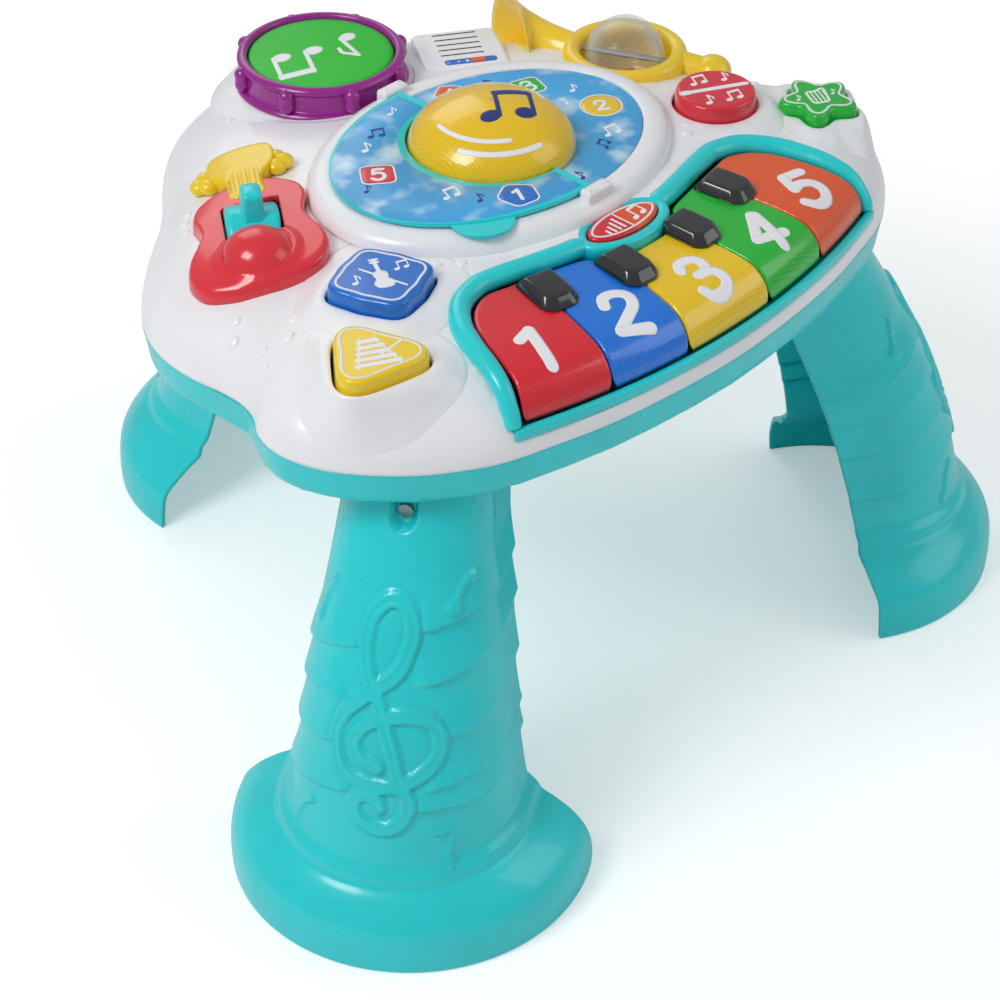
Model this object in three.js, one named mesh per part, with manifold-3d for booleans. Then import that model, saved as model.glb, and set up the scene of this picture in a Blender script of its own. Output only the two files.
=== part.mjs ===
// Musical activity table: a domed play top with a piano, a drum, a strum lever, a rattle ball,
// press buttons and a flip page, on three splayed half-round legs.
// Millimetres, +Z up, standing on z = 0, with the piano towards -Y.

import * as THREE from 'three';
import { mergeVertices } from 'three/addons/utils/BufferGeometryUtils.js';
import Module from 'manifold-3d';

const wasm = await Module();
wasm.setup();

// Clearances and shared walls
const GAP = 0.3;
const RUN_GAP = 0.6;
const WALL = 3;
// Turns a solid drawn in plan upright, in degrees about x, y and z
const UPRIGHT_DEGREES = [90, 0, 0];
const OVERRUN = 80;
const SCREW_RADIUS = 2;
const SCREW_HEAD_RADIUS = 4;
const SCREW_HEAD_HEIGHT = 2.4;

// Facets round a circle, from the widest circles to the narrowest
const FINE_STEPS = 28;
const ROUND_STEPS = 16;
const SMALL_STEPS = 8;
const HALF_STEPS = 8;
const ARC_STEPS = 5;

// Play top: the lower shell is a band with a floor, the top shell a crown over it
const LEG_HEIGHT = 236.2;
const BAND_HEIGHT = 17.2;
const BAND_DRAFT = 2.5;
const CROWN_RISE = 46;
const SHELL_HALF_WIDTH = 217;
const SHELL_FRONT_REACH = 173;
const SHELL_BACK_REACH = 198;
const CROWN_POWER = 4;
const FRONT_POWER_RISE = 8;
const OUTLINE_STEPS = 46;

// Half outline from the front centre to the back centre: x as shares of SHELL_HALF_WIDTH,
// y as shares of SHELL_FRONT_REACH (minus) or SHELL_BACK_REACH (plus)
const OUTLINE_SHARES = [
  [0, -1], [0.207, -0.985], [0.396, -0.954], [0.544, -0.91], [0.682, -0.858],
  [0.783, -0.786], [0.853, -0.717], [0.912, -0.636], [0.963, -0.543], [0.993, -0.445],
  [1, -0.358], [0.984, -0.277], [0.949, -0.208], [0.931, -0.139], [0.931, -0.046],
  [0.94, 0.05], [0.94, 0.141], [0.922, 0.232], [0.885, 0.318], [0.829, 0.399],
  [0.76, 0.475], [0.691, 0.54], [0.627, 0.596], [0.576, 0.646], [0.525, 0.702],
  [0.475, 0.768], [0.41, 0.843], [0.327, 0.914], [0.226, 0.967], [0.115, 0.995], [0, 1],
];
const CROWN_SHARES = [1, 0.975, 0.93, 0.86, 0.76, 0.58];
const INNER_CROWN_SHARES = [0.985, 0.9, 0.72, 0.45];

// Places on the play top: x as a share of SHELL_HALF_WIDTH, y as a share of
// SHELL_FRONT_REACH (minus) or SHELL_BACK_REACH (plus)
const PLACE_SHARES = {
  leg_front_left: [-0.812, -0.644],
  leg_front_right: [0.812, -0.644],
  leg_back: [0, 0.9545],
  drum: [0, 0.6616],
  guitar: [-0.6682, 0.1237],
  ring: [0.6359, 0.1414],
  mouth: [0.7465, -0.0983],
  housing: [0.3502, 0.4949],
  speaker: [0.3733, 0.5303],
  power_switch: [0.3364, 0.4066],
  battery_box: [0, -0.0578],
  blue_button: [-0.5899, -0.2746],
  yellow_button: [-0.7834, -0.4913],
  red_button: [0.5899, -0.2717],
  star_button: [0.7912, -0.4855],
};
const HOUSING_SCREW_SHARES = [[-0.484, 0.313], [0.424, 0.263], [-0.829, -0.162], [0.811, -0.116]];

// Legs: half-round shells, open towards the middle of the table
const LEG_TURN = THREE.MathUtils.degToRad(31.3);
const FOOT_RADIUS = 97.1;
const LEG_LEAN = 38.6;
const LEG_DEPTH = 35.4;
const LEG_WALL = 3;
// Stations from the floor up: height share of LEG_HEIGHT, arc centre share of LEG_LEAN
// (outwards), arc radius share of FOOT_RADIUS, straight side share of LEG_DEPTH
const LEG_SHARES = [
  [0, 0.073, 1, 0.079], [0.051, 0.083, 0.999, 0.113], [0.102, 0.13, 0.968, 0.17],
  [0.14, 0.207, 0.886, 0.31], [0.169, 0.311, 0.783, 0.466], [0.186, 0.389, 0.7, 0.579],
  [0.207, 0.415, 0.68, 0.593], [0.224, 0.44, 0.639, 0.636], [0.246, 0.453, 0.614, 0.664],
  [0.381, 0.391, 0.555, 0.802], [0.508, 0.212, 0.52, 0.859], [0.635, -0.031, 0.486, 0.893],
  [0.762, -0.332, 0.44, 0.915], [0.881, -0.676, 0.406, 0.949], [1, -1, 0.377, 1],
];
const TONGUE_WALL = 2.6;
const TONGUE_SHARES = [1, 0.881];
const LEG_SCREW_DROP = 14;
const LEG_SCREW_LENGTH = 15;
const POCKET_WIDTH = 14;
const POCKET_DEPTH = 7;

// Disc, flip page and light dome
const BEZEL_RADII = { x: 110, y: 83 };
const BEZEL_SHARES = [[1, 0], [0.985, 0.45], [0.95, 0.82], [0.9, 1]];
const BEZEL_RISE = 8.2;
const DISC_RADII = { x: 93.8, y: 67.3 };
const DISC_THICKNESS = 2;
const DISC_DROP = 0.7;
const PAGE_RADII = { x: 97.5, y: 70 };
const PAGE_THICKNESS = 2.6;
const PAGE_LIFT = 1.6;
const SPINE_ROOM_RADIUS = 3.6;
const SPINE_RADIUS = 1.9;
const SPINE_WIDTH = 4.5;
const PIN_RADIUS = 1.4;
const PIN_LENGTH = 5;
const BOSS_LENGTH = 8;
const BOSS_HALF_WIDTH = 9;
// Finger tab, as shares of PAGE_RADII
const TAB_SHARES = { x: -0.6154, y: -0.7286 };
const TAB_RADIUS = 17;
const DOME_RADIUS = 44.8;
const DOME_HEIGHT = 27;
const DOME_WALL = 2;
const LIGHT_RADIUS = 30;
const LIGHT_BOARD_THICKNESS = 1.6;
const LED_RADIUS = 3;
const LED_REACH = 16;

// Drum
const DRUM_SEAT_DROP = 4;
const DRUM_HEIGHT = 18.7;
const DRUM_RADIUS = 47;
const DRUM_SKIN_RADIUS = 40.6;
const DRUM_SKIN_DROP = 2;
const DRUM_SKIN_THICKNESS = 3;
const DRUM_TRAVEL = 2.5;
const DRUM_LUGS = 8;
const DRUM_LUG_RADIUS = 4.2;
const DRUM_PROFILE_SHARES = [
  [1.01, 0], [1.035, 0.07], [1.01, 0.16], [0.965, 0.24], [0.955, 0.7], [0.985, 0.78],
  [0.99, 0.87], [0.955, 0.96], [0.91, 1],
];

// Guitar
const GUITAR_TURN = THREE.MathUtils.degToRad(54);
const GUITAR_LENGTH = 92;
const GUITAR_STEPS = 28;
const GUITAR_HALF_WIDTH = 36;
const GUITAR_RISE = 8;
const BUMP_RISE = 14;
// Half outline from the tail to the neck: along share of GUITAR_LENGTH, across share of
// GUITAR_HALF_WIDTH
const GUITAR_SHARES = [
  [-0.32, 0], [-0.31, 0.4], [-0.24, 0.8], [-0.1, 0.99], [0.03, 0.97], [0.14, 0.84],
  [0.24, 0.75], [0.34, 0.78], [0.44, 0.83], [0.55, 0.74], [0.63, 0.5], [0.67, 0.25], [0.68, 0],
];
const BUMP_RADIUS = 18;
const BUMP_ALONG = -6;
const HEAD_START = 44;
const HEAD_LENGTH = 54;
const HEAD_HALF_WIDTH = 18;
const HEAD_RISE = 8;
const HEAD_SHARES = [
  [0, 0.5], [0.35, 0.55], [0.5, 0.8], [0.62, 0.97], [0.85, 1], [0.97, 0.75], [1, 0],
];
const PEG_RADIUS = 8;
const PEG_ALONG = 36;
const PEG_REACH = 21;
const LEVER_ALONG = 23;
const LEVER_RADIUS = 20;
const LEVER_HALF_WIDTH = 14;
const LEVER_DROP = 7;
const LEVER_AXLE_RADIUS = 2;
const LEVER_SWING_SHARE = 0.0556;
const FIN_HEIGHT = 12.5;
const FIN_LENGTH = 17;
const FIN_WIDTH = 12.6;
const EAR_THICKNESS = 3;
const EAR_WIDTH = 14;

// Trumpet and rattle ball
const RING_RADIUS = 35.5;
const BALL_RADIUS = 22.5;
const BALL_WALL = 1.6;
const BALL_RISE = 2;
const BOWL_RADIUS = 25;
const BOWL_WALL = 2.4;
const RING_RISE = 8;
const BALL_AXIS = { x: 0.42, y: -0.9 };
const BALL_PIN_RADIUS = 1.8;
const BEAD_RADIUS = 4;
const HORN_DROP = 14;
const HORN_WALL = 2.5;
const HORN_HALF_WIDTH = 31;
const HORN_RISE = 36;
const HORN_MOUTH_STEPS = 3;
// Horn sections from the bell to the ring: x share of SHELL_HALF_WIDTH, y share of
// SHELL_BACK_REACH, half-width share of HORN_HALF_WIDTH, share of HORN_RISE, share of a turn
const HORN_SHARES = [
  [0.5392, 0.4899, 1, 1, 0.1778],
  [0.5507, 0.4823, 0.903, 0.917, 0.1722],
  [0.5622, 0.4444, 0.661, 0.75, 0.1333],
  [0.576, 0.3889, 0.484, 0.639, 0.0889],
  [0.5945, 0.3182, 0.403, 0.569, 0.05],
  [0.6129, 0.2374, 0.387, 0.556, 0.0444],
];
const MOUTH_RADIUS = 10.5;
const MOUTH_TUBE_RADIUS = 8;

// Press buttons
const BUTTON_BEVEL = 2;
const BUTTON_TRAVEL = 3;
const BUTTON_PROUD = 10.5;
const COLLAR_WIDTH = 4;
const COLLAR_DEPTH = 9;
const FLANGE_WIDTH = 1.6;
const FLANGE_HEIGHT = 2;
const STEM_RADIUS = 5;
const SWITCH_SIZE = 12;
const SWITCH_HEIGHT = 4;
const SWITCH_DOME_RADIUS = 3;
const PILLAR_RADIUS = 9;
const BUTTON_STEPS = 25;
const BUTTON_SIZES = {
  blue_button: { rise: 10, radius: 25.8 },
  yellow_button: { rise: 13, radius: 23.4 },
  red_button: { rise: 10.5, radius: 23.2 },
  star_button: { rise: 13, radius: 20 },
};
// Lobes: how many, their depth as a share of the radius, and a share of a turn
const LOBE_SHARES = {
  blue_button: [4, 0.08, 0.1806],
  yellow_button: [3, 0.17, 0.2194],
  red_button: [0, 0, 0],
  star_button: [5, 0.17, 0.0056],
};

// Piano
const KEY_FRONT_INSET = 4.5;
const KEY_FRONT_REACH = SHELL_FRONT_REACH - KEY_FRONT_INSET;
const KEY_FRONT_SAG = 20;
const KEY_HALF_WIDTH = 132.7;
const KEY_THICKNESS = 4;
const KEY_STEPS = 12;
const KEY_GAP = 0.7;
const KEY_DEPTH = 90;
const KEY_TOP_DROP = 4;
const KEY_FALL = 26.5;
// Key top from the front edge back: depth share of KEY_DEPTH, fall share of KEY_FALL
const KEY_SHARES = [
  [0, 1], [0.013, 0.79], [0.039, 0.585], [0.078, 0.415], [0.133, 0.29], [0.222, 0.204],
  [0.444, 0.113], [1, 0],
];
// Half outline of the key field, from the front corner to the middle of the back:
// x share of KEY_HALF_WIDTH, y share of KEY_FRONT_REACH
const FIELD_SHARES = [
  [1, -0.881], [0.968, -0.819], [0.942, -0.748], [0.908, -0.665], [0.867, -0.588],
  [0.799, -0.528], [0.701, -0.496], [0.6, -0.51], [0.4, -0.543], [0.25, -0.576],
  [0.21, -0.62], [0.11, -0.648], [0, -0.652],
];
// Splits between keys at their back and front ends, as shares of KEY_HALF_WIDTH
const SPLIT_SHARES = [[-0.4974, -0.6179], [-0.1583, -0.2336], [0.1583, 0.2336], [0.4974, 0.6179]];
// Places along y under and behind the keys, as shares of KEY_FRONT_REACH
const KEY_Y_SHARES = {
  splitBack: -0.5223,
  splitFront: -0.9792,
  wellBack: -0.5015,
  axle: -0.543,
  plunger: -0.7953,
  mode: -0.5519,
};
// Places along x under the keys, as shares of KEY_HALF_WIDTH
const LUG_SHARES = [-0.6933, -0.3391, 0, 0.3391, 0.6933];
const SADDLE_SHARES = [-0.7611, -0.5049, -0.1696, 0.1696, 0.5049, 0.7611];
const KEY_AXLE_SHARE = 0.7762;
const STRIP_SHARE = 0.844;
const LEDGE_SHARE = 1.0324;
const FRAME_HALF_WIDTH = 5.8;
const FRAME_HALF_HEIGHT = 5.5;
const FRAME_PROUD = 3.5;
// Half path of the frame's bar, from the middle of the back to the arm's tip: x share of
// KEY_HALF_WIDTH, y share of KEY_FRONT_REACH, lowering share of KEY_FALL
const FRAME_SHARES = [
  [0, -0.552, 0], [0.25, -0.53, 0], [0.4, -0.505, 0], [0.6, -0.465, 0.01], [0.69, -0.457, 0.02],
  [0.81, -0.487, 0.05], [0.9, -0.56, 0.1], [0.953, -0.65, 0.15], [0.986, -0.735, 0.22],
  [1.012, -0.806, 0.4], [1.03, -0.855, 0.78], [1.036, -0.874, 1.08],
];
const FRAME_TIP_SHARE = 0.72;
const FRAME_TAPER_SHARE = 0.7;
const FRAME_STEPS = 37;
const LEDGE_DEPTH = 4.2;
const LEDGE_HEIGHT = 6.2;
const WELL_MARGIN = 1.5;
const WELL_DEPTH = 40;
const WELL_FLOOR = 2.6;
const KEY_AXLE_DROP = 21;
const KEY_AXLE_RADIUS = 2;
const LUG_RADIUS = 4;
const LUG_HALF_THICKNESS = 3;
const LUG_REACH = 28;
const SADDLE_HALF_THICKNESS = 1.5;
const PLUNGER_RADIUS = 4;
const PLUNGER_CLEAR = 2.6;
const STRIP_HEIGHT = 3;
const STRIP_HALF_DEPTH = 7;
const STRIP_DOME_RADIUS = 5;
const STRIP_DOME_HEIGHT = 3;
const BLACK_KEY_RISE = 4.5;
const BLACK_KEY_BEVEL = 2;
const BLACK_KEY_HALF = { x: 11.1, y: 14.9 };
// Black keys: x share of KEY_HALF_WIDTH, y share of KEY_FRONT_REACH, share of a turn
const BLACK_KEY_SHARES = [
  [-0.5162, -0.6261, -0.0306],
  [-0.1831, -0.7033, -0.0139],
  [0.1831, -0.7033, 0.0139],
  [0.5162, -0.6261, 0.0306],
];
const POST_HALF_WIDTH = 3;
const MODE_RADII = { x: 24, y: 10.5 };
const MODE_HEIGHT = 12;
const MODE_PROUD = 1;
const MODE_CLEAR = 0.9;
const MODE_SURROUND = 7;
const MODE_SURROUND_HEIGHT = 11;
const MODE_PIN_RADIUS = 1.5;
const MODE_PIN_LENGTH = 2.4;

// Speaker housing and power switch
const HOUSING_TURN = THREE.MathUtils.degToRad(-33);
const HOUSING_HALF = { x: 25, y: 22 };
const HOUSING_PROUD = 4;
const SLOT_COUNT = 5;
const SLOT_PITCH = 6;
const SLOT_DEPTH = 9;
const SLOT_HALF = { x: 12, y: 1.1 };
const SPEAKER_RADIUS = 16;
const SPEAKER_HEIGHT = 14;
const SPEAKER_DROP = 18;
const SWITCH_TRAVEL = 5;
const KNOB_HALF = { x: 4, y: 1.8 };
const KNOB_PROUD = 3;
const KNOB_DEPTH = 10;

// Insides of the lower shell
const BATTERY_BOX = { halfX: 28, halfY: 36, height: 24 };
const BATTERY_WALL = 2.4;
const DOOR_THICKNESS = 2.2;
const CELL_RADIUS = 7.25;
const CELL_LENGTH = 50.5;
const CELL_NIPPLE_RADIUS = 2.6;
const CELL_NIPPLE_LENGTH = 1.2;
const BOARD_HALF = { x: 40, y: 26 };
const BOARD_THICKNESS = 1.6;
const BOARD_POST_HEIGHT = 4;
const BOARD_POST_RADIUS = 3;
const CHIP_HEIGHT = 2.5;
const SCREW_BOSS_RADIUS = 6;
const SCREW_BOSS_TOP = 6;
const SCREW_BITE = 9;

// Materials
const paint = (color, roughness, more = {}) =>
  new THREE.MeshStandardMaterial({ color, roughness, metalness: 0, ...more });
const TEAL = paint(0x0fc9cb, 0.32);
const WHITE = paint(0xf1f1f5, 0.38);
const PURPLE = paint(0x96218c, 0.3);
const GREEN = paint(0x1fb63a, 0.35);
const RED = paint(0xe62f43, 0.28);
const BLUE = paint(0x0567cd, 0.3);
const YELLOW = paint(0xe6c41e, 0.35);
const AMBER = paint(0xe0b314, 0.3);
const ORANGE = paint(0xf0541a, 0.3);
const BLACK = paint(0x232626, 0.15);
const SKY = paint(0x48a8e8, 0.45);
const CLEAR = paint(0xf2f5f6, 0.08, { transparent: true, opacity: 0.35 });
const GREY = paint(0x8c9094, 0.7);
const BOARD_GREEN = paint(0x1c6b3c, 0.6);
const STEEL = paint(0xb8bcc0, 0.35, { metalness: 0.9 });
const CELL_PAINT = paint(0x3a3f46, 0.4);

/** Place on the play top from its shares. */
function onPlayTop([x, y]) {
  return { x: x * SHELL_HALF_WIDTH, y: y * (y < 0 ? SHELL_FRONT_REACH : SHELL_BACK_REACH) };
}

// Places that follow from the sizes above
const DRUM_PLACE = onPlayTop(PLACE_SHARES.drum);
const GUITAR_PLACE = onPlayTop(PLACE_SHARES.guitar);
const RING_PLACE = onPlayTop(PLACE_SHARES.ring);
const MOUTH_PLACE = onPlayTop(PLACE_SHARES.mouth);
const HOUSING_PLACE = onPlayTop(PLACE_SHARES.housing);
const SPEAKER_PLACE = onPlayTop(PLACE_SHARES.speaker);
const SWITCH_PLACE = onPlayTop(PLACE_SHARES.power_switch);
const HOUSING_SCREWS = HOUSING_SCREW_SHARES.map(onPlayTop);
const BUTTONS = Object.fromEntries(Object.entries(BUTTON_SIZES).map(([name, sizes]) => {
  const [lobes, depth, turn] = LOBE_SHARES[name];
  return [name, { ...sizes, ...onPlayTop(PLACE_SHARES[name]), lobes, depth, turn: 2 * Math.PI * turn }];
}));
const TAB_PLACE = { x: TAB_SHARES.x * PAGE_RADII.x, y: TAB_SHARES.y * PAGE_RADII.y };
const SPLIT_BACK_Y = KEY_Y_SHARES.splitBack * KEY_FRONT_REACH;
const SPLIT_FRONT_Y = KEY_Y_SHARES.splitFront * KEY_FRONT_REACH;
const WELL_BACK_Y = KEY_Y_SHARES.wellBack * KEY_FRONT_REACH;
const KEY_AXLE_Y = KEY_Y_SHARES.axle * KEY_FRONT_REACH;
const PLUNGER_Y = KEY_Y_SHARES.plunger * KEY_FRONT_REACH;
const MODE_Y = KEY_Y_SHARES.mode * KEY_FRONT_REACH;
const LUG_PLACES = LUG_SHARES.map((share) => share * KEY_HALF_WIDTH);
const SADDLE_PLACES = SADDLE_SHARES.map((share) => share * KEY_HALF_WIDTH);
const KEY_AXLE_HALF_LENGTH = KEY_AXLE_SHARE * KEY_HALF_WIDTH;
const STRIP_HALF_LENGTH = STRIP_SHARE * KEY_HALF_WIDTH;
const LEDGE_HALF_LENGTH = LEDGE_SHARE * KEY_HALF_WIDTH;

// Heights that follow from the sizes above
const BAND_Z = LEG_HEIGHT + GAP;
const SEAM_Z = BAND_Z + BAND_HEIGHT + GAP;
const CROWN_Z = SEAM_Z + CROWN_RISE;
const BEZEL_Z = CROWN_Z + BEZEL_RISE;
const DISC_Z = BEZEL_Z - DISC_DROP;
const PAGE_AXIS_Z = DISC_Z + PAGE_LIFT + PAGE_THICKNESS / 2;
const DRUM_SEAT_Z = CROWN_Z - DRUM_SEAT_DROP;
const KEY_TOP_Z = CROWN_Z - KEY_TOP_DROP;
const WELL_Z = CROWN_Z - WELL_DEPTH;
const KEY_AXLE_Z = CROWN_Z - KEY_AXLE_DROP;
const FLOOR_Z = BAND_Z + WALL;

// Solids and meshes

/** A closed three.js geometry as a solid that can be joined and cut. */
function toSolid(geometry) {
  const bare = geometry.index ? geometry.toNonIndexed() : geometry.clone();
  bare.deleteAttribute('normal');
  bare.deleteAttribute('uv');
  const merged = mergeVertices(bare);
  return new wasm.Manifold(new wasm.Mesh({
    numProp: 3,
    vertProperties: new Float32Array(merged.attributes.position.array),
    triVerts: new Uint32Array(merged.index.array),
  }));
}

/** A solid's surface as a three.js geometry. */
function toGeometry(solid) {
  const mesh = solid.getMesh();
  const geometry = new THREE.BufferGeometry();
  geometry.setAttribute('position', new THREE.BufferAttribute(mesh.vertProperties, 3));
  geometry.setIndex(new THREE.BufferAttribute(mesh.triVerts, 1));
  geometry.computeVertexNormals();
  return geometry;
}

/** Adds a named mesh, made from a solid or a geometry, to a group. */
function addPart(group, name, shape, material) {
  const geometry = shape.isBufferGeometry ? shape : toGeometry(shape);
  const mesh = new THREE.Mesh(geometry, material);
  mesh.name = name;
  group.add(mesh);
  return mesh;
}

const join = (first, ...others) => others.reduce((sum, other) => sum.add(other), first);
const cut = (first, ...others) => others.reduce((rest, other) => rest.subtract(other), first);

/** The largest body of a solid, without the slivers that two close cuts leave. */
function largest(solid) {
  return solid.decompose().reduce((best, body) => (body.volume() > best.volume() ? body : best));
}

/** Closed surface through rings of equal length, which run counter-clockwise about the way up. */
function loft(rings, section = rings[0].map((p) => new THREE.Vector2(p.x, p.y))) {
  const count = rings[0].length;
  const positions = rings.flat().flatMap((p) => [p.x, p.y, p.z]);
  const faces = [];
  for (let i = 0; i + 1 < rings.length; i += 1) {
    for (let j = 0; j < count; j += 1) {
      const a = i * count + j;
      const b = i * count + ((j + 1) % count);
      faces.push(a, b, b + count, a, b + count, a + count);
    }
  }
  const last = (rings.length - 1) * count;
  for (const [a, b, c] of THREE.ShapeUtils.triangulateShape(section, [])) {
    faces.push(a, c, b, last + a, last + b, last + c);
  }
  const geometry = new THREE.BufferGeometry();
  geometry.setAttribute('position', new THREE.Float32BufferAttribute(positions, 3));
  geometry.setIndex(faces);
  return geometry;
}

/** Straight prism on a plan outline, with optional bevels that stay inside the outline. */
function prism(outline, bottom, top, bevel = 0) {
  const geometry = new THREE.ExtrudeGeometry(new THREE.Shape(outline), {
    depth: top - bottom - 2 * bevel,
    bevelEnabled: bevel > 0,
    bevelSize: bevel,
    bevelThickness: bevel,
    bevelOffset: -bevel,
    bevelSegments: 1,
  });
  geometry.translate(0, 0, bottom + bevel);
  return toSolid(geometry);
}

/** Plan outline of an ellipse. */
function ellipse(radiusX, radiusY, steps = FINE_STEPS) {
  return Array.from({ length: steps }, (_, i) => {
    const angle = (2 * Math.PI * i) / steps;
    return new THREE.Vector2(radiusX * Math.cos(angle), radiusY * Math.sin(angle));
  });
}

/** Plan outline of a rectangle about the origin. */
function rectangle(halfX, halfY) {
  return [
    new THREE.Vector2(-halfX, -halfY), new THREE.Vector2(halfX, -halfY),
    new THREE.Vector2(halfX, halfY), new THREE.Vector2(-halfX, halfY),
  ];
}

/** Round solid about +Z from a profile of [radius, z] pairs that runs from the bottom up. */
function turned(profile, steps = ROUND_STEPS) {
  const points = profile.map(([radius, z]) => new THREE.Vector2(radius, z));
  const geometry = new THREE.LatheGeometry(points, steps);
  geometry.rotateX(Math.PI / 2);
  return toSolid(geometry);
}

/** Round bar or tube blank about +Z. */
const cylinder = (radius, bottom, top, steps = SMALL_STEPS) =>
  turned([[0, bottom], [radius, bottom], [radius, top], [0, top]], steps);

/** Round bar along a horizontal direction, between two reaches from a point. */
function bar(radius, from, to, point, angle, steps = SMALL_STEPS) {
  const geometry = new THREE.CylinderGeometry(radius, radius, to - from, steps);
  geometry.translate(0, (from + to) / 2, 0);
  geometry.rotateZ(angle - Math.PI / 2);
  geometry.translate(point.x, point.y, point.z);
  return toSolid(geometry);
}

/** A solid turned about +Z and then moved. */
function placed(solid, x, y, z = 0, angle = 0) {
  return solid.rotate([0, 0, THREE.MathUtils.radToDeg(angle)]).translate([x, y, z]);
}

/** Mirrors half a list of points in x; the half starts or ends on x = 0. */
const mirrored = (points) => points.map((p) => new THREE.Vector3(-p.x, p.y, p.z));

// Play top

/** Plan outline of the play top, counter-clockwise from the front centre. */
function bodyOutline() {
  const right = OUTLINE_SHARES.map(([x, y]) => new THREE.Vector3(
    x * SHELL_HALF_WIDTH,
    y * (y < 0 ? SHELL_FRONT_REACH : SHELL_BACK_REACH),
    0,
  ));
  const left = mirrored(right.slice(1, -1)).reverse();
  const curve = new THREE.CatmullRomCurve3([...right, ...left], true);
  return curve.getSpacedPoints(OUTLINE_STEPS).slice(0, OUTLINE_STEPS);
}

const BODY_OUTLINE = bodyOutline();

/** Share of the crown's full rise at a share of the way out to an outline point. */
function crownShare(share, outlinePoint) {
  const side = Math.abs(outlinePoint.x) / KEY_HALF_WIDTH;
  const front = outlinePoint.y < 0 ? Math.max(0, 1 - side * side) : 0;
  return Math.sqrt(Math.max(0, 1 - share ** (CROWN_POWER + FRONT_POWER_RISE * front)));
}

/** Ring of the play top's outline, drawn in by a share and an inset. */
function bodyRing(share, inset, height) {
  return BODY_OUTLINE.map((p) => {
    const scale = share - inset / p.length();
    return new THREE.Vector3(p.x * scale, p.y * scale, height(p));
  });
}

/** Solid under the crown, from a given height up, set in and lifted. */
function crownSolid(bottom, inset, lift, shares) {
  const rings = shares.map((share) => bodyRing(
    share,
    inset,
    (p) => SEAM_Z + CROWN_RISE * crownShare(share, p) + lift,
  ));
  return toSolid(loft([bodyRing(shares[0], inset, () => bottom), ...rings]));
}

/** Height of the crown's surface at a place. */
function crownHeight(x, y) {
  const place = new THREE.Vector2(x, y);
  const angle = place.angle();
  for (let i = 0; i < BODY_OUTLINE.length; i += 1) {
    const a = BODY_OUTLINE[i];
    const b = BODY_OUTLINE[(i + 1) % BODY_OUTLINE.length];
    const from = new THREE.Vector2(a.x, a.y);
    const to = new THREE.Vector2(b.x, b.y);
    const span = (to.angle() - from.angle() + 2 * Math.PI) % (2 * Math.PI);
    const part = (angle - from.angle() + 2 * Math.PI) % (2 * Math.PI);
    if (part <= span) {
      const edge = from.lerp(to, part / span);
      return SEAM_Z + CROWN_RISE * crownShare(place.length() / edge.length(), edge);
    }
  }
  return CROWN_Z;
}

/** Oval rim round the disc, grown by a margin. */
function bezelSolid(margin) {
  const ring = (share, z) => ellipse(
    BEZEL_RADII.x * share + margin,
    BEZEL_RADII.y * share + margin,
    FINE_STEPS,
  ).map((p) => new THREE.Vector3(p.x, p.y, z));
  return toSolid(loft([
    ring(1, CROWN_Z - WALL - CROWN_RISE * margin),
    ...BEZEL_SHARES.map(([share, rise]) => ring(share, CROWN_Z + BEZEL_RISE * rise + margin)),
  ]));
}

// Piano surfaces

/** y of the keys' front edge at x. */
const frontY = (x) => -KEY_FRONT_REACH + KEY_FRONT_SAG * (x / KEY_HALF_WIDTH) ** 2;

/** Outline of the key field, grown outwards by a margin. */
function fieldOutline(margin) {
  const half = FIELD_SHARES.map(([x, y]) => new THREE.Vector3(
    x * KEY_HALF_WIDTH,
    y * KEY_FRONT_REACH,
    0,
  ));
  const side = new THREE.CatmullRomCurve3([...half, ...mirrored(half).reverse().slice(1)]);
  const back = side.getPoints(2 * KEY_STEPS).map((p) => new THREE.Vector2(p.x, p.y));
  const front = Array.from({ length: KEY_STEPS - 1 }, (_, i) => {
    const x = KEY_HALF_WIDTH * ((2 * (i + 1)) / KEY_STEPS - 1);
    return new THREE.Vector2(x, frontY(x));
  });
  const outline = [...front, ...back];
  return outline.map((p, i) => {
    const before = outline[(i + outline.length - 1) % outline.length];
    const after = outline[(i + 1) % outline.length];
    const along = after.clone().sub(before).normalize();
    return new THREE.Vector2(p.x + margin * along.y, p.y - margin * along.x);
  });
}

/** Outline of the well under the keys, with a straight middle to its back wall. */
function wellOutline(margin) {
  return fieldOutline(WELL_MARGIN + margin).map((p) => {
    const inBack = p.y > SPLIT_FRONT_Y + KEY_DEPTH / 2
      && Math.abs(p.x) < SPLIT_SHARES[SPLIT_SHARES.length - 1][0] * KEY_HALF_WIDTH;
    return new THREE.Vector2(p.x, inBack ? Math.max(p.y, WELL_BACK_Y + margin) : p.y);
  });
}

/** Slab that follows the key tops, from their front edge back. */
function keySlab(lift, thickness) {
  const span = KEY_HALF_WIDTH + WELL_MARGIN;
  const tops = KEY_SHARES.map(([depth, fall]) => new THREE.Vector2(
    depth * KEY_DEPTH,
    KEY_TOP_Z - fall * KEY_FALL + lift,
  ));
  const inner = tops.length - 1;
  const bottoms = tops.map((p, i) => new THREE.Vector2(
    i === 0 || i === inner ? p.x : p.x + thickness,
    p.y - thickness,
  ));
  const section = [...bottoms, ...[...tops].reverse()];
  const rings = Array.from({ length: KEY_STEPS + 1 }, (_, i) => {
    const x = span * ((2 * i) / KEY_STEPS - 1);
    return section.map((p) => new THREE.Vector3(x, frontY(x) + p.x, p.y));
  });
  return toSolid(loft(rings, section));
}

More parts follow.
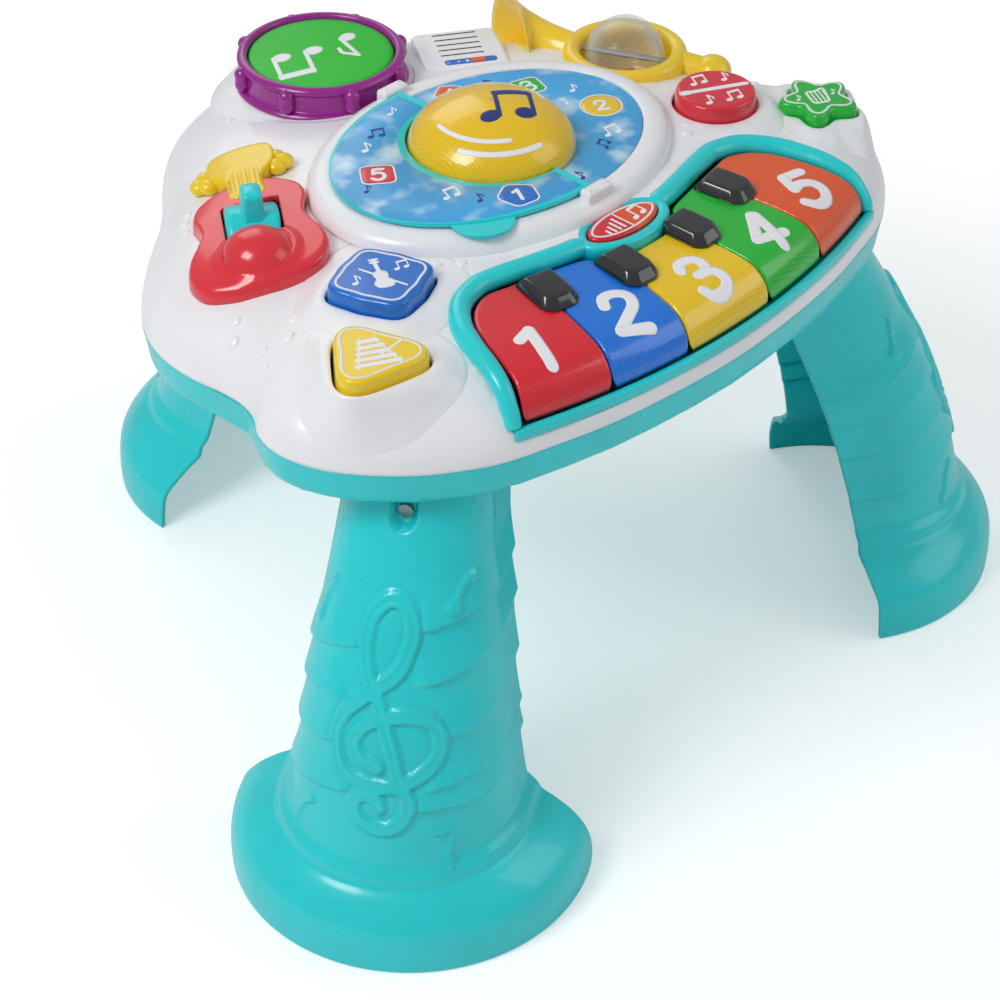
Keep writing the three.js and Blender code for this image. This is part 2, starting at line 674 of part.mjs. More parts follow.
/** Centre and sizes along the frame's bar, from the left arm's tip to the right one's. */
function framePath() {
  const half = FRAME_SHARES.map(([x, y, low], i) => {
    const tip = i / (FRAME_SHARES.length - 1);
    return {
      centre: new THREE.Vector3(
        x * KEY_HALF_WIDTH,
        y * KEY_FRONT_REACH,
        KEY_TOP_Z + FRAME_PROUD - FRAME_HALF_HEIGHT - low * KEY_FALL,
      ),
      scale: 1 - (1 - FRAME_TIP_SHARE)
        * Math.max(0, (tip - FRAME_TAPER_SHARE) / (1 - FRAME_TAPER_SHARE)),
    };
  });
  const left = half.slice(1).reverse().map(({ centre, scale }) => ({
    centre: new THREE.Vector3(-centre.x, centre.y, centre.z),
    scale,
  }));
  return [...left, ...half];
}

/** Strip along the keys' front edge, grown by a margin and made taller. */
function ledgeSolid(margin, extra) {
  const top = KEY_TOP_Z - KEY_FALL - GAP + margin + extra;
  const bottom = KEY_TOP_Z - KEY_FALL - GAP - LEDGE_HEIGHT - margin;
  const outer = -LEDGE_DEPTH - margin;
  const section = [
    new THREE.Vector2(outer, bottom),
    new THREE.Vector2(margin, bottom),
    new THREE.Vector2(margin, top),
    new THREE.Vector2(outer + LEDGE_DEPTH / 2, top),
    new THREE.Vector2(outer, top - LEDGE_DEPTH / 2),
  ];
  const reach = LEDGE_HALF_LENGTH + margin;
  const rings = Array.from({ length: KEY_STEPS + 1 }, (_, i) => {
    const x = reach * ((2 * i) / KEY_STEPS - 1);
    return section.map((p) => new THREE.Vector3(x, frontY(x) + p.x, p.y));
  });
  return toSolid(loft(rings, section));
}

/** The frame's bar, arms and ledge as one solid, grown by a margin. */
function pianoFrameSolid(margin) {
  const path = framePath();
  const curve = new THREE.CatmullRomCurve3(path.map(({ centre }) => centre));
  const rings = Array.from({ length: FRAME_STEPS + 1 }, (_, i) => {
    const t = i / FRAME_STEPS;
    const centre = curve.getPoint(t);
    const along = curve.getTangent(t);
    const side = new THREE.Vector3(-along.y, along.x, 0).normalize();
    const up = new THREE.Vector3().crossVectors(along, side).normalize();
    const nearest = path[Math.round(t * (path.length - 1))];
    const halfWidth = FRAME_HALF_WIDTH * nearest.scale + margin;
    const halfHeight = FRAME_HALF_HEIGHT * nearest.scale + margin;
    return ellipse(1, 1, HALF_STEPS).map((p) => centre.clone()
      .addScaledVector(side, halfWidth * p.x)
      .addScaledVector(up, halfHeight * p.y));
  });
  const barSolid = toSolid(loft(rings, ellipse(1, 1, HALF_STEPS)));
  const surroundTop = CROWN_Z + margin;
  const surround = placed(prism(
    ellipse(
      MODE_RADII.x + MODE_SURROUND + margin,
      MODE_RADII.y + MODE_SURROUND + margin,
      ROUND_STEPS,
    ),
    CROWN_Z - MODE_SURROUND_HEIGHT - margin,
    surroundTop,
    margin > 0 ? 0 : BUTTON_BEVEL,
  ), 0, MODE_Y);
  return join(barSolid, ledgeSolid(margin, 0), surround);
}

// Press buttons

/** Plan outline of a button: a circle with rounded lobes, grown by a margin. */
function buttonOutline({ radius, lobes, depth, turn }, margin) {
  return Array.from({ length: BUTTON_STEPS }, (_, i) => {
    const angle = (2 * Math.PI * i) / BUTTON_STEPS;
    const lobe = lobes ? depth * Math.cos(lobes * (angle - turn)) : 0;
    const reach = radius * (1 + lobe) + margin;
    return new THREE.Vector2(reach * Math.cos(angle), reach * Math.sin(angle));
  });
}

/** Heights of a button from its place on the crown. */
function buttonHeights(button) {
  const seat = crownHeight(button.x, button.y);
  const collarBottom = seat - COLLAR_DEPTH;
  const flangeTop = collarBottom - GAP;
  const flangeBottom = flangeTop - FLANGE_HEIGHT;
  return { collarBottom, flangeTop, flangeBottom, top: seat + button.rise };
}

/** A press button with its flange and stem. */
function buttonSolid(button) {
  const { flangeTop, flangeBottom, top } = buttonHeights(button);
  const cap = prism(buttonOutline(button, 0), flangeTop - GAP, top, BUTTON_BEVEL);
  const flange = prism(buttonOutline(button, FLANGE_WIDTH), flangeBottom, flangeTop);
  const stem = cylinder(STEM_RADIUS, flangeBottom - BUTTON_TRAVEL, flangeTop);
  return placed(join(cap, flange, stem), button.x, button.y);
}

/** The switch under a stem that ends at a height: a block with a round dome on top. */
function switchSolid(stemBottom, travel) {
  const domeTop = stemBottom - GAP - travel;
  const blockTop = domeTop - SWITCH_DOME_RADIUS / 2;
  const block = prism(
    rectangle(SWITCH_SIZE / 2, SWITCH_SIZE / 2),
    blockTop - SWITCH_HEIGHT,
    blockTop,
  );
  return {
    solid: block.add(cylinder(SWITCH_DOME_RADIUS, blockTop, domeTop)),
    bottom: blockTop - SWITCH_HEIGHT,
  };
}

// Legs

/** Section sizes of a leg at a height share. */
function legSection(share) {
  const next = Math.max(1, LEG_SHARES.findIndex(([height]) => height >= share));
  const [lowHeight, ...low] = LEG_SHARES[next - 1];
  const [highHeight, ...high] = LEG_SHARES[next];
  const part = (share - lowHeight) / (highHeight - lowHeight);
  const [centre, radius, side] = low.map((value, i) => value + part * (high[i] - value));
  return {
    centre: centre * LEG_LEAN,
    radius: radius * FOOT_RADIUS,
    side: side * LEG_DEPTH,
  };
}

/** Half circle with its straight sides, drawn in by an inset, at a height. */
function halfArc({ centre, radius, side }, inset, height) {
  const r = radius - inset;
  const points = Array.from({ length: HALF_STEPS + 1 }, (_, i) => {
    const angle = Math.PI * (i / HALF_STEPS - 1 / 2);
    return new THREE.Vector3(centre + r * Math.cos(angle), r * Math.sin(angle), height);
  });
  const first = new THREE.Vector3(centre - side, -r, height);
  const last = new THREE.Vector3(centre - side, r, height);
  return [first, ...points, last];
}

/** C-shaped section of a half-round shell, as a counter-clockwise ring at a height. */
function halfRing(section, wall, height) {
  return [...halfArc(section, 0, height), ...halfArc(section, wall, height).reverse()];
}

const LEG_SCREW_Z = LEG_HEIGHT - LEG_SCREW_DROP;

/** Outer reach of the leg at the height of its screw. */
function legFaceAtScrew() {
  const { centre, radius } = legSection(LEG_SCREW_Z / LEG_HEIGHT);
  return centre + radius;
}

/** U-shaped block along the leg's outward axis, round the screw. */
function screwBlock(from, to, halfWidth, rise = LEG_SCREW_DROP) {
  const outline = [
    new THREE.Vector2(-halfWidth, rise),
    ...Array.from({ length: HALF_STEPS + 1 }, (_, i) => {
      const angle = Math.PI * (1 + i / HALF_STEPS);
      return new THREE.Vector2(halfWidth * Math.cos(angle), halfWidth * Math.sin(angle));
    }),
    new THREE.Vector2(halfWidth, rise),
  ];
  const geometry = new THREE.ExtrudeGeometry(new THREE.Shape(outline), {
    depth: to - from,
    bevelEnabled: false,
  });
  geometry.translate(0, 0, from);
  geometry.rotateX(Math.PI / 2);
  geometry.rotateZ(Math.PI / 2);
  geometry.translate(0, 0, LEG_SCREW_Z);
  return toSolid(geometry);
}

/** One leg in its own frame: +X outwards, floor at z = 0, cut edge near x = 0. */
function legSolid() {
  const rings = LEG_SHARES.map(([share]) => halfRing(
    legSection(share),
    LEG_WALL,
    share * LEG_HEIGHT,
  ));
  const face = legFaceAtScrew();
  const seat = face - POCKET_DEPTH;
  const fill = toSolid(loft(LEG_SHARES.map(([share]) => halfArc(
    legSection(share),
    LEG_WALL / 2,
    share * LEG_HEIGHT,
  ))));
  const pad = screwBlock(seat - LEG_WALL, face + OVERRUN, POCKET_WIDTH / 2 + LEG_WALL)
    .intersect(fill);
  const recess = screwBlock(seat, face + OVERRUN, POCKET_WIDTH / 2);
  const hole = bar(
    SCREW_RADIUS + GAP,
    seat - OVERRUN / 2,
    seat + LEG_WALL,
    { x: 0, y: 0, z: LEG_SCREW_Z },
    0,
  );
  return cut(toSolid(loft(rings)).add(pad), recess, hole);
}

/** Tongue of the lower shell that reaches down inside a leg, with its screw boss. */
function tongueSolid() {
  const rings = TONGUE_SHARES.map((share) => {
    const { centre, radius, side } = legSection(share);
    return halfRing(
      { centre, radius: radius - LEG_WALL - GAP - GAP, side: side / 2 },
      TONGUE_WALL,
      share * LEG_HEIGHT,
    );
  });
  const top = halfRing(
    {
      ...legSection(1),
      radius: legSection(1).radius - LEG_WALL - GAP - GAP,
      side: legSection(1).side / 2,
    },
    TONGUE_WALL,
    FLOOR_Z,
  );
  const seat = legFaceAtScrew() - POCKET_DEPTH;
  const boss = screwBlock(
    seat - LEG_SCREW_LENGTH - LEG_WALL,
    seat + LEG_WALL / 2,
    POCKET_WIDTH / 2 + LEG_WALL,
  );
  const padRoom = screwBlock(
    seat - LEG_WALL - GAP,
    seat + OVERRUN,
    POCKET_WIDTH / 2 + LEG_WALL + GAP,
    LEG_SCREW_DROP + GAP,
  );
  const hole = bar(
    SCREW_RADIUS + GAP,
    seat - LEG_SCREW_LENGTH - OVERRUN / 2,
    seat + OVERRUN,
    { x: 0, y: 0, z: LEG_SCREW_Z },
    0,
  );
  const fill = toSolid(loft(TONGUE_SHARES.map((share) => halfArc(
    legSection(share),
    LEG_WALL + GAP + GAP + TONGUE_WALL / 2,
    share * LEG_HEIGHT,
  )).reverse()));
  const shell = toSolid(loft([...rings].reverse().concat([top])));
  return cut(join(shell, boss.intersect(fill)), padRoom, hole);
}

/** Screw along the leg's outward axis. */
function legScrewSolid() {
  const seat = legFaceAtScrew() - POCKET_DEPTH + GAP;
  const middle = { x: 0, y: 0, z: LEG_SCREW_Z };
  return join(
    bar(SCREW_RADIUS, seat - LEG_SCREW_LENGTH, seat + SCREW_HEAD_HEIGHT / 2, middle, 0),
    bar(SCREW_HEAD_RADIUS, seat, seat + SCREW_HEAD_HEIGHT, middle, 0),
  );
}

// Assembly
const activityTable = new THREE.Group();
const table = new THREE.Group();
activityTable.add(table);

const LEG_FRAMES = {
  front_left: { ...onPlayTop(PLACE_SHARES.leg_front_left), turn: Math.PI + LEG_TURN },
  front_right: { ...onPlayTop(PLACE_SHARES.leg_front_right), turn: -LEG_TURN },
  back: { ...onPlayTop(PLACE_SHARES.leg_back), turn: Math.PI / 2 },
};

const legGeometry = toGeometry(legSolid());
const legScrewGeometry = toGeometry(legScrewSolid());
for (const [side, place] of Object.entries(LEG_FRAMES)) {
  const legGroup = new THREE.Group();
  legGroup.position.set(place.x, place.y, 0);
  legGroup.rotation.z = place.turn;
  addPart(legGroup, `leg_${side}`, legGeometry, TEAL);
  addPart(legGroup, `leg_screw_${side}`, legScrewGeometry, STEEL);
  table.add(legGroup);
}

// Lower shell: band, floor, tongues, battery box, pillars and screw bosses
const batteryBox = { ...BATTERY_BOX, ...onPlayTop(PLACE_SHARES.battery_box) };
const doorHalf = { x: batteryBox.halfX - BATTERY_WALL - GAP, y: batteryBox.halfY - BATTERY_WALL - GAP };
const boxTop = BAND_Z + batteryBox.height;
const buttonEntries = Object.entries(BUTTONS).map(([name, button]) => {
  const heights = buttonHeights(button);
  const under = switchSolid(heights.flangeBottom - BUTTON_TRAVEL, BUTTON_TRAVEL);
  return { name, button, under };
});
const drumSkinBottom = DRUM_SEAT_Z - WALL;
const drumSwitch = switchSolid(drumSkinBottom, DRUM_TRAVEL);

function lowerShellSolid() {
  const outer = toSolid(loft([
    bodyRing(1, BAND_DRAFT, () => BAND_Z),
    bodyRing(1, 0, () => SEAM_Z - GAP),
  ]));
  const inner = toSolid(loft([
    bodyRing(1, BAND_DRAFT + WALL, () => FLOOR_Z),
    bodyRing(1, WALL, () => SEAM_Z + WALL),
  ]));
  const tongue = tongueSolid();
  const tongues = Object.values(LEG_FRAMES).map(({ x, y, turn }) => placed(tongue, x, y, 0, turn));
  const box = placed(
    prism(rectangle(batteryBox.halfX, batteryBox.halfY), BAND_Z, boxTop),
    batteryBox.x,
    batteryBox.y,
  );
  const boxRoom = placed(
    prism(
      rectangle(batteryBox.halfX - BATTERY_WALL, batteryBox.halfY - BATTERY_WALL),
      BAND_Z - OVERRUN,
      boxTop - BATTERY_WALL,
    ),
    batteryBox.x,
    batteryBox.y,
  );
  const pillars = buttonEntries.map(({ button, under }) => placed(
    cylinder(PILLAR_RADIUS, BAND_Z, under.bottom - GAP),
    button.x,
    button.y,
  ));
  const drumPillar = placed(
    cylinder(PILLAR_RADIUS, BAND_Z, drumSwitch.bottom - GAP),
    DRUM_PLACE.x,
    DRUM_PLACE.y,
  );
  const boardPosts = [[-1, -1], [1, -1], [1, 1], [-1, 1]].map(([sx, sy]) => placed(
    cylinder(BOARD_POST_RADIUS, boxTop - BATTERY_WALL, boxTop + BOARD_POST_HEIGHT),
    batteryBox.x + sx * (batteryBox.halfX - BOARD_POST_RADIUS),
    batteryBox.y + sy * (BOARD_HALF.y - BOARD_POST_RADIUS),
  ));
  const doorBoss = placed(
    cylinder(SCREW_BOSS_RADIUS, FLOOR_Z, boxTop - BATTERY_WALL / 2),
    batteryBox.x,
    batteryBox.y + doorHalf.y - SCREW_BOSS_RADIUS,
  );
  const bosses = HOUSING_SCREWS.map(({ x, y }) => placed(
    cylinder(SCREW_BOSS_RADIUS, BAND_Z, SEAM_Z + SCREW_BOSS_TOP),
    x,
    y,
  ));
  const screwHoles = HOUSING_SCREWS.map(({ x, y }) => placed(join(
    cylinder(SCREW_RADIUS + GAP, BAND_Z - OVERRUN, SEAM_Z + OVERRUN),
    cylinder(SCREW_HEAD_RADIUS + GAP, BAND_Z - OVERRUN, SEAM_Z - SCREW_BOSS_TOP),
  ), x, y));
  const doorHole = placed(
    cylinder(SCREW_RADIUS + GAP, BAND_Z - OVERRUN, FLOOR_Z + SCREW_BITE + WALL),
    batteryBox.x,
    batteryBox.y + doorHalf.y - SCREW_BOSS_RADIUS,
  );
  const shell = join(cut(outer, inner), ...tongues, box, ...pillars, drumPillar, ...bosses);
  return cut(
    join(cut(shell, boxRoom), ...boardPosts, doorBoss),
    ...screwHoles,
    doorHole,
  );
}

addPart(table, 'bottom_shell', lowerShellSolid(), TEAL);

for (const [i, { x, y }] of HOUSING_SCREWS.entries()) {
  const seat = SEAM_Z - SCREW_BOSS_TOP - GAP;
  const screw = join(
    cylinder(SCREW_RADIUS, seat - SCREW_HEAD_HEIGHT / 2, SEAM_Z + SCREW_BOSS_TOP + SCREW_BITE),
    cylinder(SCREW_HEAD_RADIUS, seat - SCREW_HEAD_HEIGHT, seat),
  );
  addPart(table, `housing_screw_${i + 1}`, placed(screw, x, y), STEEL);
}

// Battery door, its screw and the cells
const doorScrewPlace = { x: batteryBox.x, y: batteryBox.y + doorHalf.y - SCREW_BOSS_RADIUS };
const doorTop = BAND_Z + DOOR_THICKNESS;
const door = cut(
  placed(prism(rectangle(doorHalf.x, doorHalf.y), BAND_Z, doorTop), batteryBox.x, batteryBox.y),
  placed(
    cylinder(SCREW_RADIUS + GAP, BAND_Z - OVERRUN, doorTop + OVERRUN),
    doorScrewPlace.x,
    doorScrewPlace.y,
  ),
);
addPart(table, 'battery_door', door, TEAL);
const doorScrew = join(
  cylinder(SCREW_RADIUS, BAND_Z - GAP, FLOOR_Z + SCREW_BITE),
  cylinder(SCREW_HEAD_RADIUS, BAND_Z - GAP - SCREW_HEAD_HEIGHT, BAND_Z - GAP),
);
addPart(table, 'battery_door_screw', placed(doorScrew, doorScrewPlace.x, doorScrewPlace.y), STEEL);

const cellPitch = 2 * CELL_RADIUS + 2 * GAP;
for (let i = 0; i < 3; i += 1) {
  const middle = {
    x: batteryBox.x + (i - 1) * cellPitch,
    y: batteryBox.y - doorHalf.y + CELL_LENGTH / 2,
    z: doorTop + GAP + CELL_RADIUS,
  };
  const flip = i === 1 ? -1 : 1;
  const angle = (flip * Math.PI) / 2;
  const cell = join(
    bar(CELL_RADIUS, -CELL_LENGTH / 2, CELL_LENGTH / 2 - CELL_NIPPLE_LENGTH, middle, angle),
    bar(CELL_NIPPLE_RADIUS, 0, CELL_LENGTH / 2, middle, angle),
  );
  addPart(table, `battery_cell_${i + 1}`, cell, CELL_PAINT);
}

// Circuit board on its posts
const boardZ = boxTop + BOARD_POST_HEIGHT + GAP;
const board = join(
  prism(rectangle(BOARD_HALF.x, BOARD_HALF.y), boardZ, boardZ + BOARD_THICKNESS),
  prism(
    rectangle(BOARD_HALF.x / 4, BOARD_HALF.y / 4),
    boardZ + BOARD_THICKNESS / 2,
    boardZ + BOARD_THICKNESS + CHIP_HEIGHT,
  ),
);
addPart(table, 'circuit_board', placed(board, batteryBox.x, batteryBox.y), BOARD_GREEN);

// Top shell
const alongGuitar = new THREE.Vector2(Math.cos(GUITAR_TURN), Math.sin(GUITAR_TURN));

/** Place at a reach along and across the guitar. */
function onGuitar(along, across = 0) {
  return {
    x: GUITAR_PLACE.x + along * alongGuitar.x - across * alongGuitar.y,
    y: GUITAR_PLACE.y + along * alongGuitar.y + across * alongGuitar.x,
  };
}

const leverPlace = onGuitar(LEVER_ALONG);
const LEVER_AXIS_Z = crownHeight(leverPlace.x, leverPlace.y) - LEVER_DROP;
const leverAxis = { ...leverPlace, z: LEVER_AXIS_Z };
const leverAcross = GUITAR_TURN - Math.PI / 2;
const ballHeight = crownHeight(RING_PLACE.x, RING_PLACE.y) + BALL_RISE;
const speakerTop = crownHeight(SPEAKER_PLACE.x, SPEAKER_PLACE.y) - SPEAKER_DROP;

/** Room in the crown and the guitar for the lever's barrel and the swing of its fin. */
function leverRoom() {
  const barrelRoom = bar(
    LEVER_RADIUS + RUN_GAP,
    -LEVER_HALF_WIDTH - RUN_GAP,
    LEVER_HALF_WIDTH + RUN_GAP,
    leverAxis,
    leverAcross,
    FINE_STEPS,
  );
  const swing = 2 * Math.PI * LEVER_SWING_SHARE;
  const foot = FIN_LENGTH / 2 / Math.cos(swing) + RUN_GAP;
  const height = LEVER_RADIUS + FIN_HEIGHT;
  const reach = foot + height * Math.tan(swing);
  const fan = prism(
    [
      new THREE.Vector2(-foot, 0), new THREE.Vector2(foot, 0),
      new THREE.Vector2(reach, height), new THREE.Vector2(-reach, height),
    ],
    -FIN_WIDTH / 2 - RUN_GAP,
    FIN_WIDTH / 2 + RUN_GAP,
  ).rotate(UPRIGHT_DEGREES);
  return join(barrelRoom, placed(fan, leverPlace.x, leverPlace.y, LEVER_AXIS_Z, GUITAR_TURN));
}

/** Room in the bezel for the corners of the page's spine while it turns over. */
function spineRoom() {
  return bar(
    SPINE_ROOM_RADIUS,
    -PAGE_RADII.y - RUN_GAP,
    PAGE_RADII.y + RUN_GAP,
    { x: 0, y: 0, z: PAGE_AXIS_Z },
    Math.PI / 2,
    ROUND_STEPS,
  );
}

function topShellSolid() {
  const outer = crownSolid(SEAM_Z, 0, 0, CROWN_SHARES);
  const inner = crownSolid(SEAM_Z - OVERRUN, WALL, -WALL, INNER_CROWN_SHARES);
  const bezel = bezelSolid(0);
  const discRoom = prism(
    ellipse(DISC_RADII.x + GAP, DISC_RADII.y + GAP, FINE_STEPS),
    DISC_Z - DISC_THICKNESS - GAP,
    BEZEL_Z + OVERRUN,
  );
  const bossReach = PAGE_RADII.y + RUN_GAP;
  const pageBosses = [1, -1].map((side) => placed(
    prism(
      rectangle(BOSS_HALF_WIDTH, BOSS_LENGTH / 2),
      CROWN_Z - WALL,
      PAGE_AXIS_Z + SPINE_RADIUS + PIN_RADIUS,
      PIN_RADIUS,
    ),
    0,
    side * (bossReach + BOSS_LENGTH / 2),
  ));
  const pinHole = bar(
    PIN_RADIUS + GAP,
    -bossReach - PIN_LENGTH - GAP,
    bossReach + PIN_LENGTH + GAP,
    { x: 0, y: 0, z: PAGE_AXIS_Z },
    Math.PI / 2,
  );

  const wellWalls = prism(wellOutline(WALL), WELL_Z - WELL_FLOOR, CROWN_Z + OVERRUN)
    .intersect(crownSolid(SEAM_Z, GAP, -GAP, CROWN_SHARES));
  const wellRoom = prism(wellOutline(0), WELL_Z, CROWN_Z + OVERRUN);
  const saddles = SADDLE_PLACES.map((x) => placed(
    prism(rectangle(SADDLE_HALF_THICKNESS, LUG_RADIUS), WELL_Z - WELL_FLOOR / 2, KEY_AXLE_Z + LUG_RADIUS),
    x,
    KEY_AXLE_Y,
  ));
  const axleHole = bar(
    KEY_AXLE_RADIUS + GAP,
    -KEY_AXLE_HALF_LENGTH - GAP,
    KEY_AXLE_HALF_LENGTH + GAP,
    { x: 0, y: KEY_AXLE_Y, z: KEY_AXLE_Z },
    0,
  );
  const modeRoom = placed(prism(
    ellipse(MODE_RADII.x + MODE_CLEAR + GAP, MODE_RADII.y + MODE_CLEAR + GAP, ROUND_STEPS),
    CROWN_Z + MODE_PROUD - MODE_HEIGHT - GAP - MODE_PIN_LENGTH,
    CROWN_Z + OVERRUN,
  ), 0, MODE_Y);

  const collars = buttonEntries.map(({ button }) => {
    const { top } = buttonHeights(button);
    return placed(
      prism(buttonOutline(button, RUN_GAP + COLLAR_WIDTH), SEAM_Z + WALL, top - BUTTON_PROUD),
      button.x,
      button.y,
    );
  });
  const buttonRooms = buttonEntries.map(({ button }) => placed(
    prism(buttonOutline(button, RUN_GAP), SEAM_Z, CROWN_Z + OVERRUN),
    button.x,
    button.y,
  ));
  const flangeRooms = buttonEntries.map(({ button }) => {
    const { collarBottom } = buttonHeights(button);
    return placed(
      prism(
        buttonOutline(button, FLANGE_WIDTH + RUN_GAP),
        SEAM_Z,
        collarBottom,
      ),
      button.x,
      button.y,
    );
  });

  const drumPad = placed(
    cylinder(DRUM_RADIUS + WALL, DRUM_SEAT_Z - WALL, DRUM_SEAT_Z, FINE_STEPS),
    DRUM_PLACE.x,
    DRUM_PLACE.y,
  );
  const drumRoom = placed(
    cylinder(DRUM_RADIUS * DRUM_PROFILE_SHARES[1][0] + GAP, DRUM_SEAT_Z, CROWN_Z + OVERRUN, FINE_STEPS),
    DRUM_PLACE.x,
    DRUM_PLACE.y,
  );
  const drumStemHole = placed(
    cylinder(STEM_RADIUS + RUN_GAP, DRUM_SEAT_Z - OVERRUN / 2, DRUM_SEAT_Z + OVERRUN),
    DRUM_PLACE.x,
    DRUM_PLACE.y,
  );

  const ears = [1, -1].map((side) => {
    const reach = side * (LEVER_HALF_WIDTH + RUN_GAP + GAP + EAR_THICKNESS / 2);
    const place = onGuitar(LEVER_ALONG, reach);
    return placed(
      prism(
        rectangle(EAR_WIDTH / 2, EAR_THICKNESS / 2),
        LEVER_AXIS_Z - EAR_WIDTH / 2,
        crownHeight(place.x, place.y) - WALL / 2,
      ),
      place.x,
      place.y,
      0,
      GUITAR_TURN,
    );
  });
  const leverAxleHole = bar(
    LEVER_AXLE_RADIUS + GAP,
    -LEVER_HALF_WIDTH - EAR_THICKNESS - WALL,
    LEVER_HALF_WIDTH + EAR_THICKNESS + WALL,
    leverAxis,
    leverAcross,
  );

  const bowlRoom = placed(
    cylinder(BOWL_RADIUS + BOWL_WALL + GAP, SEAM_Z, CROWN_Z + OVERRUN, FINE_STEPS),
    RING_PLACE.x,
    RING_PLACE.y,
  );

  const housingTop = crownHeight(HOUSING_PLACE.x, HOUSING_PLACE.y) + HOUSING_PROUD;
  const atHousing = (solid) => placed(solid, HOUSING_PLACE.x, HOUSING_PLACE.y, 0, HOUSING_TURN);
  const housing = atHousing(prism(
    rectangle(HOUSING_HALF.x, HOUSING_HALF.y),
    housingTop - HOUSING_PROUD - WALL,
    housingTop,
    BUTTON_BEVEL,
  ));
  const speakerSkin = crownHeight(SPEAKER_PLACE.x, SPEAKER_PLACE.y) - WALL / 2;
  const speakerRing = placed(
    cylinder(SPEAKER_RADIUS + WALL, speakerTop, speakerSkin, ROUND_STEPS),
    SPEAKER_PLACE.x,
    SPEAKER_PLACE.y,
  );
  const speakerRoom = placed(
    cylinder(SPEAKER_RADIUS - WALL, SEAM_Z, speakerSkin - WALL, ROUND_STEPS),
    SPEAKER_PLACE.x,
    SPEAKER_PLACE.y,
  );
  const slots = Array.from({ length: SLOT_COUNT }, (_, i) => atHousing(
    prism(rectangle(SLOT_HALF.x, SLOT_HALF.y), housingTop - SLOT_DEPTH, housingTop + OVERRUN)
      .translate([0, (i - (SLOT_COUNT - 1) / 2) * SLOT_PITCH + SLOT_PITCH / 2, 0]),
  ));
  const knobSlot = placed(
    prism(
      rectangle(KNOB_HALF.x + SWITCH_TRAVEL + RUN_GAP, KNOB_HALF.y + RUN_GAP),
      SEAM_Z,
      CROWN_Z + OVERRUN,
    ),
    SWITCH_PLACE.x,
    SWITCH_PLACE.y,
    0,
    HOUSING_TURN,
  );

  const screwBosses = HOUSING_SCREWS.map(({ x, y }) => placed(
    cylinder(SCREW_BOSS_RADIUS, SEAM_Z + SCREW_BOSS_TOP + GAP, crownHeight(x, y) - WALL / 2),
    x,
    y,
  ));
  const screwBites = HOUSING_SCREWS.map(({ x, y }) => placed(
    cylinder(SCREW_RADIUS + GAP, SEAM_Z, SEAM_Z + SCREW_BOSS_TOP + SCREW_BITE + GAP),
    x,
    y,
  ));

  const skin = cut(outer, inner);
  const built = join(skin, bezel, ...pageBosses, wellWalls, ...collars, drumPad, ...ears, housing);
  const roomy = cut(
    join(built.subtract(drumRoom), speakerRing, ...screwBosses),
    discRoom,
    pinHole,
    spineRoom(),
    wellRoom,
    modeRoom,
    pianoFrameSolid(GAP),
    ledgeSolid(GAP, OVERRUN / 2),
    ...buttonRooms,
    ...flangeRooms,
    drumStemHole,
    leverRoom(),
    leverAxleHole,
    bowlRoom,
    speakerRoom,
    ...slots,
    knobSlot,
    ...screwBites,
  );
  return largest(cut(join(roomy, ...saddles), axleHole));
}

addPart(table, 'top_shell', topShellSolid(), WHITE);

// Piano
const modeHole = placed(prism(
  ellipse(MODE_RADII.x + MODE_CLEAR, MODE_RADII.y + MODE_CLEAR, ROUND_STEPS),
  CROWN_Z - OVERRUN,
  CROWN_Z + OVERRUN,
), 0, MODE_Y);
const modeAxisZ = CROWN_Z + MODE_PROUD - MODE_HEIGHT / 2;
const modePinReach = MODE_RADII.y + MODE_CLEAR + MODE_PIN_LENGTH;
const modePinHole = bar(
  MODE_PIN_RADIUS + GAP,
  -modePinReach - GAP,
  modePinReach + GAP,
  { x: 0, y: MODE_Y, z: modeAxisZ },
  Math.PI / 2,
);
const keyField = prism(fieldOutline(0), WELL_Z - OVERRUN, CROWN_Z + OVERRUN);
addPart(
  table,
  'piano_frame',
  cut(pianoFrameSolid(0), modeHole, modePinHole, keyField),
  TEAL,
);

const modeButton = join(
  placed(prism(
    ellipse(MODE_RADII.x, MODE_RADII.y, ROUND_STEPS),
    CROWN_Z + MODE_PROUD - MODE_HEIGHT,
    CROWN_Z + MODE_PROUD,
    BUTTON_BEVEL / 2,
  ), 0, MODE_Y),
  bar(MODE_PIN_RADIUS, -modePinReach, modePinReach, { x: 0, y: MODE_Y, z: modeAxisZ }, Math.PI / 2),
);
addPart(table, 'mode_button', modeButton, ORANGE);

/** Black key in place: a bevelled block that hovers over the key tops, on a post. */
function blackKeySolid([xShare, yShare, turn], margin) {
  const x = xShare * KEY_HALF_WIDTH;
  const y = yShare * KEY_FRONT_REACH;
  const angle = 2 * Math.PI * turn;
  const top = KEY_TOP_Z + BLACK_KEY_RISE;
  const block = prism(
    rectangle(BLACK_KEY_HALF.x, BLACK_KEY_HALF.y),
    KEY_TOP_Z - KEY_FALL / 2,
    top,
    BLACK_KEY_BEVEL,
  );
  const post = prism(rectangle(POST_HALF_WIDTH + margin, POST_HALF_WIDTH + margin), WELL_Z + GAP, KEY_TOP_Z);
  return { block: placed(block, x, y, 0, angle), post: placed(post, x, y, 0, angle) };
}

const keyTops = keySlab(0, KEY_THICKNESS);
const underTops = keySlab(GAP, OVERRUN / 4);
for (const [i, shares] of BLACK_KEY_SHARES.entries()) {
  const { block, post } = blackKeySolid(shares, 0);
  const frameRoom = pianoFrameSolid(GAP);
  addPart(table, `black_key_${i + 1}`, cut(block, underTops, frameRoom).add(post), BLACK);
}

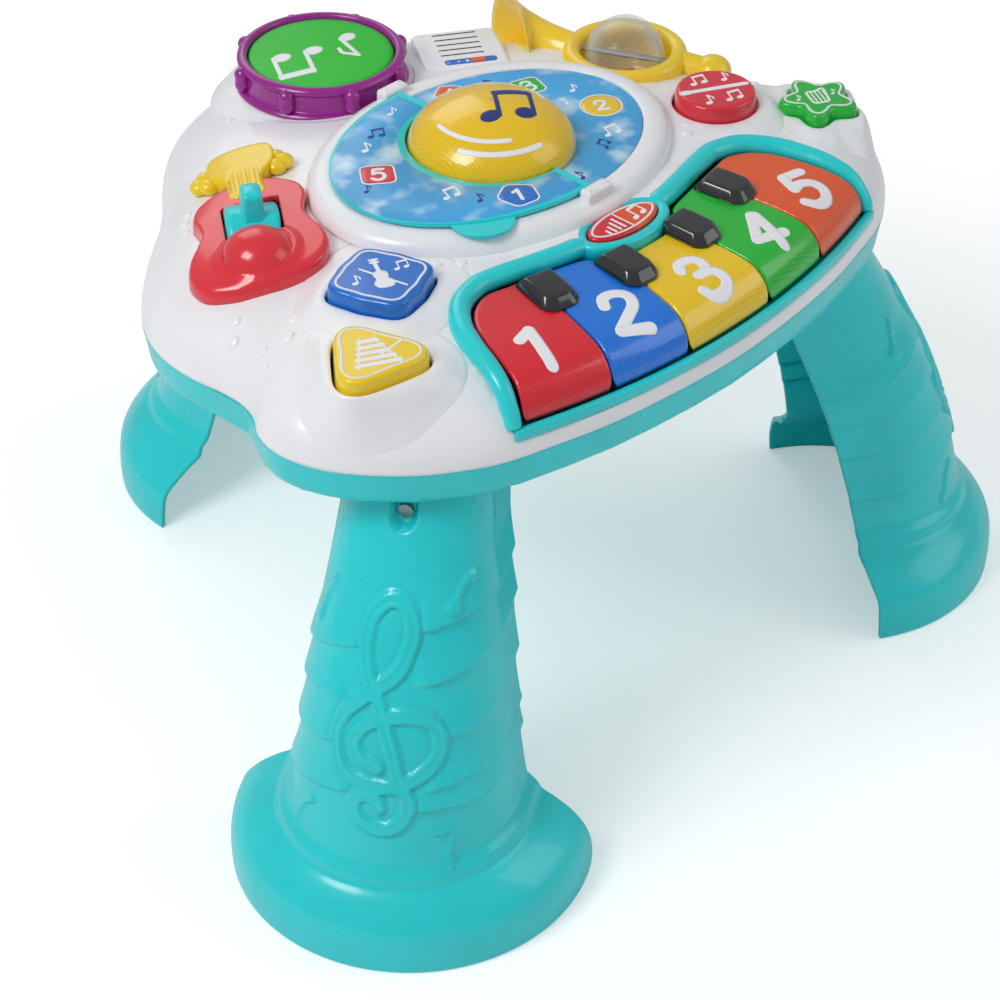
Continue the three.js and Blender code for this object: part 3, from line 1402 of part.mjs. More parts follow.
/** x of a key split at y. */
function splitX([back, front], y) {
  const part = (y - SPLIT_BACK_Y) / (SPLIT_FRONT_Y - SPLIT_BACK_Y);
  return KEY_HALF_WIDTH * (back + part * (front - back));
}

/** Plan cell of a key between two splits; a missing split runs past the field. */
function keyCell(left, right) {
  const backY = SPLIT_BACK_Y + KEY_DEPTH / 2;
  const frontCellY = SPLIT_FRONT_Y - KEY_DEPTH / 2;
  const far = 2 * KEY_HALF_WIDTH;
  const leftX = (y) => (left ? splitX(left, y) + KEY_GAP / 2 : -far);
  const rightX = (y) => (right ? splitX(right, y) - KEY_GAP / 2 : far);
  return [
    new THREE.Vector2(leftX(frontCellY), frontCellY),
    new THREE.Vector2(rightX(frontCellY), frontCellY),
    new THREE.Vector2(rightX(backY), backY),
    new THREE.Vector2(leftX(backY), backY),
  ];
}

const innerField = prism(fieldOutline(-RUN_GAP), WELL_Z, CROWN_Z + OVERRUN);
const postRooms = BLACK_KEY_SHARES.map((shares) => blackKeySolid(shares, RUN_GAP + GAP).post);
const KEY_PAINTS = [RED, BLUE, AMBER, GREEN, ORANGE];

/** Hinge lug under a key: an eye on the axle with an arm up to the key's underside. */
function keyLug(x) {
  const eye = ellipse(LUG_RADIUS, LUG_RADIUS, SMALL_STEPS).map((p) => new THREE.Vector2(
    p.x + KEY_AXLE_Y,
    p.y + KEY_AXLE_Z,
  ));
  const underside = KEY_TOP_Z - KEY_THICKNESS - KEY_FALL / 8;
  const arm = [
    new THREE.Vector2(KEY_AXLE_Y, KEY_AXLE_Z - LUG_RADIUS),
    new THREE.Vector2(KEY_AXLE_Y, KEY_AXLE_Z + LUG_RADIUS),
    new THREE.Vector2(KEY_AXLE_Y - LUG_REACH, underside + KEY_THICKNESS / 2),
    new THREE.Vector2(KEY_AXLE_Y - LUG_REACH - LUG_RADIUS, underside + KEY_THICKNESS / 2),
    new THREE.Vector2(KEY_AXLE_Y - LUG_REACH - LUG_RADIUS, underside - KEY_THICKNESS),
  ];
  const plates = [eye, arm].map((outline) => {
    const geometry = new THREE.ExtrudeGeometry(new THREE.Shape(outline), {
      depth: 2 * LUG_HALF_THICKNESS,
      bevelEnabled: false,
    });
    geometry.translate(0, 0, -LUG_HALF_THICKNESS);
    geometry.rotateX(Math.PI / 2);
    geometry.rotateZ(Math.PI / 2);
    geometry.translate(x, 0, 0);
    return toSolid(geometry);
  });
  const hole = bar(
    KEY_AXLE_RADIUS + GAP,
    -LUG_HALF_THICKNESS - WALL,
    LUG_HALF_THICKNESS + WALL,
    { x, y: KEY_AXLE_Y, z: KEY_AXLE_Z },
    0,
  );
  return cut(join(...plates), hole);
}

const stripTop = WELL_Z + GAP + STRIP_HEIGHT;
for (const [i, x] of LUG_PLACES.entries()) {
  const cell = prism(keyCell(SPLIT_SHARES[i - 1], SPLIT_SHARES[i]), WELL_Z, CROWN_Z + OVERRUN);
  const plunger = placed(
    cylinder(
      PLUNGER_RADIUS,
      stripTop + STRIP_DOME_HEIGHT + PLUNGER_CLEAR,
      KEY_TOP_Z - KEY_THICKNESS,
    ),
    x,
    PLUNGER_Y,
  );
  const key = cut(
    join(keyTops.intersect(innerField).intersect(cell), plunger, keyLug(x)),
    ...postRooms,
  );
  addPart(table, `key_${i + 1}`, key, KEY_PAINTS[i]);
}

const keyAxle = bar(
  KEY_AXLE_RADIUS,
  -KEY_AXLE_HALF_LENGTH,
  KEY_AXLE_HALF_LENGTH,
  { x: 0, y: KEY_AXLE_Y, z: KEY_AXLE_Z },
  0,
);
addPart(table, 'key_axle', keyAxle, STEEL);

const strip = join(
  placed(
    prism(rectangle(STRIP_HALF_LENGTH, STRIP_HALF_DEPTH), WELL_Z + GAP, stripTop),
    0,
    PLUNGER_Y,
  ),
  ...LUG_PLACES.map((x) => placed(
    cylinder(STRIP_DOME_RADIUS, stripTop - STRIP_HEIGHT / 2, stripTop + STRIP_DOME_HEIGHT),
    x,
    PLUNGER_Y,
  )),
);
addPart(table, 'key_contact_strip', strip, GREY);

// Disc, flip page, light board and dome
addPart(
  table,
  'disc_plate',
  prism(ellipse(DISC_RADII.x, DISC_RADII.y, FINE_STEPS), DISC_Z - DISC_THICKNESS, DISC_Z),
  SKY,
);

function flipPageSolid() {
  const low = PAGE_AXIS_Z - PAGE_THICKNESS / 2;
  const high = PAGE_AXIS_Z + PAGE_THICKNESS / 2;
  const sheet = prism(ellipse(PAGE_RADII.x, PAGE_RADII.y, FINE_STEPS), low, high, PAGE_THICKNESS / 4);
  const tab = placed(
    cylinder(TAB_RADIUS, low, high - PAGE_THICKNESS / 3, ROUND_STEPS),
    TAB_PLACE.x,
    TAB_PLACE.y,
  );
  const rightHalf = placed(
    prism(rectangle(PAGE_RADII.x, PAGE_RADII.x), low - OVERRUN, high + OVERRUN),
    PAGE_RADII.x + SPINE_WIDTH / 2,
    0,
  );
  const spine = bar(
    SPINE_RADIUS,
    -PAGE_RADII.y,
    PAGE_RADII.y,
    { x: 0, y: 0, z: PAGE_AXIS_Z },
    Math.PI / 2,
  );
  const domeRoom = cylinder(DOME_RADIUS + RUN_GAP + GAP, low - OVERRUN, high + OVERRUN, FINE_STEPS);
  const pins = bar(
    PIN_RADIUS,
    -PAGE_RADII.y - RUN_GAP - PIN_LENGTH,
    PAGE_RADII.y + RUN_GAP + PIN_LENGTH,
    { x: 0, y: 0, z: PAGE_AXIS_Z },
    Math.PI / 2,
  );
  return cut(join(cut(join(sheet, tab), rightHalf), spine, pins), domeRoom);
}
addPart(table, 'flip_page', flipPageSolid(), TEAL);

const domeSeat = DISC_Z + GAP;
const domeArc = (radius, height, base) => Array.from({ length: ARC_STEPS }, (_, i) => {
  const angle = (Math.PI / 2) * (i / ARC_STEPS);
  return [radius * Math.cos(angle), base + height * Math.sin(angle)];
});
const domeOuter = [
  [0, domeSeat],
  ...domeArc(DOME_RADIUS, DOME_HEIGHT, domeSeat),
  [0, domeSeat + DOME_HEIGHT],
];
const domeInner = [
  [0, domeSeat - OVERRUN],
  [DOME_RADIUS - DOME_WALL, domeSeat - OVERRUN],
  ...domeArc(DOME_RADIUS - DOME_WALL, DOME_HEIGHT - DOME_WALL, domeSeat),
  [0, domeSeat + DOME_HEIGHT - DOME_WALL],
];
addPart(table, 'light_dome', cut(turned(domeOuter, FINE_STEPS), turned(domeInner, FINE_STEPS)), AMBER);

const ledTop = domeSeat + LIGHT_BOARD_THICKNESS + LED_RADIUS;
const lightBoard = join(
  cylinder(LIGHT_RADIUS, domeSeat, domeSeat + LIGHT_BOARD_THICKNESS, ROUND_STEPS),
  ...[0, 1, 2].map((i) => {
    const angle = (2 * Math.PI * i) / 3;
    return placed(
      cylinder(LED_RADIUS, domeSeat + LIGHT_BOARD_THICKNESS / 2, ledTop),
      LED_REACH * Math.cos(angle),
      LED_REACH * Math.sin(angle),
    );
  }),
);
addPart(table, 'light_board', lightBoard, WHITE);

// Drum
const drumBase = DRUM_SEAT_Z + GAP;
const drumBore = DRUM_SKIN_RADIUS + RUN_GAP;
const drumProfile = DRUM_PROFILE_SHARES.map(([radius, height]) => [
  radius * DRUM_RADIUS,
  drumBase + height * DRUM_HEIGHT,
]);
const drumRim = turned(
  [[drumBore, drumBase], ...drumProfile, [drumBore, drumBase + DRUM_HEIGHT], [drumBore, drumBase]],
  FINE_STEPS,
);
const lug = turned([
  [0, drumBase + 0.2 * DRUM_HEIGHT],
  [DRUM_LUG_RADIUS, drumBase + 0.28 * DRUM_HEIGHT],
  [DRUM_LUG_RADIUS, drumBase + 0.74 * DRUM_HEIGHT],
  [0, drumBase + 0.88 * DRUM_HEIGHT],
], HALF_STEPS);
const lugs = Array.from({ length: DRUM_LUGS }, (_, i) => {
  const angle = (Math.PI * (2 * i + 1)) / DRUM_LUGS;
  const reach = DRUM_RADIUS - DRUM_LUG_RADIUS / 4;
  return placed(lug, reach * Math.cos(angle), reach * Math.sin(angle));
});
addPart(table, 'drum_rim', placed(join(drumRim, ...lugs), DRUM_PLACE.x, DRUM_PLACE.y), PURPLE);

const skinTop = drumBase + DRUM_HEIGHT - DRUM_SKIN_DROP;
const drumSkin = join(
  cylinder(DRUM_SKIN_RADIUS, skinTop - DRUM_SKIN_THICKNESS, skinTop, FINE_STEPS),
  cylinder(STEM_RADIUS, drumSkinBottom, skinTop - DRUM_SKIN_THICKNESS / 2),
);
addPart(table, 'drum_skin', placed(drumSkin, DRUM_PLACE.x, DRUM_PLACE.y), GREEN);
addPart(table, 'drum_switch', placed(drumSwitch.solid, DRUM_PLACE.x, DRUM_PLACE.y), BLACK);

// Press buttons and their switches
const BUTTON_PAINTS = { blue_button: BLUE, yellow_button: YELLOW, red_button: RED, star_button: GREEN };
for (const { name, button, under } of buttonEntries) {
  addPart(table, name, buttonSolid(button), BUTTON_PAINTS[name]);
  addPart(table, name.replace('button', 'switch'), placed(under.solid, button.x, button.y), BLACK);
}

// Guitar
const seatCut = crownSolid(SEAM_Z, 0, GAP, CROWN_SHARES);

/** Plan outline on [along, across] shares about the guitar's axis, grown by a margin. */
function guitarOutline(shares, start, length, halfWidth, margin) {
  const half = shares.map(([along, across]) => new THREE.Vector3(
    start + along * length,
    across * halfWidth,
    0,
  ));
  const upper = half.filter((p) => p.y > 0).reverse();
  const lower = half.map((p) => new THREE.Vector3(p.x, -p.y, 0));
  const curve = new THREE.CatmullRomCurve3([...lower, ...upper], true);
  const outline = curve.getSpacedPoints(GUITAR_STEPS).slice(0, GUITAR_STEPS);
  const middle = start + (length * (shares[0][0] + shares[shares.length - 1][0])) / 2;
  return outline.map((p) => {
    const grow = 1 + margin / Math.hypot(p.x - middle, p.y);
    const place = onGuitar(middle + (p.x - middle) * grow, p.y * grow);
    return new THREE.Vector2(place.x, place.y);
  });
}

/** Layer on the crown: a plan outline raised by a height that follows the crown. */
const crownLayer = (outline, rise) => prism(outline, SEAM_Z, CROWN_Z + OVERRUN)
  .intersect(crownSolid(SEAM_Z, 0, rise, CROWN_SHARES));

const bodyOutlineOn = (margin) => guitarOutline(
  GUITAR_SHARES,
  0,
  GUITAR_LENGTH,
  GUITAR_HALF_WIDTH,
  margin,
);
const bumpPlace = onGuitar(BUMP_ALONG);
const bumpArc = Array.from({ length: HALF_STEPS }, (_, i) => {
  const angle = (Math.PI / 2) * (i / HALF_STEPS);
  return [BUMP_RADIUS * Math.cos(angle), BUMP_RISE * Math.sin(angle)];
});
const bump = turned([[0, -BUMP_RISE], [BUMP_RADIUS, -BUMP_RISE], ...bumpArc, [0, BUMP_RISE]])
  .translate([
    bumpPlace.x,
    bumpPlace.y,
    crownHeight(bumpPlace.x, bumpPlace.y) + GUITAR_RISE - BUMP_RISE / 5,
  ]);
const guitarBody = cut(
  join(crownLayer(bodyOutlineOn(0), GUITAR_RISE), bump),
  seatCut,
  leverRoom(),
);
addPart(table, 'guitar_body', guitarBody, RED);

const headOutline = guitarOutline(HEAD_SHARES, HEAD_START, HEAD_LENGTH, HEAD_HALF_WIDTH, 0);
const pegs = [1, -1].map((side) => {
  const place = onGuitar(HEAD_START + PEG_ALONG, side * PEG_REACH);
  const outline = ellipse(PEG_RADIUS, PEG_RADIUS, SMALL_STEPS)
    .map((p) => new THREE.Vector2(p.x + place.x, p.y + place.y));
  return crownLayer(outline, HEAD_RISE - GAP);
});
const guitarHead = cut(
  join(crownLayer(headOutline, HEAD_RISE), ...pegs),
  prism(bodyOutlineOn(GAP), SEAM_Z, CROWN_Z + OVERRUN),
  seatCut,
  leverRoom(),
);
addPart(table, 'guitar_head', guitarHead, YELLOW);

const barrel = bar(LEVER_RADIUS, -LEVER_HALF_WIDTH, LEVER_HALF_WIDTH, leverAxis, leverAcross, ROUND_STEPS);
const fin = placed(
  prism(
    rectangle(FIN_LENGTH / 2, FIN_WIDTH / 2),
    LEVER_AXIS_Z,
    LEVER_AXIS_Z + LEVER_RADIUS + FIN_HEIGHT,
    FIN_WIDTH / 4,
  ),
  leverPlace.x,
  leverPlace.y,
  0,
  GUITAR_TURN,
);
const leverBore = bar(
  LEVER_AXLE_RADIUS + GAP,
  -LEVER_HALF_WIDTH - WALL,
  LEVER_HALF_WIDTH + WALL,
  leverAxis,
  leverAcross,
);
addPart(table, 'strum_lever', cut(join(barrel, fin), leverBore), TEAL);
const leverAxle = bar(
  LEVER_AXLE_RADIUS,
  -LEVER_HALF_WIDTH - EAR_THICKNESS,
  LEVER_HALF_WIDTH + EAR_THICKNESS,
  leverAxis,
  leverAcross,
);
addPart(table, 'strum_axle', leverAxle, STEEL);

// Trumpet with its bowl, and the rattle ball
function hornSolid(sections, inset) {
  const base = crownHeight(RING_PLACE.x, RING_PLACE.y) - HORN_DROP;
  const rings = sections.map(([xShare, yShare, half, rise, turn]) => {
    const { x, y } = onPlayTop([xShare, yShare]);
    const angle = 2 * Math.PI * turn;
    return ellipse(
      half * HORN_HALF_WIDTH - inset,
      rise * HORN_RISE - inset,
      ROUND_STEPS,
    ).map((p) => new THREE.Vector3(
      x + p.x * Math.cos(angle),
      y + p.x * Math.sin(angle),
      base + p.y,
    ));
  });
  return toSolid(loft(rings, ellipse(1, 1, ROUND_STEPS)));
}

const ringZ = crownHeight(RING_PLACE.x, RING_PLACE.y);
const ringTop = ringZ + RING_RISE;
const bowlBottom = ballHeight - BALL_RADIUS - RUN_GAP - BOWL_WALL;
const ringBody = turned([
  [0, bowlBottom],
  [BOWL_RADIUS + BOWL_WALL, bowlBottom],
  [BOWL_RADIUS + BOWL_WALL, ringZ - RING_RISE * 1.4],
  [RING_RADIUS, ringZ - RING_RISE * 1.4],
  [RING_RADIUS, ringTop - RING_RISE * 0.55],
  [RING_RADIUS - RING_RISE * 0.2, ringTop - RING_RISE * 0.15],
  [(RING_RADIUS + BOWL_RADIUS) / 2, ringTop],
  [BOWL_RADIUS + RING_RISE * 0.15, ringTop - RING_RISE * 0.15],
  [BOWL_RADIUS, ringTop - RING_RISE * 0.5],
  [0, ringTop - RING_RISE * 0.5],
], ROUND_STEPS)
  .translate([RING_PLACE.x, RING_PLACE.y, 0]);
const bowlRoomInside = turned([
  [0, bowlBottom + BOWL_WALL],
  [BOWL_RADIUS * 0.55, bowlBottom + BOWL_WALL],
  [BOWL_RADIUS, bowlBottom + BOWL_WALL + BOWL_RADIUS * 0.55],
  [BOWL_RADIUS, ringTop + OVERRUN],
  [0, ringTop + OVERRUN],
], ROUND_STEPS).translate([RING_PLACE.x, RING_PLACE.y, 0]);
const ballAngle = Math.atan2(BALL_AXIS.y, BALL_AXIS.x);
const ballMiddle = { x: RING_PLACE.x, y: RING_PLACE.y, z: ballHeight };
const mouthZ = crownHeight(MOUTH_PLACE.x, MOUTH_PLACE.y) + MOUTH_TUBE_RADIUS / 2;
const mouthReach = Math.hypot(MOUTH_PLACE.x - RING_PLACE.x, MOUTH_PLACE.y - RING_PLACE.y);
const mouthAngle = Math.atan2(MOUTH_PLACE.y - RING_PLACE.y, MOUTH_PLACE.x - RING_PLACE.x);
const mouthStart = { x: RING_PLACE.x, y: RING_PLACE.y, z: mouthZ };
const mouthTube = bar(
  MOUTH_TUBE_RADIUS,
  BOWL_RADIUS + WALL,
  mouthReach,
  mouthStart,
  mouthAngle,
  ROUND_STEPS,
);
const mouthKnob = toSolid(new THREE.SphereGeometry(MOUTH_RADIUS, SMALL_STEPS, HALF_STEPS))
  .translate([MOUTH_PLACE.x, MOUTH_PLACE.y, mouthZ]);
const crownBelow = crownSolid(SEAM_Z - OVERRUN, 0, GAP, CROWN_SHARES)
  .subtract(placed(
    cylinder(BOWL_RADIUS + BOWL_WALL + GAP / 2, SEAM_Z - OVERRUN, CROWN_Z + OVERRUN, FINE_STEPS),
    RING_PLACE.x,
    RING_PLACE.y,
  ));
const ballPinHole = bar(
  BALL_PIN_RADIUS + GAP,
  -BOWL_RADIUS - WALL - GAP,
  BOWL_RADIUS + WALL + GAP,
  ballMiddle,
  ballAngle,
);
const redClear = placed(
  prism(buttonOutline(BUTTONS.red_button, RUN_GAP + COLLAR_WIDTH + GAP), SEAM_Z, CROWN_Z + OVERRUN),
  BUTTONS.red_button.x,
  BUTTONS.red_button.y,
);
const trumpet = largest(cut(
  join(ringBody, hornSolid(HORN_SHARES, 0), mouthTube, mouthKnob),
  crownBelow,
  hornSolid(HORN_SHARES.slice(0, HORN_MOUTH_STEPS), HORN_WALL),
  bowlRoomInside,
  ballPinHole,
  redClear,
  bezelSolid(GAP),
));
addPart(table, 'trumpet_body', trumpet, YELLOW);

const ballShell = toSolid(new THREE.SphereGeometry(BALL_RADIUS, ROUND_STEPS, HALF_STEPS))
  .subtract(toSolid(new THREE.SphereGeometry(BALL_RADIUS - BALL_WALL, ROUND_STEPS, HALF_STEPS)))
  .subtract(bar(
    BALL_PIN_RADIUS + GAP,
    -BALL_RADIUS - WALL,
    BALL_RADIUS + WALL,
    { x: 0, y: 0, z: 0 },
    Math.PI,
  ));
for (const [side, name] of [[1, 'ball_back'], [-1, 'ball_front']]) {
  const other = prism(rectangle(OVERRUN, OVERRUN), -OVERRUN, OVERRUN)
    .translate([0, side * (GAP / 2 - OVERRUN), 0]);
  const half = ballShell.subtract(other);
  addPart(table, name, placed(half, ballMiddle.x, ballMiddle.y, ballMiddle.z, ballAngle), CLEAR);
}
const ballAxle = bar(
  BALL_PIN_RADIUS,
  -BOWL_RADIUS - WALL,
  BOWL_RADIUS + WALL,
  ballMiddle,
  ballAngle,
);
addPart(table, 'ball_axle', ballAxle, WHITE);
const ballRoom = (BALL_RADIUS - BALL_WALL) * Math.cos(Math.PI / ROUND_STEPS) ** 2;
for (let i = 0; i < 3; i += 1) {
  const angle = (2 * Math.PI * i) / 3;
  const reach = (BEAD_RADIUS + GAP) / Math.cos(Math.PI / 6);
  const drop = Math.sqrt((ballRoom - BEAD_RADIUS - GAP) ** 2 - reach ** 2);
  const bead = toSolid(new THREE.SphereGeometry(BEAD_RADIUS, HALF_STEPS, HALF_STEPS)).translate([
    ballMiddle.x + reach * Math.cos(angle),
    ballMiddle.y + reach * Math.sin(angle),
    ballMiddle.z - drop,
  ]);
  addPart(table, `rattle_bead_${i + 1}`, bead, [RED, BLUE, GREEN][i]);
}

// Power switch knob and speaker
const knobSeat = crownHeight(SWITCH_PLACE.x, SWITCH_PLACE.y);
const knob = placed(
  join(
    prism(rectangle(KNOB_HALF.x, KNOB_HALF.y), knobSeat - KNOB_DEPTH, knobSeat + KNOB_PROUD),
    prism(
      rectangle(KNOB_HALF.x, KNOB_HALF.y * 2),
      knobSeat - KNOB_DEPTH,
      knobSeat - KNOB_DEPTH * 0.65,
    ),
  ),
  SWITCH_PLACE.x,
  SWITCH_PLACE.y,
  0,
  HOUSING_TURN,
);
addPart(table, 'power_switch', knob, TEAL);

const speaker = turned([
  [0, speakerTop - GAP - SPEAKER_HEIGHT],
  [SPEAKER_RADIUS * 0.5, speakerTop - GAP - SPEAKER_HEIGHT],
  [SPEAKER_RADIUS * 0.5, speakerTop - GAP - SPEAKER_HEIGHT * 0.6],
  [SPEAKER_RADIUS, speakerTop - GAP - SPEAKER_HEIGHT * 0.15],
  [SPEAKER_RADIUS, speakerTop - GAP],
  [SPEAKER_RADIUS * 0.8, speakerTop - GAP],
  [SPEAKER_RADIUS * 0.4, speakerTop - GAP - SPEAKER_HEIGHT * 0.3],
  [0, speakerTop - GAP - SPEAKER_HEIGHT * 0.3],
], ROUND_STEPS).translate([SPEAKER_PLACE.x, SPEAKER_PLACE.y, 0]);
addPart(table, 'speaker', speaker, GREY);

// The table stands so that its plan is centred on the origin
const span = new THREE.Box3().setFromObject(table, true);
table.position.y = -(span.min.y + span.max.y) / 2;

export default activityTable;
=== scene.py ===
"""Musical activity table: smooth moulded pieces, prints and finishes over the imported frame."""

import math

import bpy
import numpy as np
from mathutils import Matrix, Vector


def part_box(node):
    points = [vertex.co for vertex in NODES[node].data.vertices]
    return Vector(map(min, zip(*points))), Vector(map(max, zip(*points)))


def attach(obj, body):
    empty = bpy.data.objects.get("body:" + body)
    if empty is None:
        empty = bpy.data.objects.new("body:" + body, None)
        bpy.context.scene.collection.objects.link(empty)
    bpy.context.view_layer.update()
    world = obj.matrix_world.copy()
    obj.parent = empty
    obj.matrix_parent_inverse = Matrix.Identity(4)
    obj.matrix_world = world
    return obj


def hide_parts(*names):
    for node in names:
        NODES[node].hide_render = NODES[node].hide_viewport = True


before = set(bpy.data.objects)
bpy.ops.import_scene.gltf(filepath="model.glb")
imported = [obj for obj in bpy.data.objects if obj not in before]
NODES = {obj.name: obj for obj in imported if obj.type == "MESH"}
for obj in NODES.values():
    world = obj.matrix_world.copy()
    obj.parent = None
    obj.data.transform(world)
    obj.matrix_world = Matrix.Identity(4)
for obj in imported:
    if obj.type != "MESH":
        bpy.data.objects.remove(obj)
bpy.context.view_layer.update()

bl_info = {
    "name": "Musical activity table",
    "version": (1, 0, 0),
    "blender": (4, 5, 0),
    "location": "View3D > Sidebar > Activity table",
    "description": "Builds the moulded pieces, prints and finishes of a musical activity table",
    "category": "Object",
}

MM = 0.001
TAU = 2 * math.pi

# Steps to a millimetre at which two points count as one
MERGE_STEPS = 2000


def middle(node):
    """Middle of a frame node's box, in millimetres."""
    low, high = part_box(node)
    return (np.array(low) + np.array(high)) / 2 / MM


def top_of(node):
    """Height of a frame node's highest point, in millimetres."""
    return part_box(node)[1][2] / MM


def low_of(node):
    """Height of a frame node's lowest point, in millimetres."""
    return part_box(node)[0][2] / MM


# The disc's middle is the middle of the play top; pieces are worked out about it
SHIFT_Y = middle("disc_plate")[1]

# Heights that the frame gives, in millimetres
SEAM = low_of("top_shell")
BAND_BOTTOM = top_of("leg_back") + 0.3
CROWN = top_of("piano_frame")
DISC = top_of("disc_plate")
PAGE_AXIS = (low_of("flip_page") + top_of("flip_page")) / 2
SEAT = low_of("drum_rim")

# Outline of the play top, half of it from the front middle to the back middle, as shares of
# the half width and of the reach to the front or the back
HALF_WIDTH, FRONT_REACH, BACK_REACH, CROWN_RISE = 217.0, 173.0, 198.0, 46.0
OUTLINE = [
    (0, -1), (0.207, -0.985), (0.396, -0.954), (0.544, -0.91), (0.682, -0.858),
    (0.783, -0.786), (0.853, -0.717), (0.912, -0.636), (0.963, -0.543), (0.993, -0.445),
    (1, -0.358), (0.984, -0.277), (0.949, -0.208), (0.931, -0.139), (0.931, -0.046),
    (0.94, 0.05), (0.94, 0.141), (0.922, 0.232), (0.885, 0.318), (0.829, 0.399),
    (0.76, 0.475), (0.691, 0.54), (0.627, 0.596), (0.576, 0.646), (0.525, 0.702),
    (0.475, 0.768), (0.41, 0.843), (0.327, 0.914), (0.226, 0.967), (0.115, 0.995), (0, 1),
]

# Key field and the bar round it, as shares of the keys' half width and front reach
KEY_WIDTH, KEY_REACH, KEY_SAG = 132.7, 168.5, 20.0
FIELD = [
    (1, -0.881), (0.968, -0.819), (0.942, -0.748), (0.908, -0.665), (0.867, -0.588),
    (0.799, -0.528), (0.701, -0.496), (0.6, -0.51), (0.4, -0.543), (0.25, -0.576),
    (0.21, -0.62), (0.11, -0.648), (0, -0.652),
]
BAR = [
    (0, -0.552, 0), (0.25, -0.53, 0), (0.4, -0.505, 0), (0.6, -0.465, 0.01),
    (0.69, -0.457, 0.02), (0.81, -0.487, 0.05), (0.9, -0.56, 0.1), (0.953, -0.65, 0.15),
    (0.986, -0.735, 0.22), (1.012, -0.806, 0.4), (1.03, -0.855, 0.78), (1.036, -0.874, 1.08),
]
KEY_TOP, KEY_FALL, KEY_DEPTH = CROWN - 4.0, 26.5, 90.0
KEY_PROFILE = [
    (0, 1), (0.013, 0.79), (0.039, 0.585), (0.078, 0.415), (0.133, 0.29), (0.222, 0.204),
    (0.444, 0.113), (1, 0),
]

# Tones of the keys from left to right, and where the splits between them cross SPLIT_Y
KEY_TONES = ("red", "blue", "amber", "green", "orange")
KEY_SPLITS = [(21, 31), (66, 82)]
SPLIT_Y = (-88.0, -165.0)

# Rounding of a key's edge as inset and drop, the rings that fill its top as shares, and of the
# black keys the rise, the fall to the front and the side as shares and drops
KEY_EDGE = [(0, 3.2), (0, 1.6), (-0.25, 0.8), (-0.7, 0.25), (-1.4, 0.0)]
KEY_RINGS = (0.92, 0.9, 0.87, 0.84, 0.8, 0.75, 0.69, 0.62, 0.54, 0.45, 0.35, 0.24, 0.13, 0.03)
BLACK_RISE, BLACK_FALL = 4.6, 0.07
BLACK_EDGE = [(1, 5.6), (0.99, 5.0), (0.955, 4.2), (0.79, 1.1), (0.75, 0.45), (0.7, 0.1), (0.64, 0)]

# Black keys: place, turn, half width and half length
BLACK_KEYS = [
    (-68.5, -105.5, -11, 11.2, 14.8), (-24.3, -118.5, -5, 11, 15),
    (24.3, -118.5, 5, 11, 15), (68.5, -105.5, 11, 11.2, 14.8),
]

# Press buttons: place, rise over the crown, radius, lobes, their depth and their turn
BUTTONS = {
    "blue_button": (-128, -47.5, 10, 25.8, 4, 0.08, 65),
    "yellow_button": (-170, -85, 13, 23.4, 3, 0.17, 79),
    "red_button": (128, -47, 10.5, 23.2, 0, 0, 0),
    "star_button": (171.7, -84, 13, 20, 5, 0.17, 2),
}

# Finish of each button, how far in its white band lies, and the size of its picture
BUTTON_LOOKS = {
    "blue_button": ("button_blue", 4.6, 27),
    "yellow_button": ("button_yellow", 4.2, 26),
    "red_button": ("button_red", 3.4, 27),
    "star_button": ("button_green", 3.9, 20),
}

# Leg stations: height share, arc centre share, arc radius share, straight side share
LEG_HEIGHT, LEG_LEAN, FOOT_RADIUS, LEG_DEPTH = 236.2, 38.6, 97.1, 35.4
LEG_PLACES = {
    "leg_front_left": (-176.2, -111.4, 211.3),
    "leg_front_right": (176.2, -111.4, -31.3),
    "leg_back": (0, 189, 90),
}
LEG_STATIONS = [
    (0, 0.073, 1, 0.079), (0.051, 0.083, 0.999, 0.113), (0.102, 0.13, 0.968, 0.17),
    (0.14, 0.207, 0.886, 0.31), (0.169, 0.311, 0.783, 0.466), (0.186, 0.389, 0.7, 0.579),
    (0.207, 0.415, 0.68, 0.593), (0.224, 0.44, 0.639, 0.636), (0.246, 0.453, 0.614, 0.664),
    (0.381, 0.391, 0.555, 0.802), (0.508, 0.212, 0.52, 0.859), (0.635, -0.031, 0.486, 0.893),
    (0.762, -0.332, 0.44, 0.915), (0.881, -0.676, 0.406, 0.949), (1, -1, 0.377, 1),
]

# Places of the toys on the play top: rattle ball, its turn, wall and beads, drum, sound housing,
# guitar, its lever and its pegs
BALL = (137.99, 28.0)
BALL_TURN = -1.1341691669813554
BALL_WALL, BEAD_RADIUS = 1.6, 4
DRUM_Y = 131.0
HOUSING = (76.0, 98.0, -33.0)
GUITAR = (-145.0, 24.5, 54.0)
LEVER_ALONG = 23.0
DOME_RADIUS, DOME_TURN = 44.8, -38.0
GUITAR_BODY = [
    (-0.32, 0), (-0.31, 0.4), (-0.24, 0.8), (-0.1, 0.99), (0.03, 0.97), (0.14, 0.84),
    (0.24, 0.75), (0.34, 0.78), (0.44, 0.83), (0.55, 0.74), (0.63, 0.5), (0.67, 0.25), (0.68, 0),
]
GUITAR_HEAD = [
    (0, 0), (0.002, 0.5), (0.35, 0.55), (0.5, 0.8), (0.62, 0.97), (0.85, 1), (0.97, 0.75), (1, 0),
]
PEG_BALLS = [(75.5, 18.0, 5.4), (84.5, 19.0, 5.2), (79.5, 22.6, 5.4)]

# Horn stations: place, half width, rise and turn of each half oval, and the height of its base
HORN_BASE = 280.5
HORN = [
    (117, 97, 31, 36, 64), (119.5, 95.5, 28, 33, 62), (122, 88, 20.5, 27, 48),
    (125, 77, 15, 23, 32), (129, 63, 12.5, 20.5, 18), (133, 47, 12, 20, 16),
]

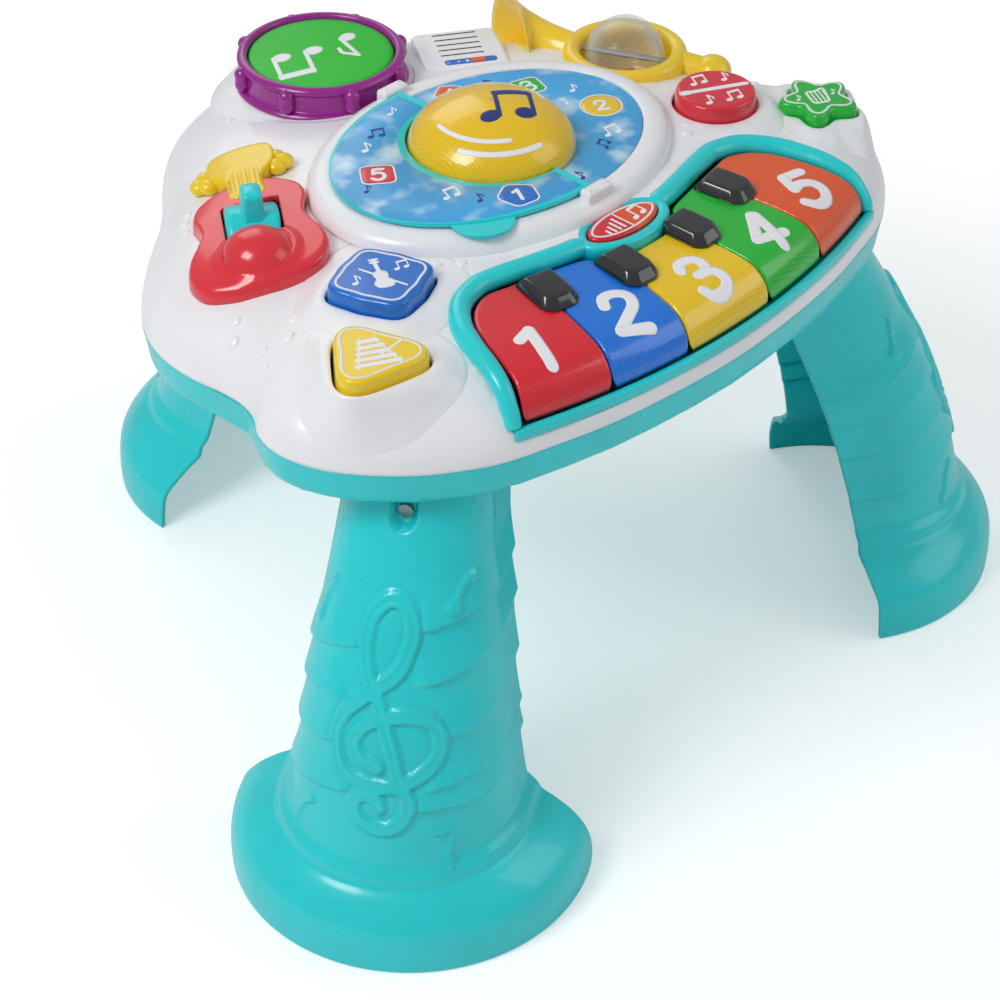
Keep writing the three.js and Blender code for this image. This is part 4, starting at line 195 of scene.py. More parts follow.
# Height shares of the rows at the play top's edge
CROWN_ROWS = (
    0, 0.03, 0.07, 0.11, 0.15, 0.19, 0.24, 0.3, 0.36, 0.42, 0.48, 0.54, 0.6, 0.66, 0.72, 0.78,
    0.83, 0.87, 0.9,
)

# Bumps on the play top: place and radius
CROWN_BUMPS = [
    (-189, -4, 3.4), (-181, 2, 2.6), (-193, -30, 3.2), (-186, -23, 2.4), (-176, -30, 3.8),
    (-166, -24, 3.2), (-171, -34, 2.6), (-94, -52, 3.6), (-84, -60, 3.0), (-98, -63, 2.4),
    (-103, -57, 2.6), (-86, 82, 3.6), (-77, 86, 2.8), (-92, 90, 2.6), (-104, 104, 3.4),
    (-97, 110, 2.6), (92, -58, 3.2), (99, -52, 2.6), (178, -34, 3.6), (184, -26, 2.8),
    (173, -27, 2.6), (-52, 150, 3.4), (-59, 144, 2.6), (56, 150, 3.2), (62, 144, 2.4),
    (-140, 88, 3.2), (-133, 94, 2.6), (-146, 80, 2.4),
]

# Mode button: its middle, and the half sizes of the button, its hole and its rim
MODE_PLACE, MODE_HALVES, MODE_HOLE, MODE_RIM = (0, -93), (24, 10.5), (27, 14), (31, 17.5)
MODE_RIM_PROFILE = [
    (0, 289), (0, 297.8), (-0.4, 299), (-1.2, 299.8), (-2.2, 300.1), (-4.2, 300.1),
    (-5.4, 299.7), (-6.1, 298.8), (-6.1, 289),
]

# Half sizes of the printed disc, the page and the bezel, and the bezel's profiles: shares of
# its reach and of its rise outside, half sizes and heights within
DISC_HALVES, PAGE_HALVES, BEZEL_HALVES = (93.8, 67.3), (97.5, 70), (110, 83)
BEZEL_OUTER = [(0.985, 0.45), (0.962, 0.74), (0.93, 0.93), (0.9, 1)]
BEZEL_LIP = [(95.2, 68.7, 0), (94.5, 68.0, -0.3), (94.1, 67.6, -0.9)]

# Drum: radii of the rim, the lugs' circle and a lug, and the rim's profile as shares
DRUM_RADIUS, LUG_REACH, LUG_RADIUS, DRUM_LUGS = 47.0, 46.4, 4.3, 8
SKIN_RADIUS, SKIN_RISE = 38.0, 0.6
DRUM_PROFILE = [
    (1.01, 0), (1.035, 0.07), (1.01, 0.16), (0.965, 0.24), (0.955, 0.5), (0.958, 0.7),
    (0.985, 0.78), (0.995, 0.87), (0.97, 0.955), (0.925, 1.0), (0.895, 0.985),
]

# Saddles of the page's pins, the sound housing, its slots and its label: half sizes and corner,
# then the places along and across the housing
SADDLE_BLOCK, SADDLE_Y, SADDLE_EDGE = (9, 4, 2), 74.6, 2.2
HOUSING_BLOCK, HOUSING_RISE, HOUSING_EDGE = (25, 22, 6), 4, 2.6
SLOT_COUNT, SLOT_HALF, SLOT_WIDTH, SLOT_STEP, SLOT_START = 5, 12, 1.3, 6, 5
LABEL_BLOCK, LABEL_X, LABEL_Y = (15, 2.9, 2.4), 3, -15.6
LABEL_DOTS = [(-4, 0.7), (1, 1.1), (7, 1.5)]

# Piano frame: half sizes of the bar's section, the ledge's half width, drop and height, and the
# sections of the ledge and of the shelf under it as half sizes and corner
BAR_HALVES, BAR_SLIMMING = (5.8, 5.5), 0.28
LEDGE_HALF, LEDGE_DROP, LEDGE_HEIGHT = 138.6, 2.1, 266.1
LEDGE_BLOCK, SHELF_BLOCK, SHELF_OFFSET = (2.1, 3.1, 1.5), (3.4, 1.7, 0.6), (0, 3.8, -2.9)
DIGIT_SHARE = 0.86

# Guitar: opening of the lever above and below as half sizes and corner, body and head as start,
# length and half width, rise of the body and of the bowl over it, the bowl's place and radius
LEVER_OPENING, LEVER_UNDER = (16.2, 15.0, 1.6), (19.4, 15.0, 1.6)
BODY_SPAN, HEAD_SPAN = (0, 92, 36), (46, 52, 18)
BODY_RISE, HEAD_RISE, BOWL_ALONG, BOWL_RADIUS, BOWL_BASE, BOWL_RISE = 8, 9.2, -6, 18.5, 5.4, 14
GROOVES, GROOVE_WIDTH, GROOVE_DEPTH = (-6.6, -2.2, 2.2, 6.6), 1.1, 0.6
PEG_LEVEL, PEG_RISE = 4.0, 4.2

# Strum lever: radius and half width of its barrel, how much its ends draw in, and of its fin the
# half width and its taper, the half length and its flare, and the height over the axle
BARREL_RADIUS, BARREL_HALF, BARREL_ROUNDING = 20, 14, 3
FIN_WIDE, FIN_TAPER, FIN_LONG, FIN_FLARE, FIN_BASE = 6.3, 0.9, 7.4, 3.2, 14

# Dome: thickness, and its arcs as radius, first and last angle
DOME_WALL, ARC_WIDTH = 2, 2.2
DOME_ARCS = [(31, 20, 100), (31, 200, 280), (37, 60, 130), (37, 235, 305)]

# Page: half its thickness, its hole, rods and pins as ends and radius, tab as half size and
# place, and its print as inset, hole and step off the spine
PAGE_HALF, PAGE_HOLE, PAGE_EDGE = 1.3, 45.7, 0.5
ROD_ENDS, ROD_RADIUS, PIN_ENDS, PIN_RADIUS = (45.9, 60, 70.2), 2.0, (69.5, 75.4), 1.7
TAB_HALF, TAB_PLACE, TAB_RISE = 17, (-60, -51), 1.7
SHEET_INSET, SHEET_HOLE, SHEET_STEP, SHEET_RISE = 3.2, 47.6, 3.0, 0.1

# Trumpet: profiles of its ring and of the bowl under the ball, and the knob's place and radii
RING_PROFILE = [
    (26.2, 273.4), (35.5, 283.0), (35.5, 298.1), (33.9, 301.3), (30.25, 302.5), (26.6, 301.3),
    (25.2, 297.6), (25.2, 280),
]
BOWL_PROFILE = [
    (0.4, 270.6), (12, 270.6), (22, 271.6), (27.0, 277), (27.4, 284), (25.6, 284), (25, 278),
    (20.6, 273.8), (11, 272.8), (0.4, 272.8),
]
KNOB, KNOB_RADII, TUBE_RADIUS = (162, -17), (10.5, 9.4), 8

# Digits on the keys: foot and head of each
DIGIT_PLACES = [
    ((-110, -147), (-99, -118)), ((-58, -156), (-46, -135 + 7)), ((0, -163), (2, -134)),
    ((51, -158), (57, -129)), ((99, -148), (104, -119)),
]

# Pictures on the buttons: strokes on a unit square with their softness and whether they close,
# then notes beside them as place, size and whether they are a pair
FIDDLE = [
    (0.0, -0.44), (0.17, -0.4), (0.21, -0.24), (0.1, -0.12), (0.16, 0.02), (0.1, 0.14),
    (-0.1, 0.14), (-0.16, 0.02), (-0.1, -0.12), (-0.21, -0.24), (-0.17, -0.4),
]
PICTURE_TURN = -28.0
PICTURES = {
    "blue_button": (
        [
            (FIDDLE, 0.14, True, 0), ([(0, 0.1), (0, 0.52)], 0, False, 1.5),
            ([(-0.07, 0.44), (0.07, 0.44)], 0, False, 1),
            ([(-0.07, 0.53), (0.07, 0.53)], 0, False, 1),
            ([(0.36, -0.46), (-0.32, 0.3)], 0, False, 0.8),
        ],
        [((-0.52, -0.14), 0.19, False), ((0.34, 0.1), 0.17, True)],
    ),
    "yellow_button": (
        [
            ([(-0.4, -0.46), (-0.14, 0.46)], 0, False, 0.8),
            ([(0.4, -0.46), (0.14, 0.46)], 0, False, 0.8),
            *[
                ([(-0.4 + 0.06 * k, -0.38 + 0.185 * k),
                  (0.4 - 0.06 * k, -0.38 + 0.185 * k)], 0, False, 2.1)
                for k in range(5)
            ],
            ([(0.6, 0.2), (0.12, -0.12)], 0, False, 0.9),
        ],
        [],
    ),
    "red_button": (
        [([(-0.62, 0.02), (0.66, 0.02)], 0, False, 2.2),
         ([(-0.7, 0.02), (-0.6, 0.02)], 0, False, 3.0)],
        [
            ((-0.36, 0.3), 0.22, True), ((0.3, 0.3), 0.2, False),
            ((-0.34, -0.5), 0.22, False), ((0.1, -0.5), 0.22, True),
        ],
    ),
    "star_button": (
        [
            ([(-0.26, -0.36), (0.2, -0.36), (0.3, 0.4), (0.02, 0.26), (-0.26, 0.3)], 0.12, True, 1),
            *[([(-0.14 + 0.12 * k, -0.3), (-0.13 + 0.12 * k, 0.24)], 0, False, 0.6)
              for k in range(4)],
        ],
        [((-0.6, -0.04), 0.18, False), ((0.44, 0.0), 0.17, False)],
    ),
}

# Badges: digit, place, size, corners (none is a circle), turn and finish
DISC_BADGES = [
    (2, 71, -14, 11, 0, -30, "key_amber"), (3, 59, 29, 11, 4, -18, "button_green"),
    (4, 24, 54, 9.5, 5, -26, "key_orange"),
]
DISC_NOTES = [
    (50, -38, 6, -20, True), (46, 44, 5, 10, False), (72, 8, 5, -30, False),
    (8, -58, 5, 0, False), (60, 1, 4.5, 12, False), (40, -46, 4.5, 20, True),
    (-58, 34, 7, 20, True), (-66, -20, 6.5, -15, True), (-36, -50, 6.5, 15, False),
    (-34, 52, 6, -20, False), (-79, 8, 6, 10, False), (-56, 4, 6, 0, False),
]
PAGE_BADGES = [
    (5, -68, 16, 12, 4, -38, "key_red"), (1, -32, -50, 11.5, 5, -28, "button_blue"),
]
PAGE_NOTES = [
    (-56, 38, 6, -30, False), (-44, 46, 5.5, -35, True), (-60, -26, 6, -20, True),
    (-50, -40, 5, -20, False), (-20, 56, 5, -40, False), (-84, 8, 4.5, -30, False),
]

# Moulding on the legs, as angle in degrees and height: the clef's loop and stem, the steps with
# the angles between which each shows, and the notes
CLEF_LOOP = [
    (-3.5, 140.5), (-9, 148.5), (-14.5, 161.5), (-14, 176), (-7, 184.5), (1.5, 187), (11, 182.5),
    (14, 173.5), (13, 167), (6, 154.5), (-10, 143.5), (-23.5, 131), (-28, 118), (-22.5, 103.5),
    (-7.5, 98.5), (9.5, 99.5), (25, 106.5), (33.5, 117), (30.5, 128), (19.5, 134), (5, 134),
    (-9.5, 129), (-16.5, 119), (-12, 111.5), (-1.5, 108.5),
]
CLEF_STEM = [
    (-3.5, 140.5), (5, 119.5), (11, 101), (16, 91.5), (14.5, 83.5), (8, 77), (-2, 76),
    (-10.5, 80), (-13.5, 87.5), (-9, 93), (-1.5, 92), (0.5, 87.5),
]
LEG_STEPS = [
    ([(27, 173.5), (51.5, 175.5), (85.5, 174.5)], 16, 400),
    ([(27, 148.5), (54, 152), (81, 152.5)], 16, 400),
    ([(30.5, 122), (54, 121), (78, 124)], 30, 400),
    ([(25.5, 96), (50.5, 98), (74.5, 97)], 22, 400),
    ([(8, 84), (28, 85.5), (51, 82.5)], 16, 400),
    ([(-80.5, 144), (-45.5, 155.5), (-20, 163)], -400, -16),
    ([(-80.5, 124.5), (-52, 132), (-38.5, 134.5)], -400, -24),
    ([(-80, 102.5), (-47, 109.5), (-33, 112.5), (-17.5, 117)], -400, -24),
    ([(-81.5, 73.5), (-46, 84.5), (-19, 91.5)], -400, -14),
]
LEG_NOTES = [
    [(40, 181.5), (44.5, 187.5), (51, 192), (56, 191.5)],
    [(34.5, 54), (37, 62.5), (39, 71.5), (32.5, 71.5)],
    [(-61.5, 163), (-56.5, 175), (-50.5, 183)],
    [(-52.5, 58), (-47, 69.5), (-41, 75.5)],
]
SCREW_HEIGHT = 222.2

# Camera: place in millimetres about the play top's middle, its right, up and back axes, its
# focal length and its middle, in pixels of a picture 1000 wide
CAMERA_PLACE = (-893.1, -859.8, 1032.4)
CAMERA_AXES = [(0.6921, -0.7218, 0.0), (0.4424, 0.4242, 0.7901), (-0.5703, -0.5469, 0.6129)]
CAMERA_FOCUS = 2693.0
CAMERA_MIDDLE = (496.25, 498.2)
PICTURE_WIDTH, SENSOR_WIDTH = 1000, 36

# What the floor adds to itself before the camera
FLOOR_GLOW = 0.34

# Lamps: name, place and target in metres, size and watts
LAMPS = [
    ("key_lamp", (-1.2, 0.1, 1.5), (0, 0, 0.2), 0.7, 13.0),
    ("fill_lamp", (1.2, -1.4, 1.2), (0, 0, 0.2), 1.2, 5.5),
    ("rim_lamp", (0.7, 1.6, 1.5), (0, 0, 0.25), 1.1, 5),
]


# Mesh code


def make_piece(name, shape, finish, body="table", replaces=()):
    """Turns points in millimetres about the play top's middle, and faces of three or four
    corners, into an object at the origin. Points that coincide are merged, and the faces are
    turned over where the signed volume under them is negative."""
    verts, faces = np.asarray(shape[0], float), shape[1]
    quads = [np.asarray(f, int) for f in faces if len(f)]
    flat = np.concatenate([f.ravel() for f in quads])
    sizes = np.concatenate([np.full(len(f), f.shape[1]) for f in quads])
    keys = np.round(verts * MERGE_STEPS).astype(np.int64)
    _, first, index = np.unique(keys, axis=0, return_index=True, return_inverse=True)
    index = index.reshape(-1)
    flat = index[flat]
    points = verts[first]
    starts = np.concatenate([[0], np.cumsum(sizes)[:-1]])
    lists = [flat[s:s + n] for s, n in zip(starts, sizes)]
    lists = [f[f != np.roll(f, 1)] for f in lists]
    lists = [f for f in lists if len(f) > 2]
    if signed_volume(points, lists) < 0:
        lists = [f[::-1] for f in lists]
    placed = (points + [0, SHIFT_Y, 0]) * MM
    mesh = bpy.data.meshes.new(name)
    mesh.from_pydata(placed.tolist(), [], [f.tolist() for f in lists])
    mesh.validate()
    mesh.polygons.foreach_set("use_smooth", np.ones(len(mesh.polygons), bool))
    mesh.materials.append(material(finish))
    obj = bpy.data.objects.new(name, mesh)
    bpy.context.scene.collection.objects.link(obj)
    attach(obj, body)
    if replaces:
        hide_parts(*replaces)
    return obj


def signed_volume(points, lists):
    """Sum of the signed tetrahedra between the middle and a fan of each face."""
    centre = points.mean(axis=0)
    fans = np.array([(f[0], f[i], f[i + 1]) for f in lists for i in range(1, len(f) - 1)])
    a, b, c = (points[fans[:, i]] - centre for i in range(3))
    return float(np.einsum("ij,ij->i", a, np.cross(b, c)).sum())


def skin_faces(rows, count, closed=True):
    """Quads between rows of points; the points of a row go round when closed."""
    i, j = np.meshgrid(
        np.arange(rows - 1), np.arange(count if closed else count - 1), indexing="ij")
    nxt = (j + 1) % count
    quads = np.stack(
        [i * count + j, i * count + nxt, (i + 1) * count + nxt, (i + 1) * count + j], -1)
    return quads.reshape(-1, 4)


def fan_faces(row, centre, flip=False):
    """Triangles from one point to a closed row of points."""
    nxt = np.roll(row, -1)
    mid = np.full(len(row), centre)
    return np.stack([nxt, row, mid] if flip else [row, nxt, mid], -1)


def loft(rings, ends=True, loop=False):
    """Points and faces of a skin through closed rings, with a fan over each end, or going
    back to the first ring."""
    rings = np.asarray(rings, float)
    rows, count = rings.shape[:2]
    verts = rings.reshape(-1, 3)
    faces = [skin_faces(rows, count)]
    if loop:
        last = np.arange(count) + (rows - 1) * count
        first = np.arange(count)
        faces.append(np.stack([last, np.roll(last, -1), np.roll(first, -1), first], -1))
    elif ends:
        verts = np.concatenate([verts, rings[:1].mean(axis=1), rings[-1:].mean(axis=1)])
        faces.append(fan_faces(np.arange(count), rows * count, flip=True))
        faces.append(fan_faces(np.arange(count) + (rows - 1) * count, rows * count + 1))
    return verts, faces


def merged(*shapes):
    """Several (points, faces) pairs as one."""
    verts, faces, start = [], [], 0
    for points, lists in shapes:
        verts.append(points)
        faces += [f + start for f in lists if len(f)]
        start += len(points)
    return np.concatenate(verts), faces


def eased(path, radius, steps=4, closed=False):
    """A path whose corners are rounded: each corner becomes a quadratic curve between the
    points a radius before and after it, or half a side where that is shorter."""
    path = np.asarray(path, float)
    count = len(path)
    radii = np.broadcast_to(radius, count)
    t = np.linspace(0, 1, steps + 1)[:, None]
    out = []
    for k in range(count):
        if not closed and k in (0, count - 1):
            out.append(path[k:k + 1])
            continue
        before, here, after = path[k - 1], path[k], path[(k + 1) % count]
        one, two = before - here, after - here
        first, second = np.linalg.norm(one), np.linalg.norm(two)
        reach = min(radii[k], first / 2, second / 2)
        if reach < 1e-6:
            out.append(path[k:k + 1])
            continue
        a, b = here + one / first * reach, here + two / second * reach
        out.append((1 - t) ** 2 * a + 2 * t * (1 - t) * here + t ** 2 * b)
    return np.concatenate(out)


def flowing(points, steps, closed=False):
    """Catmull-Rom curve: between two points a cubic whose slopes are half the step from the
    point before to the point after. Returned at even distances along it."""
    p = np.asarray(points, float)
    if closed:
        p = np.concatenate([p[-1:], p, p[:2]])
    else:
        p = np.concatenate([2 * p[:1] - p[1:2], p, 2 * p[-1:] - p[-2:-1]])
    t = np.linspace(0, 1, 13)[:-1, None]
    a, b, c, d = (p[i:len(p) - 3 + i, None] for i in range(4))
    square, cube = 2 * a - 5 * b + 4 * c - d, 3 * b - a - 3 * c + d
    curve = 0.5 * (2 * b + (c - a) * t + square * t ** 2 + cube * t ** 3)
    curve = curve.reshape(-1, p.shape[1])
    curve = np.concatenate([curve, p[-2:-1]])
    along = np.concatenate([[0], np.cumsum(np.linalg.norm(np.diff(curve, axis=0), axis=1))])
    want = np.linspace(0, along[-1], steps + 1)
    if closed:
        want = want[:-1]
    return np.stack([np.interp(want, along, curve[:, k]) for k in range(p.shape[1])], -1)


def grown(outline, reach):
    """A closed plan outline, counter-clockwise, moved outwards along its normals."""
    outline = np.asarray(outline, float)
    along = np.roll(outline, -1, axis=0) - np.roll(outline, 1, axis=0)
    along /= np.linalg.norm(along, axis=1)[:, None] + 1e-12
    return outline + reach * np.stack([along[:, 1], -along[:, 0]], -1)


def oval(rx, ry, steps=96, x=0, y=0):
    """Plan outline of an ellipse: cosine and sine of evenly spaced angles."""
    a = np.arange(steps) * TAU / steps
    return np.stack([x + rx * np.cos(a), y + ry * np.sin(a)], -1)


def block(hx, hy, radius, steps=6):
    """Plan outline of a rectangle with rounded corners."""
    return eased([(-hx, -hy), (hx, -hy), (hx, hy), (-hx, hy)], radius, steps, closed=True)


def turned_plan(points, x, y, degrees):
    """Plan points turned about the origin and then moved."""
    c, s = math.cos(math.radians(degrees)), math.sin(math.radians(degrees))
    p = np.asarray(points, float)
    return np.stack([x + p[..., 0] * c - p[..., 1] * s, y + p[..., 0] * s + p[..., 1] * c], -1)


def raised(outline, path):
    """Rings of a plan outline: each path entry is (reach outwards, height), or (share, height,
    True) where the outline shrinks about its middle instead. A height may be a function of
    x and y."""
    centre = outline.mean(axis=0)
    rings = []
    for entry in path:
        plan = (centre + (outline - centre) * entry[0] if len(entry) > 2
                else grown(outline, entry[0]))
        z = (entry[1](plan[:, 0], plan[:, 1]) if callable(entry[1])
             else np.full(len(plan), float(entry[1])))
        rings.append(np.concatenate([plan, z[:, None]], axis=1))
    return np.array(rings)


def lathe(path, x, y, steps=96):
    """Rings of a profile of (radius, height) turned about an upright axis."""
    a = np.arange(steps) * TAU / steps
    path = np.asarray(path, float)
    return np.stack([
        x + path[:, :1] * np.cos(a),
        y + path[:, :1] * np.sin(a),
        np.repeat(path[:, 1:2], steps, axis=1),
    ], -1)


def sweep(path, section, up=(0, 0, 1)):
    """Rings of a section of (sideways, upwards) points carried along a path: at each point
    sideways is level and square to the path, and upwards is square to both. The section may
    be one for the whole path or one for each of its points."""
    path = np.asarray(path, float)
    along = np.gradient(path, axis=0)
    along /= np.linalg.norm(along, axis=1)[:, None]
    side = np.cross(np.broadcast_to(up, along.shape), along)
    side /= np.linalg.norm(side, axis=1)[:, None] + 1e-12
    over = np.cross(along, side)
    section = np.asarray(section, float)
    if section.ndim == 2:
        section = np.broadcast_to(section, (len(path),) + section.shape)
    return path[:, None] + side[:, None] * section[..., :1] + over[:, None] * section[..., 1:2]


def plan_distance(x, y, outline):
    """Signed distance from plan points to a closed outline, below zero inside."""
    shape = np.shape(x)
    p = np.stack([np.ravel(x), np.ravel(y)], -1)
    a = np.asarray(outline, float)
    b = np.roll(a, -1, axis=0)
    best = np.full(len(p), 1e9)
    odd = np.zeros(len(p), bool)
    for one, two in zip(a, b):
        edge = two - one
        t = np.clip(((p - one) @ edge) / (edge @ edge + 1e-12), 0, 1)
        foot = one + t[:, None] * edge
        dist = np.linalg.norm(p - foot, axis=1)
        best = np.minimum(best, dist)
        cross = (one[1] > p[:, 1]) != (two[1] > p[:, 1])
        at = one[0] + (p[:, 1] - one[1]) / (edge[1] if abs(edge[1]) > 1e-12 else 1e-12) * edge[0]
        odd ^= cross & (p[:, 0] < at)
    return np.where(odd, -best, best).reshape(shape)


# Surfaces of the play top


def play_outline(steps=720):
    """Closed outline of the play top at even distances."""
    right = [(x * HALF_WIDTH, y * (FRONT_REACH if y < 0 else BACK_REACH)) for x, y in OUTLINE]
    left = [(-x, y) for x, y in right[1:-1]][::-1]
    return flowing(right + left, steps, closed=True)


PLAY = play_outline()
PLAY_ANGLE = np.unwrap(np.arctan2(PLAY[:, 1], PLAY[:, 0]))
PLAY_RADIUS = np.linalg.norm(PLAY, axis=1)


def edge_radius(angle):
    """Radius of the play top's outline at an angle about its middle."""
    start = PLAY_ANGLE[0]
    turn = start + np.mod(np.asarray(angle) - start, TAU)
    return np.interp(
        turn, np.append(PLAY_ANGLE, start + TAU), np.append(PLAY_RADIUS, PLAY_RADIUS[0]))


def edge_power(angle):
    """How square the crown's section is at an angle: 4, and up to 12 in front of the keys."""
    radius = edge_radius(angle)
    side = radius * np.abs(np.cos(angle)) / KEY_WIDTH
    front = np.where(np.sin(angle) < 0, np.maximum(0, 1 - side ** 2), 0)
    return 4 + 8 * front


def crown_at(x, y):
    """Height of the crown: the seam plus the rise times the root of one less the share of the
    way out to the outline, raised to the crown's power."""
    x, y = np.asarray(x, float), np.asarray(y, float)
    angle = np.arctan2(y, x)
    share = np.hypot(x, y) / edge_radius(angle)
    return SEAM + CROWN_RISE * np.sqrt(np.clip(1 - share ** edge_power(angle), 0, 1))


def button_outline(name, reach=0, steps=160):
    """Plan outline of a press button: its radius times one plus a cosine of its lobes, with a
    small second wave that straightens the sides between three or four lobes."""
    x, y, _, radius, lobes, depth, turn = BUTTONS[name]
    a = np.arange(steps) * TAU / steps
    wave = lobes * (a - math.radians(turn))
    lobe = (depth * np.cos(wave) + (0.022 * np.cos(2 * wave) if lobes in (3, 4) else 0)
            if lobes else 0 * a)
    r = radius * (1 + lobe) + reach
    return np.stack([x + r * np.cos(a), y + r * np.sin(a)], -1)


def collar_top(name):
    """Height of the collar round a button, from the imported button's top."""
    return top_of(name) - 10.5


def field_outline(margin=0, steps=240):
    """Closed outline of the key field, grown by a margin, counter-clockwise."""
    half = [(x * KEY_WIDTH, y * KEY_REACH) for x, y in FIELD]
    back = flowing(half + [(-x, y) for x, y in half[:-1]][::-1], steps)
    xs = np.linspace(-KEY_WIDTH, KEY_WIDTH, 81)[1:-1]
    front = np.stack([xs, front_edge(xs)], -1)
    return grown(np.concatenate([front, back]), margin)


def bar_path(steps=260):
    """Middle line of the bar round the keys, from one front end to the other. It dips by a
    smooth step under the rim of the mode button."""
    half = [(x * KEY_WIDTH, y * KEY_REACH, CROWN - 3.6 - low * KEY_FALL) for x, y, low in BAR]
    path = flowing(half[::-1] + [(-x, y, z) for x, y, z in half[1:]], steps)
    path[:, 2] -= 8 * (1 - smooth_share((np.abs(path[:, 0]) - 22) / 10))
    return path


def front_edge(x):
    """y of the keys' front edge: a parabola that runs back to the sides."""
    return -KEY_REACH + KEY_SAG * (np.asarray(x, float) / KEY_WIDTH) ** 2


def key_height(x, y):
    """Height of the key tops: falls with the depth behind the front edge as the profile says."""
    depth = (np.asarray(y, float) - front_edge(x)) / KEY_DEPTH
    curve = flowing(KEY_PROFILE, 120)
    return KEY_TOP - KEY_FALL * np.interp(depth, curve[:, 0], curve[:, 1])


# Sizes and colours that a user would change


def linear(*values):
    """Screen colour of 0 to 255 as the linear values that a shader takes: below 0.04045 a
    twelfth, above it the power 2.4 of the shifted value."""
    c = np.array(values) / 255
    return tuple(np.where(c <= 0.04045, c / 12.92, ((c + 0.055) / 1.055) ** 2.4).tolist())


def length(name, description, default, high=20.0):
    """A length property with its default in millimetres."""
    return bpy.props.FloatProperty(
        name=name, description=description, default=default * MM,
        min=0.0, max=high * MM, precision=4, unit="LENGTH", subtype="DISTANCE",
    )


def colour(name, description, *screen):
    """A colour property with its default as a screen colour."""
    return bpy.props.FloatVectorProperty(
        name=name, description=description, default=linear(*screen),
        min=0.0, max=1.0, size=3, subtype="COLOR",
    )


class TableSizes(bpy.types.PropertyGroup):
    """Sizes of the table's moulded detail."""

    wall: length("Shell wall", "Thickness of the moulded shells", 3.0)
    edge: length("Moulded edge", "Radius of the edges of blocks and buttons", 2.4)
    lift: length("Print lift", "How far a print stands over what carries it", 0.14)
    digit: length("Digit stroke", "Width of the strokes of the digits on the keys", 6.4)
    line: length("Picture line", "Width of the lines of the pictures on the buttons", 1.5)
    relief: length("Clef relief", "How far the clef stands out from a leg", 2.3)
    step: length("Leg step", "Height of the steps round a leg", 2.3)
    dimple: length("Crown bump", "Height of the small bumps on the play top", 1.5)
    gap: length("Running gap", "Gap round a part that moves", 0.6)


class TableColours(bpy.types.PropertyGroup):
    """Colours of the table's plastics and prints."""

    teal: colour("Teal", "Legs, lower shell, frame and lever", 26, 218, 222)
    white: colour("White", "Play top and prints", 246, 246, 249)
    purple: colour("Purple", "Rim of the drum", 156, 26, 144)
    leaf: colour("Leaf green", "Skin of the drum", 8, 190, 26)
    coral: colour("Coral red", "Body of the guitar", 232, 44, 56)
    honey: colour("Honey", "Head of the guitar", 252, 214, 16)
    brass: colour("Brass yellow", "Trumpet", 255, 214, 44)
    cobalt: colour("Cobalt", "Blue button and label", 0, 112, 210)
    lemon: colour("Lemon", "Yellow button", 250, 214, 24)
    rose: colour("Rose red", "Round red button", 226, 40, 58)
    grass: colour("Grass green", "Star button", 12, 190, 54)
    key_red: colour("Key red", "First key", 226, 24, 40)
    key_blue: colour("Key blue", "Second key", 0, 116, 226)
    key_amber: colour("Key amber", "Third key", 252, 200, 4)
    key_green: colour("Key green", "Fourth key", 12, 184, 44)
    key_orange: colour("Key orange", "Fifth key", 240, 84, 14)
    # Soot also colours the strips laid over the housing's slots as painted shade.
    soot: colour("Black", "Black keys and slots", 30, 33, 34)
    amber: colour("Amber", "Dome over the lights", 255, 196, 4)
    sky: colour("Sky", "Ground of the printed disc", 64, 178, 242)
    haze: colour("Haze", "Pale places of the printed disc", 212, 240, 252)
    ink: colour("Ink", "Dark blue printed notes", 24, 52, 128)
    steel: colour("Steel", "Screws and axles", 184, 188, 192)
    screw: colour("Screw", "Heads of the screws", 150, 158, 162)
    rubber: colour("Rubber", "Contact strip under the keys", 140, 144, 148)
    board: colour("Board", "Circuit board", 28, 107, 60)
    jacket: colour("Cell jacket", "Battery cells", 58, 63, 70)
    clear: colour("Clear", "Rattle ball", 246, 249, 250)


def sizes():
    """The table's size settings."""
    return bpy.context.scene.activity_table_sizes


def colours():
    """The table's colour settings."""
    return bpy.context.scene.activity_table_colours


def mm(name):
    """One of the size settings, in millimetres."""
    return getattr(sizes(), name) / MM


# Materials


def fresh(name):
    """A new node material with its tree and its shader."""
    mat = bpy.data.materials.new(name)
    mat.use_nodes = True
    tree = mat.node_tree
    return mat, tree, next(n for n in tree.nodes if n.type == "BSDF_PRINCIPLED")


def node(tree, kind, values=None, **settings):
    """Adds a node with settings, and with values on its named sockets."""
    one = tree.nodes.new(kind)
    for key, value in settings.items():
        setattr(one, key, value)
    for key, value in (values or {}).items():
        one.inputs[key].default_value = value
    return one


def place(tree, scale=(1, 1, 1), turn=0.0):
    """Object coordinates, scaled and turned about the upright axis."""
    coordinates = node(tree, "ShaderNodeTexCoord")
    mapping = node(tree, "ShaderNodeMapping", {"Scale": scale, "Rotation": (0, 0, turn)})
    tree.links.new(coordinates.outputs["Object"], mapping.inputs["Vector"])
    return mapping.outputs["Vector"]


def noise(tree, vector, scale, detail=3.0, rough=0.5):
    """Noise at a scale per metre, as a value of 0 to 1."""
    one = node(tree, "ShaderNodeTexNoise", {"Scale": scale, "Detail": detail, "Roughness": rough})
    tree.links.new(vector, one.inputs["Vector"])
    return one.outputs["Fac"]


def spread(tree, value, low, high, start=0.3, end=0.7):
    """A value from start to end mapped to low to high, and clamped there."""
    span = {"From Min": start, "From Max": end, "To Min": low, "To Max": high}
    one = node(tree, "ShaderNodeMapRange", span)
    tree.links.new(value, one.inputs["Value"])
    return one.outputs["Result"]


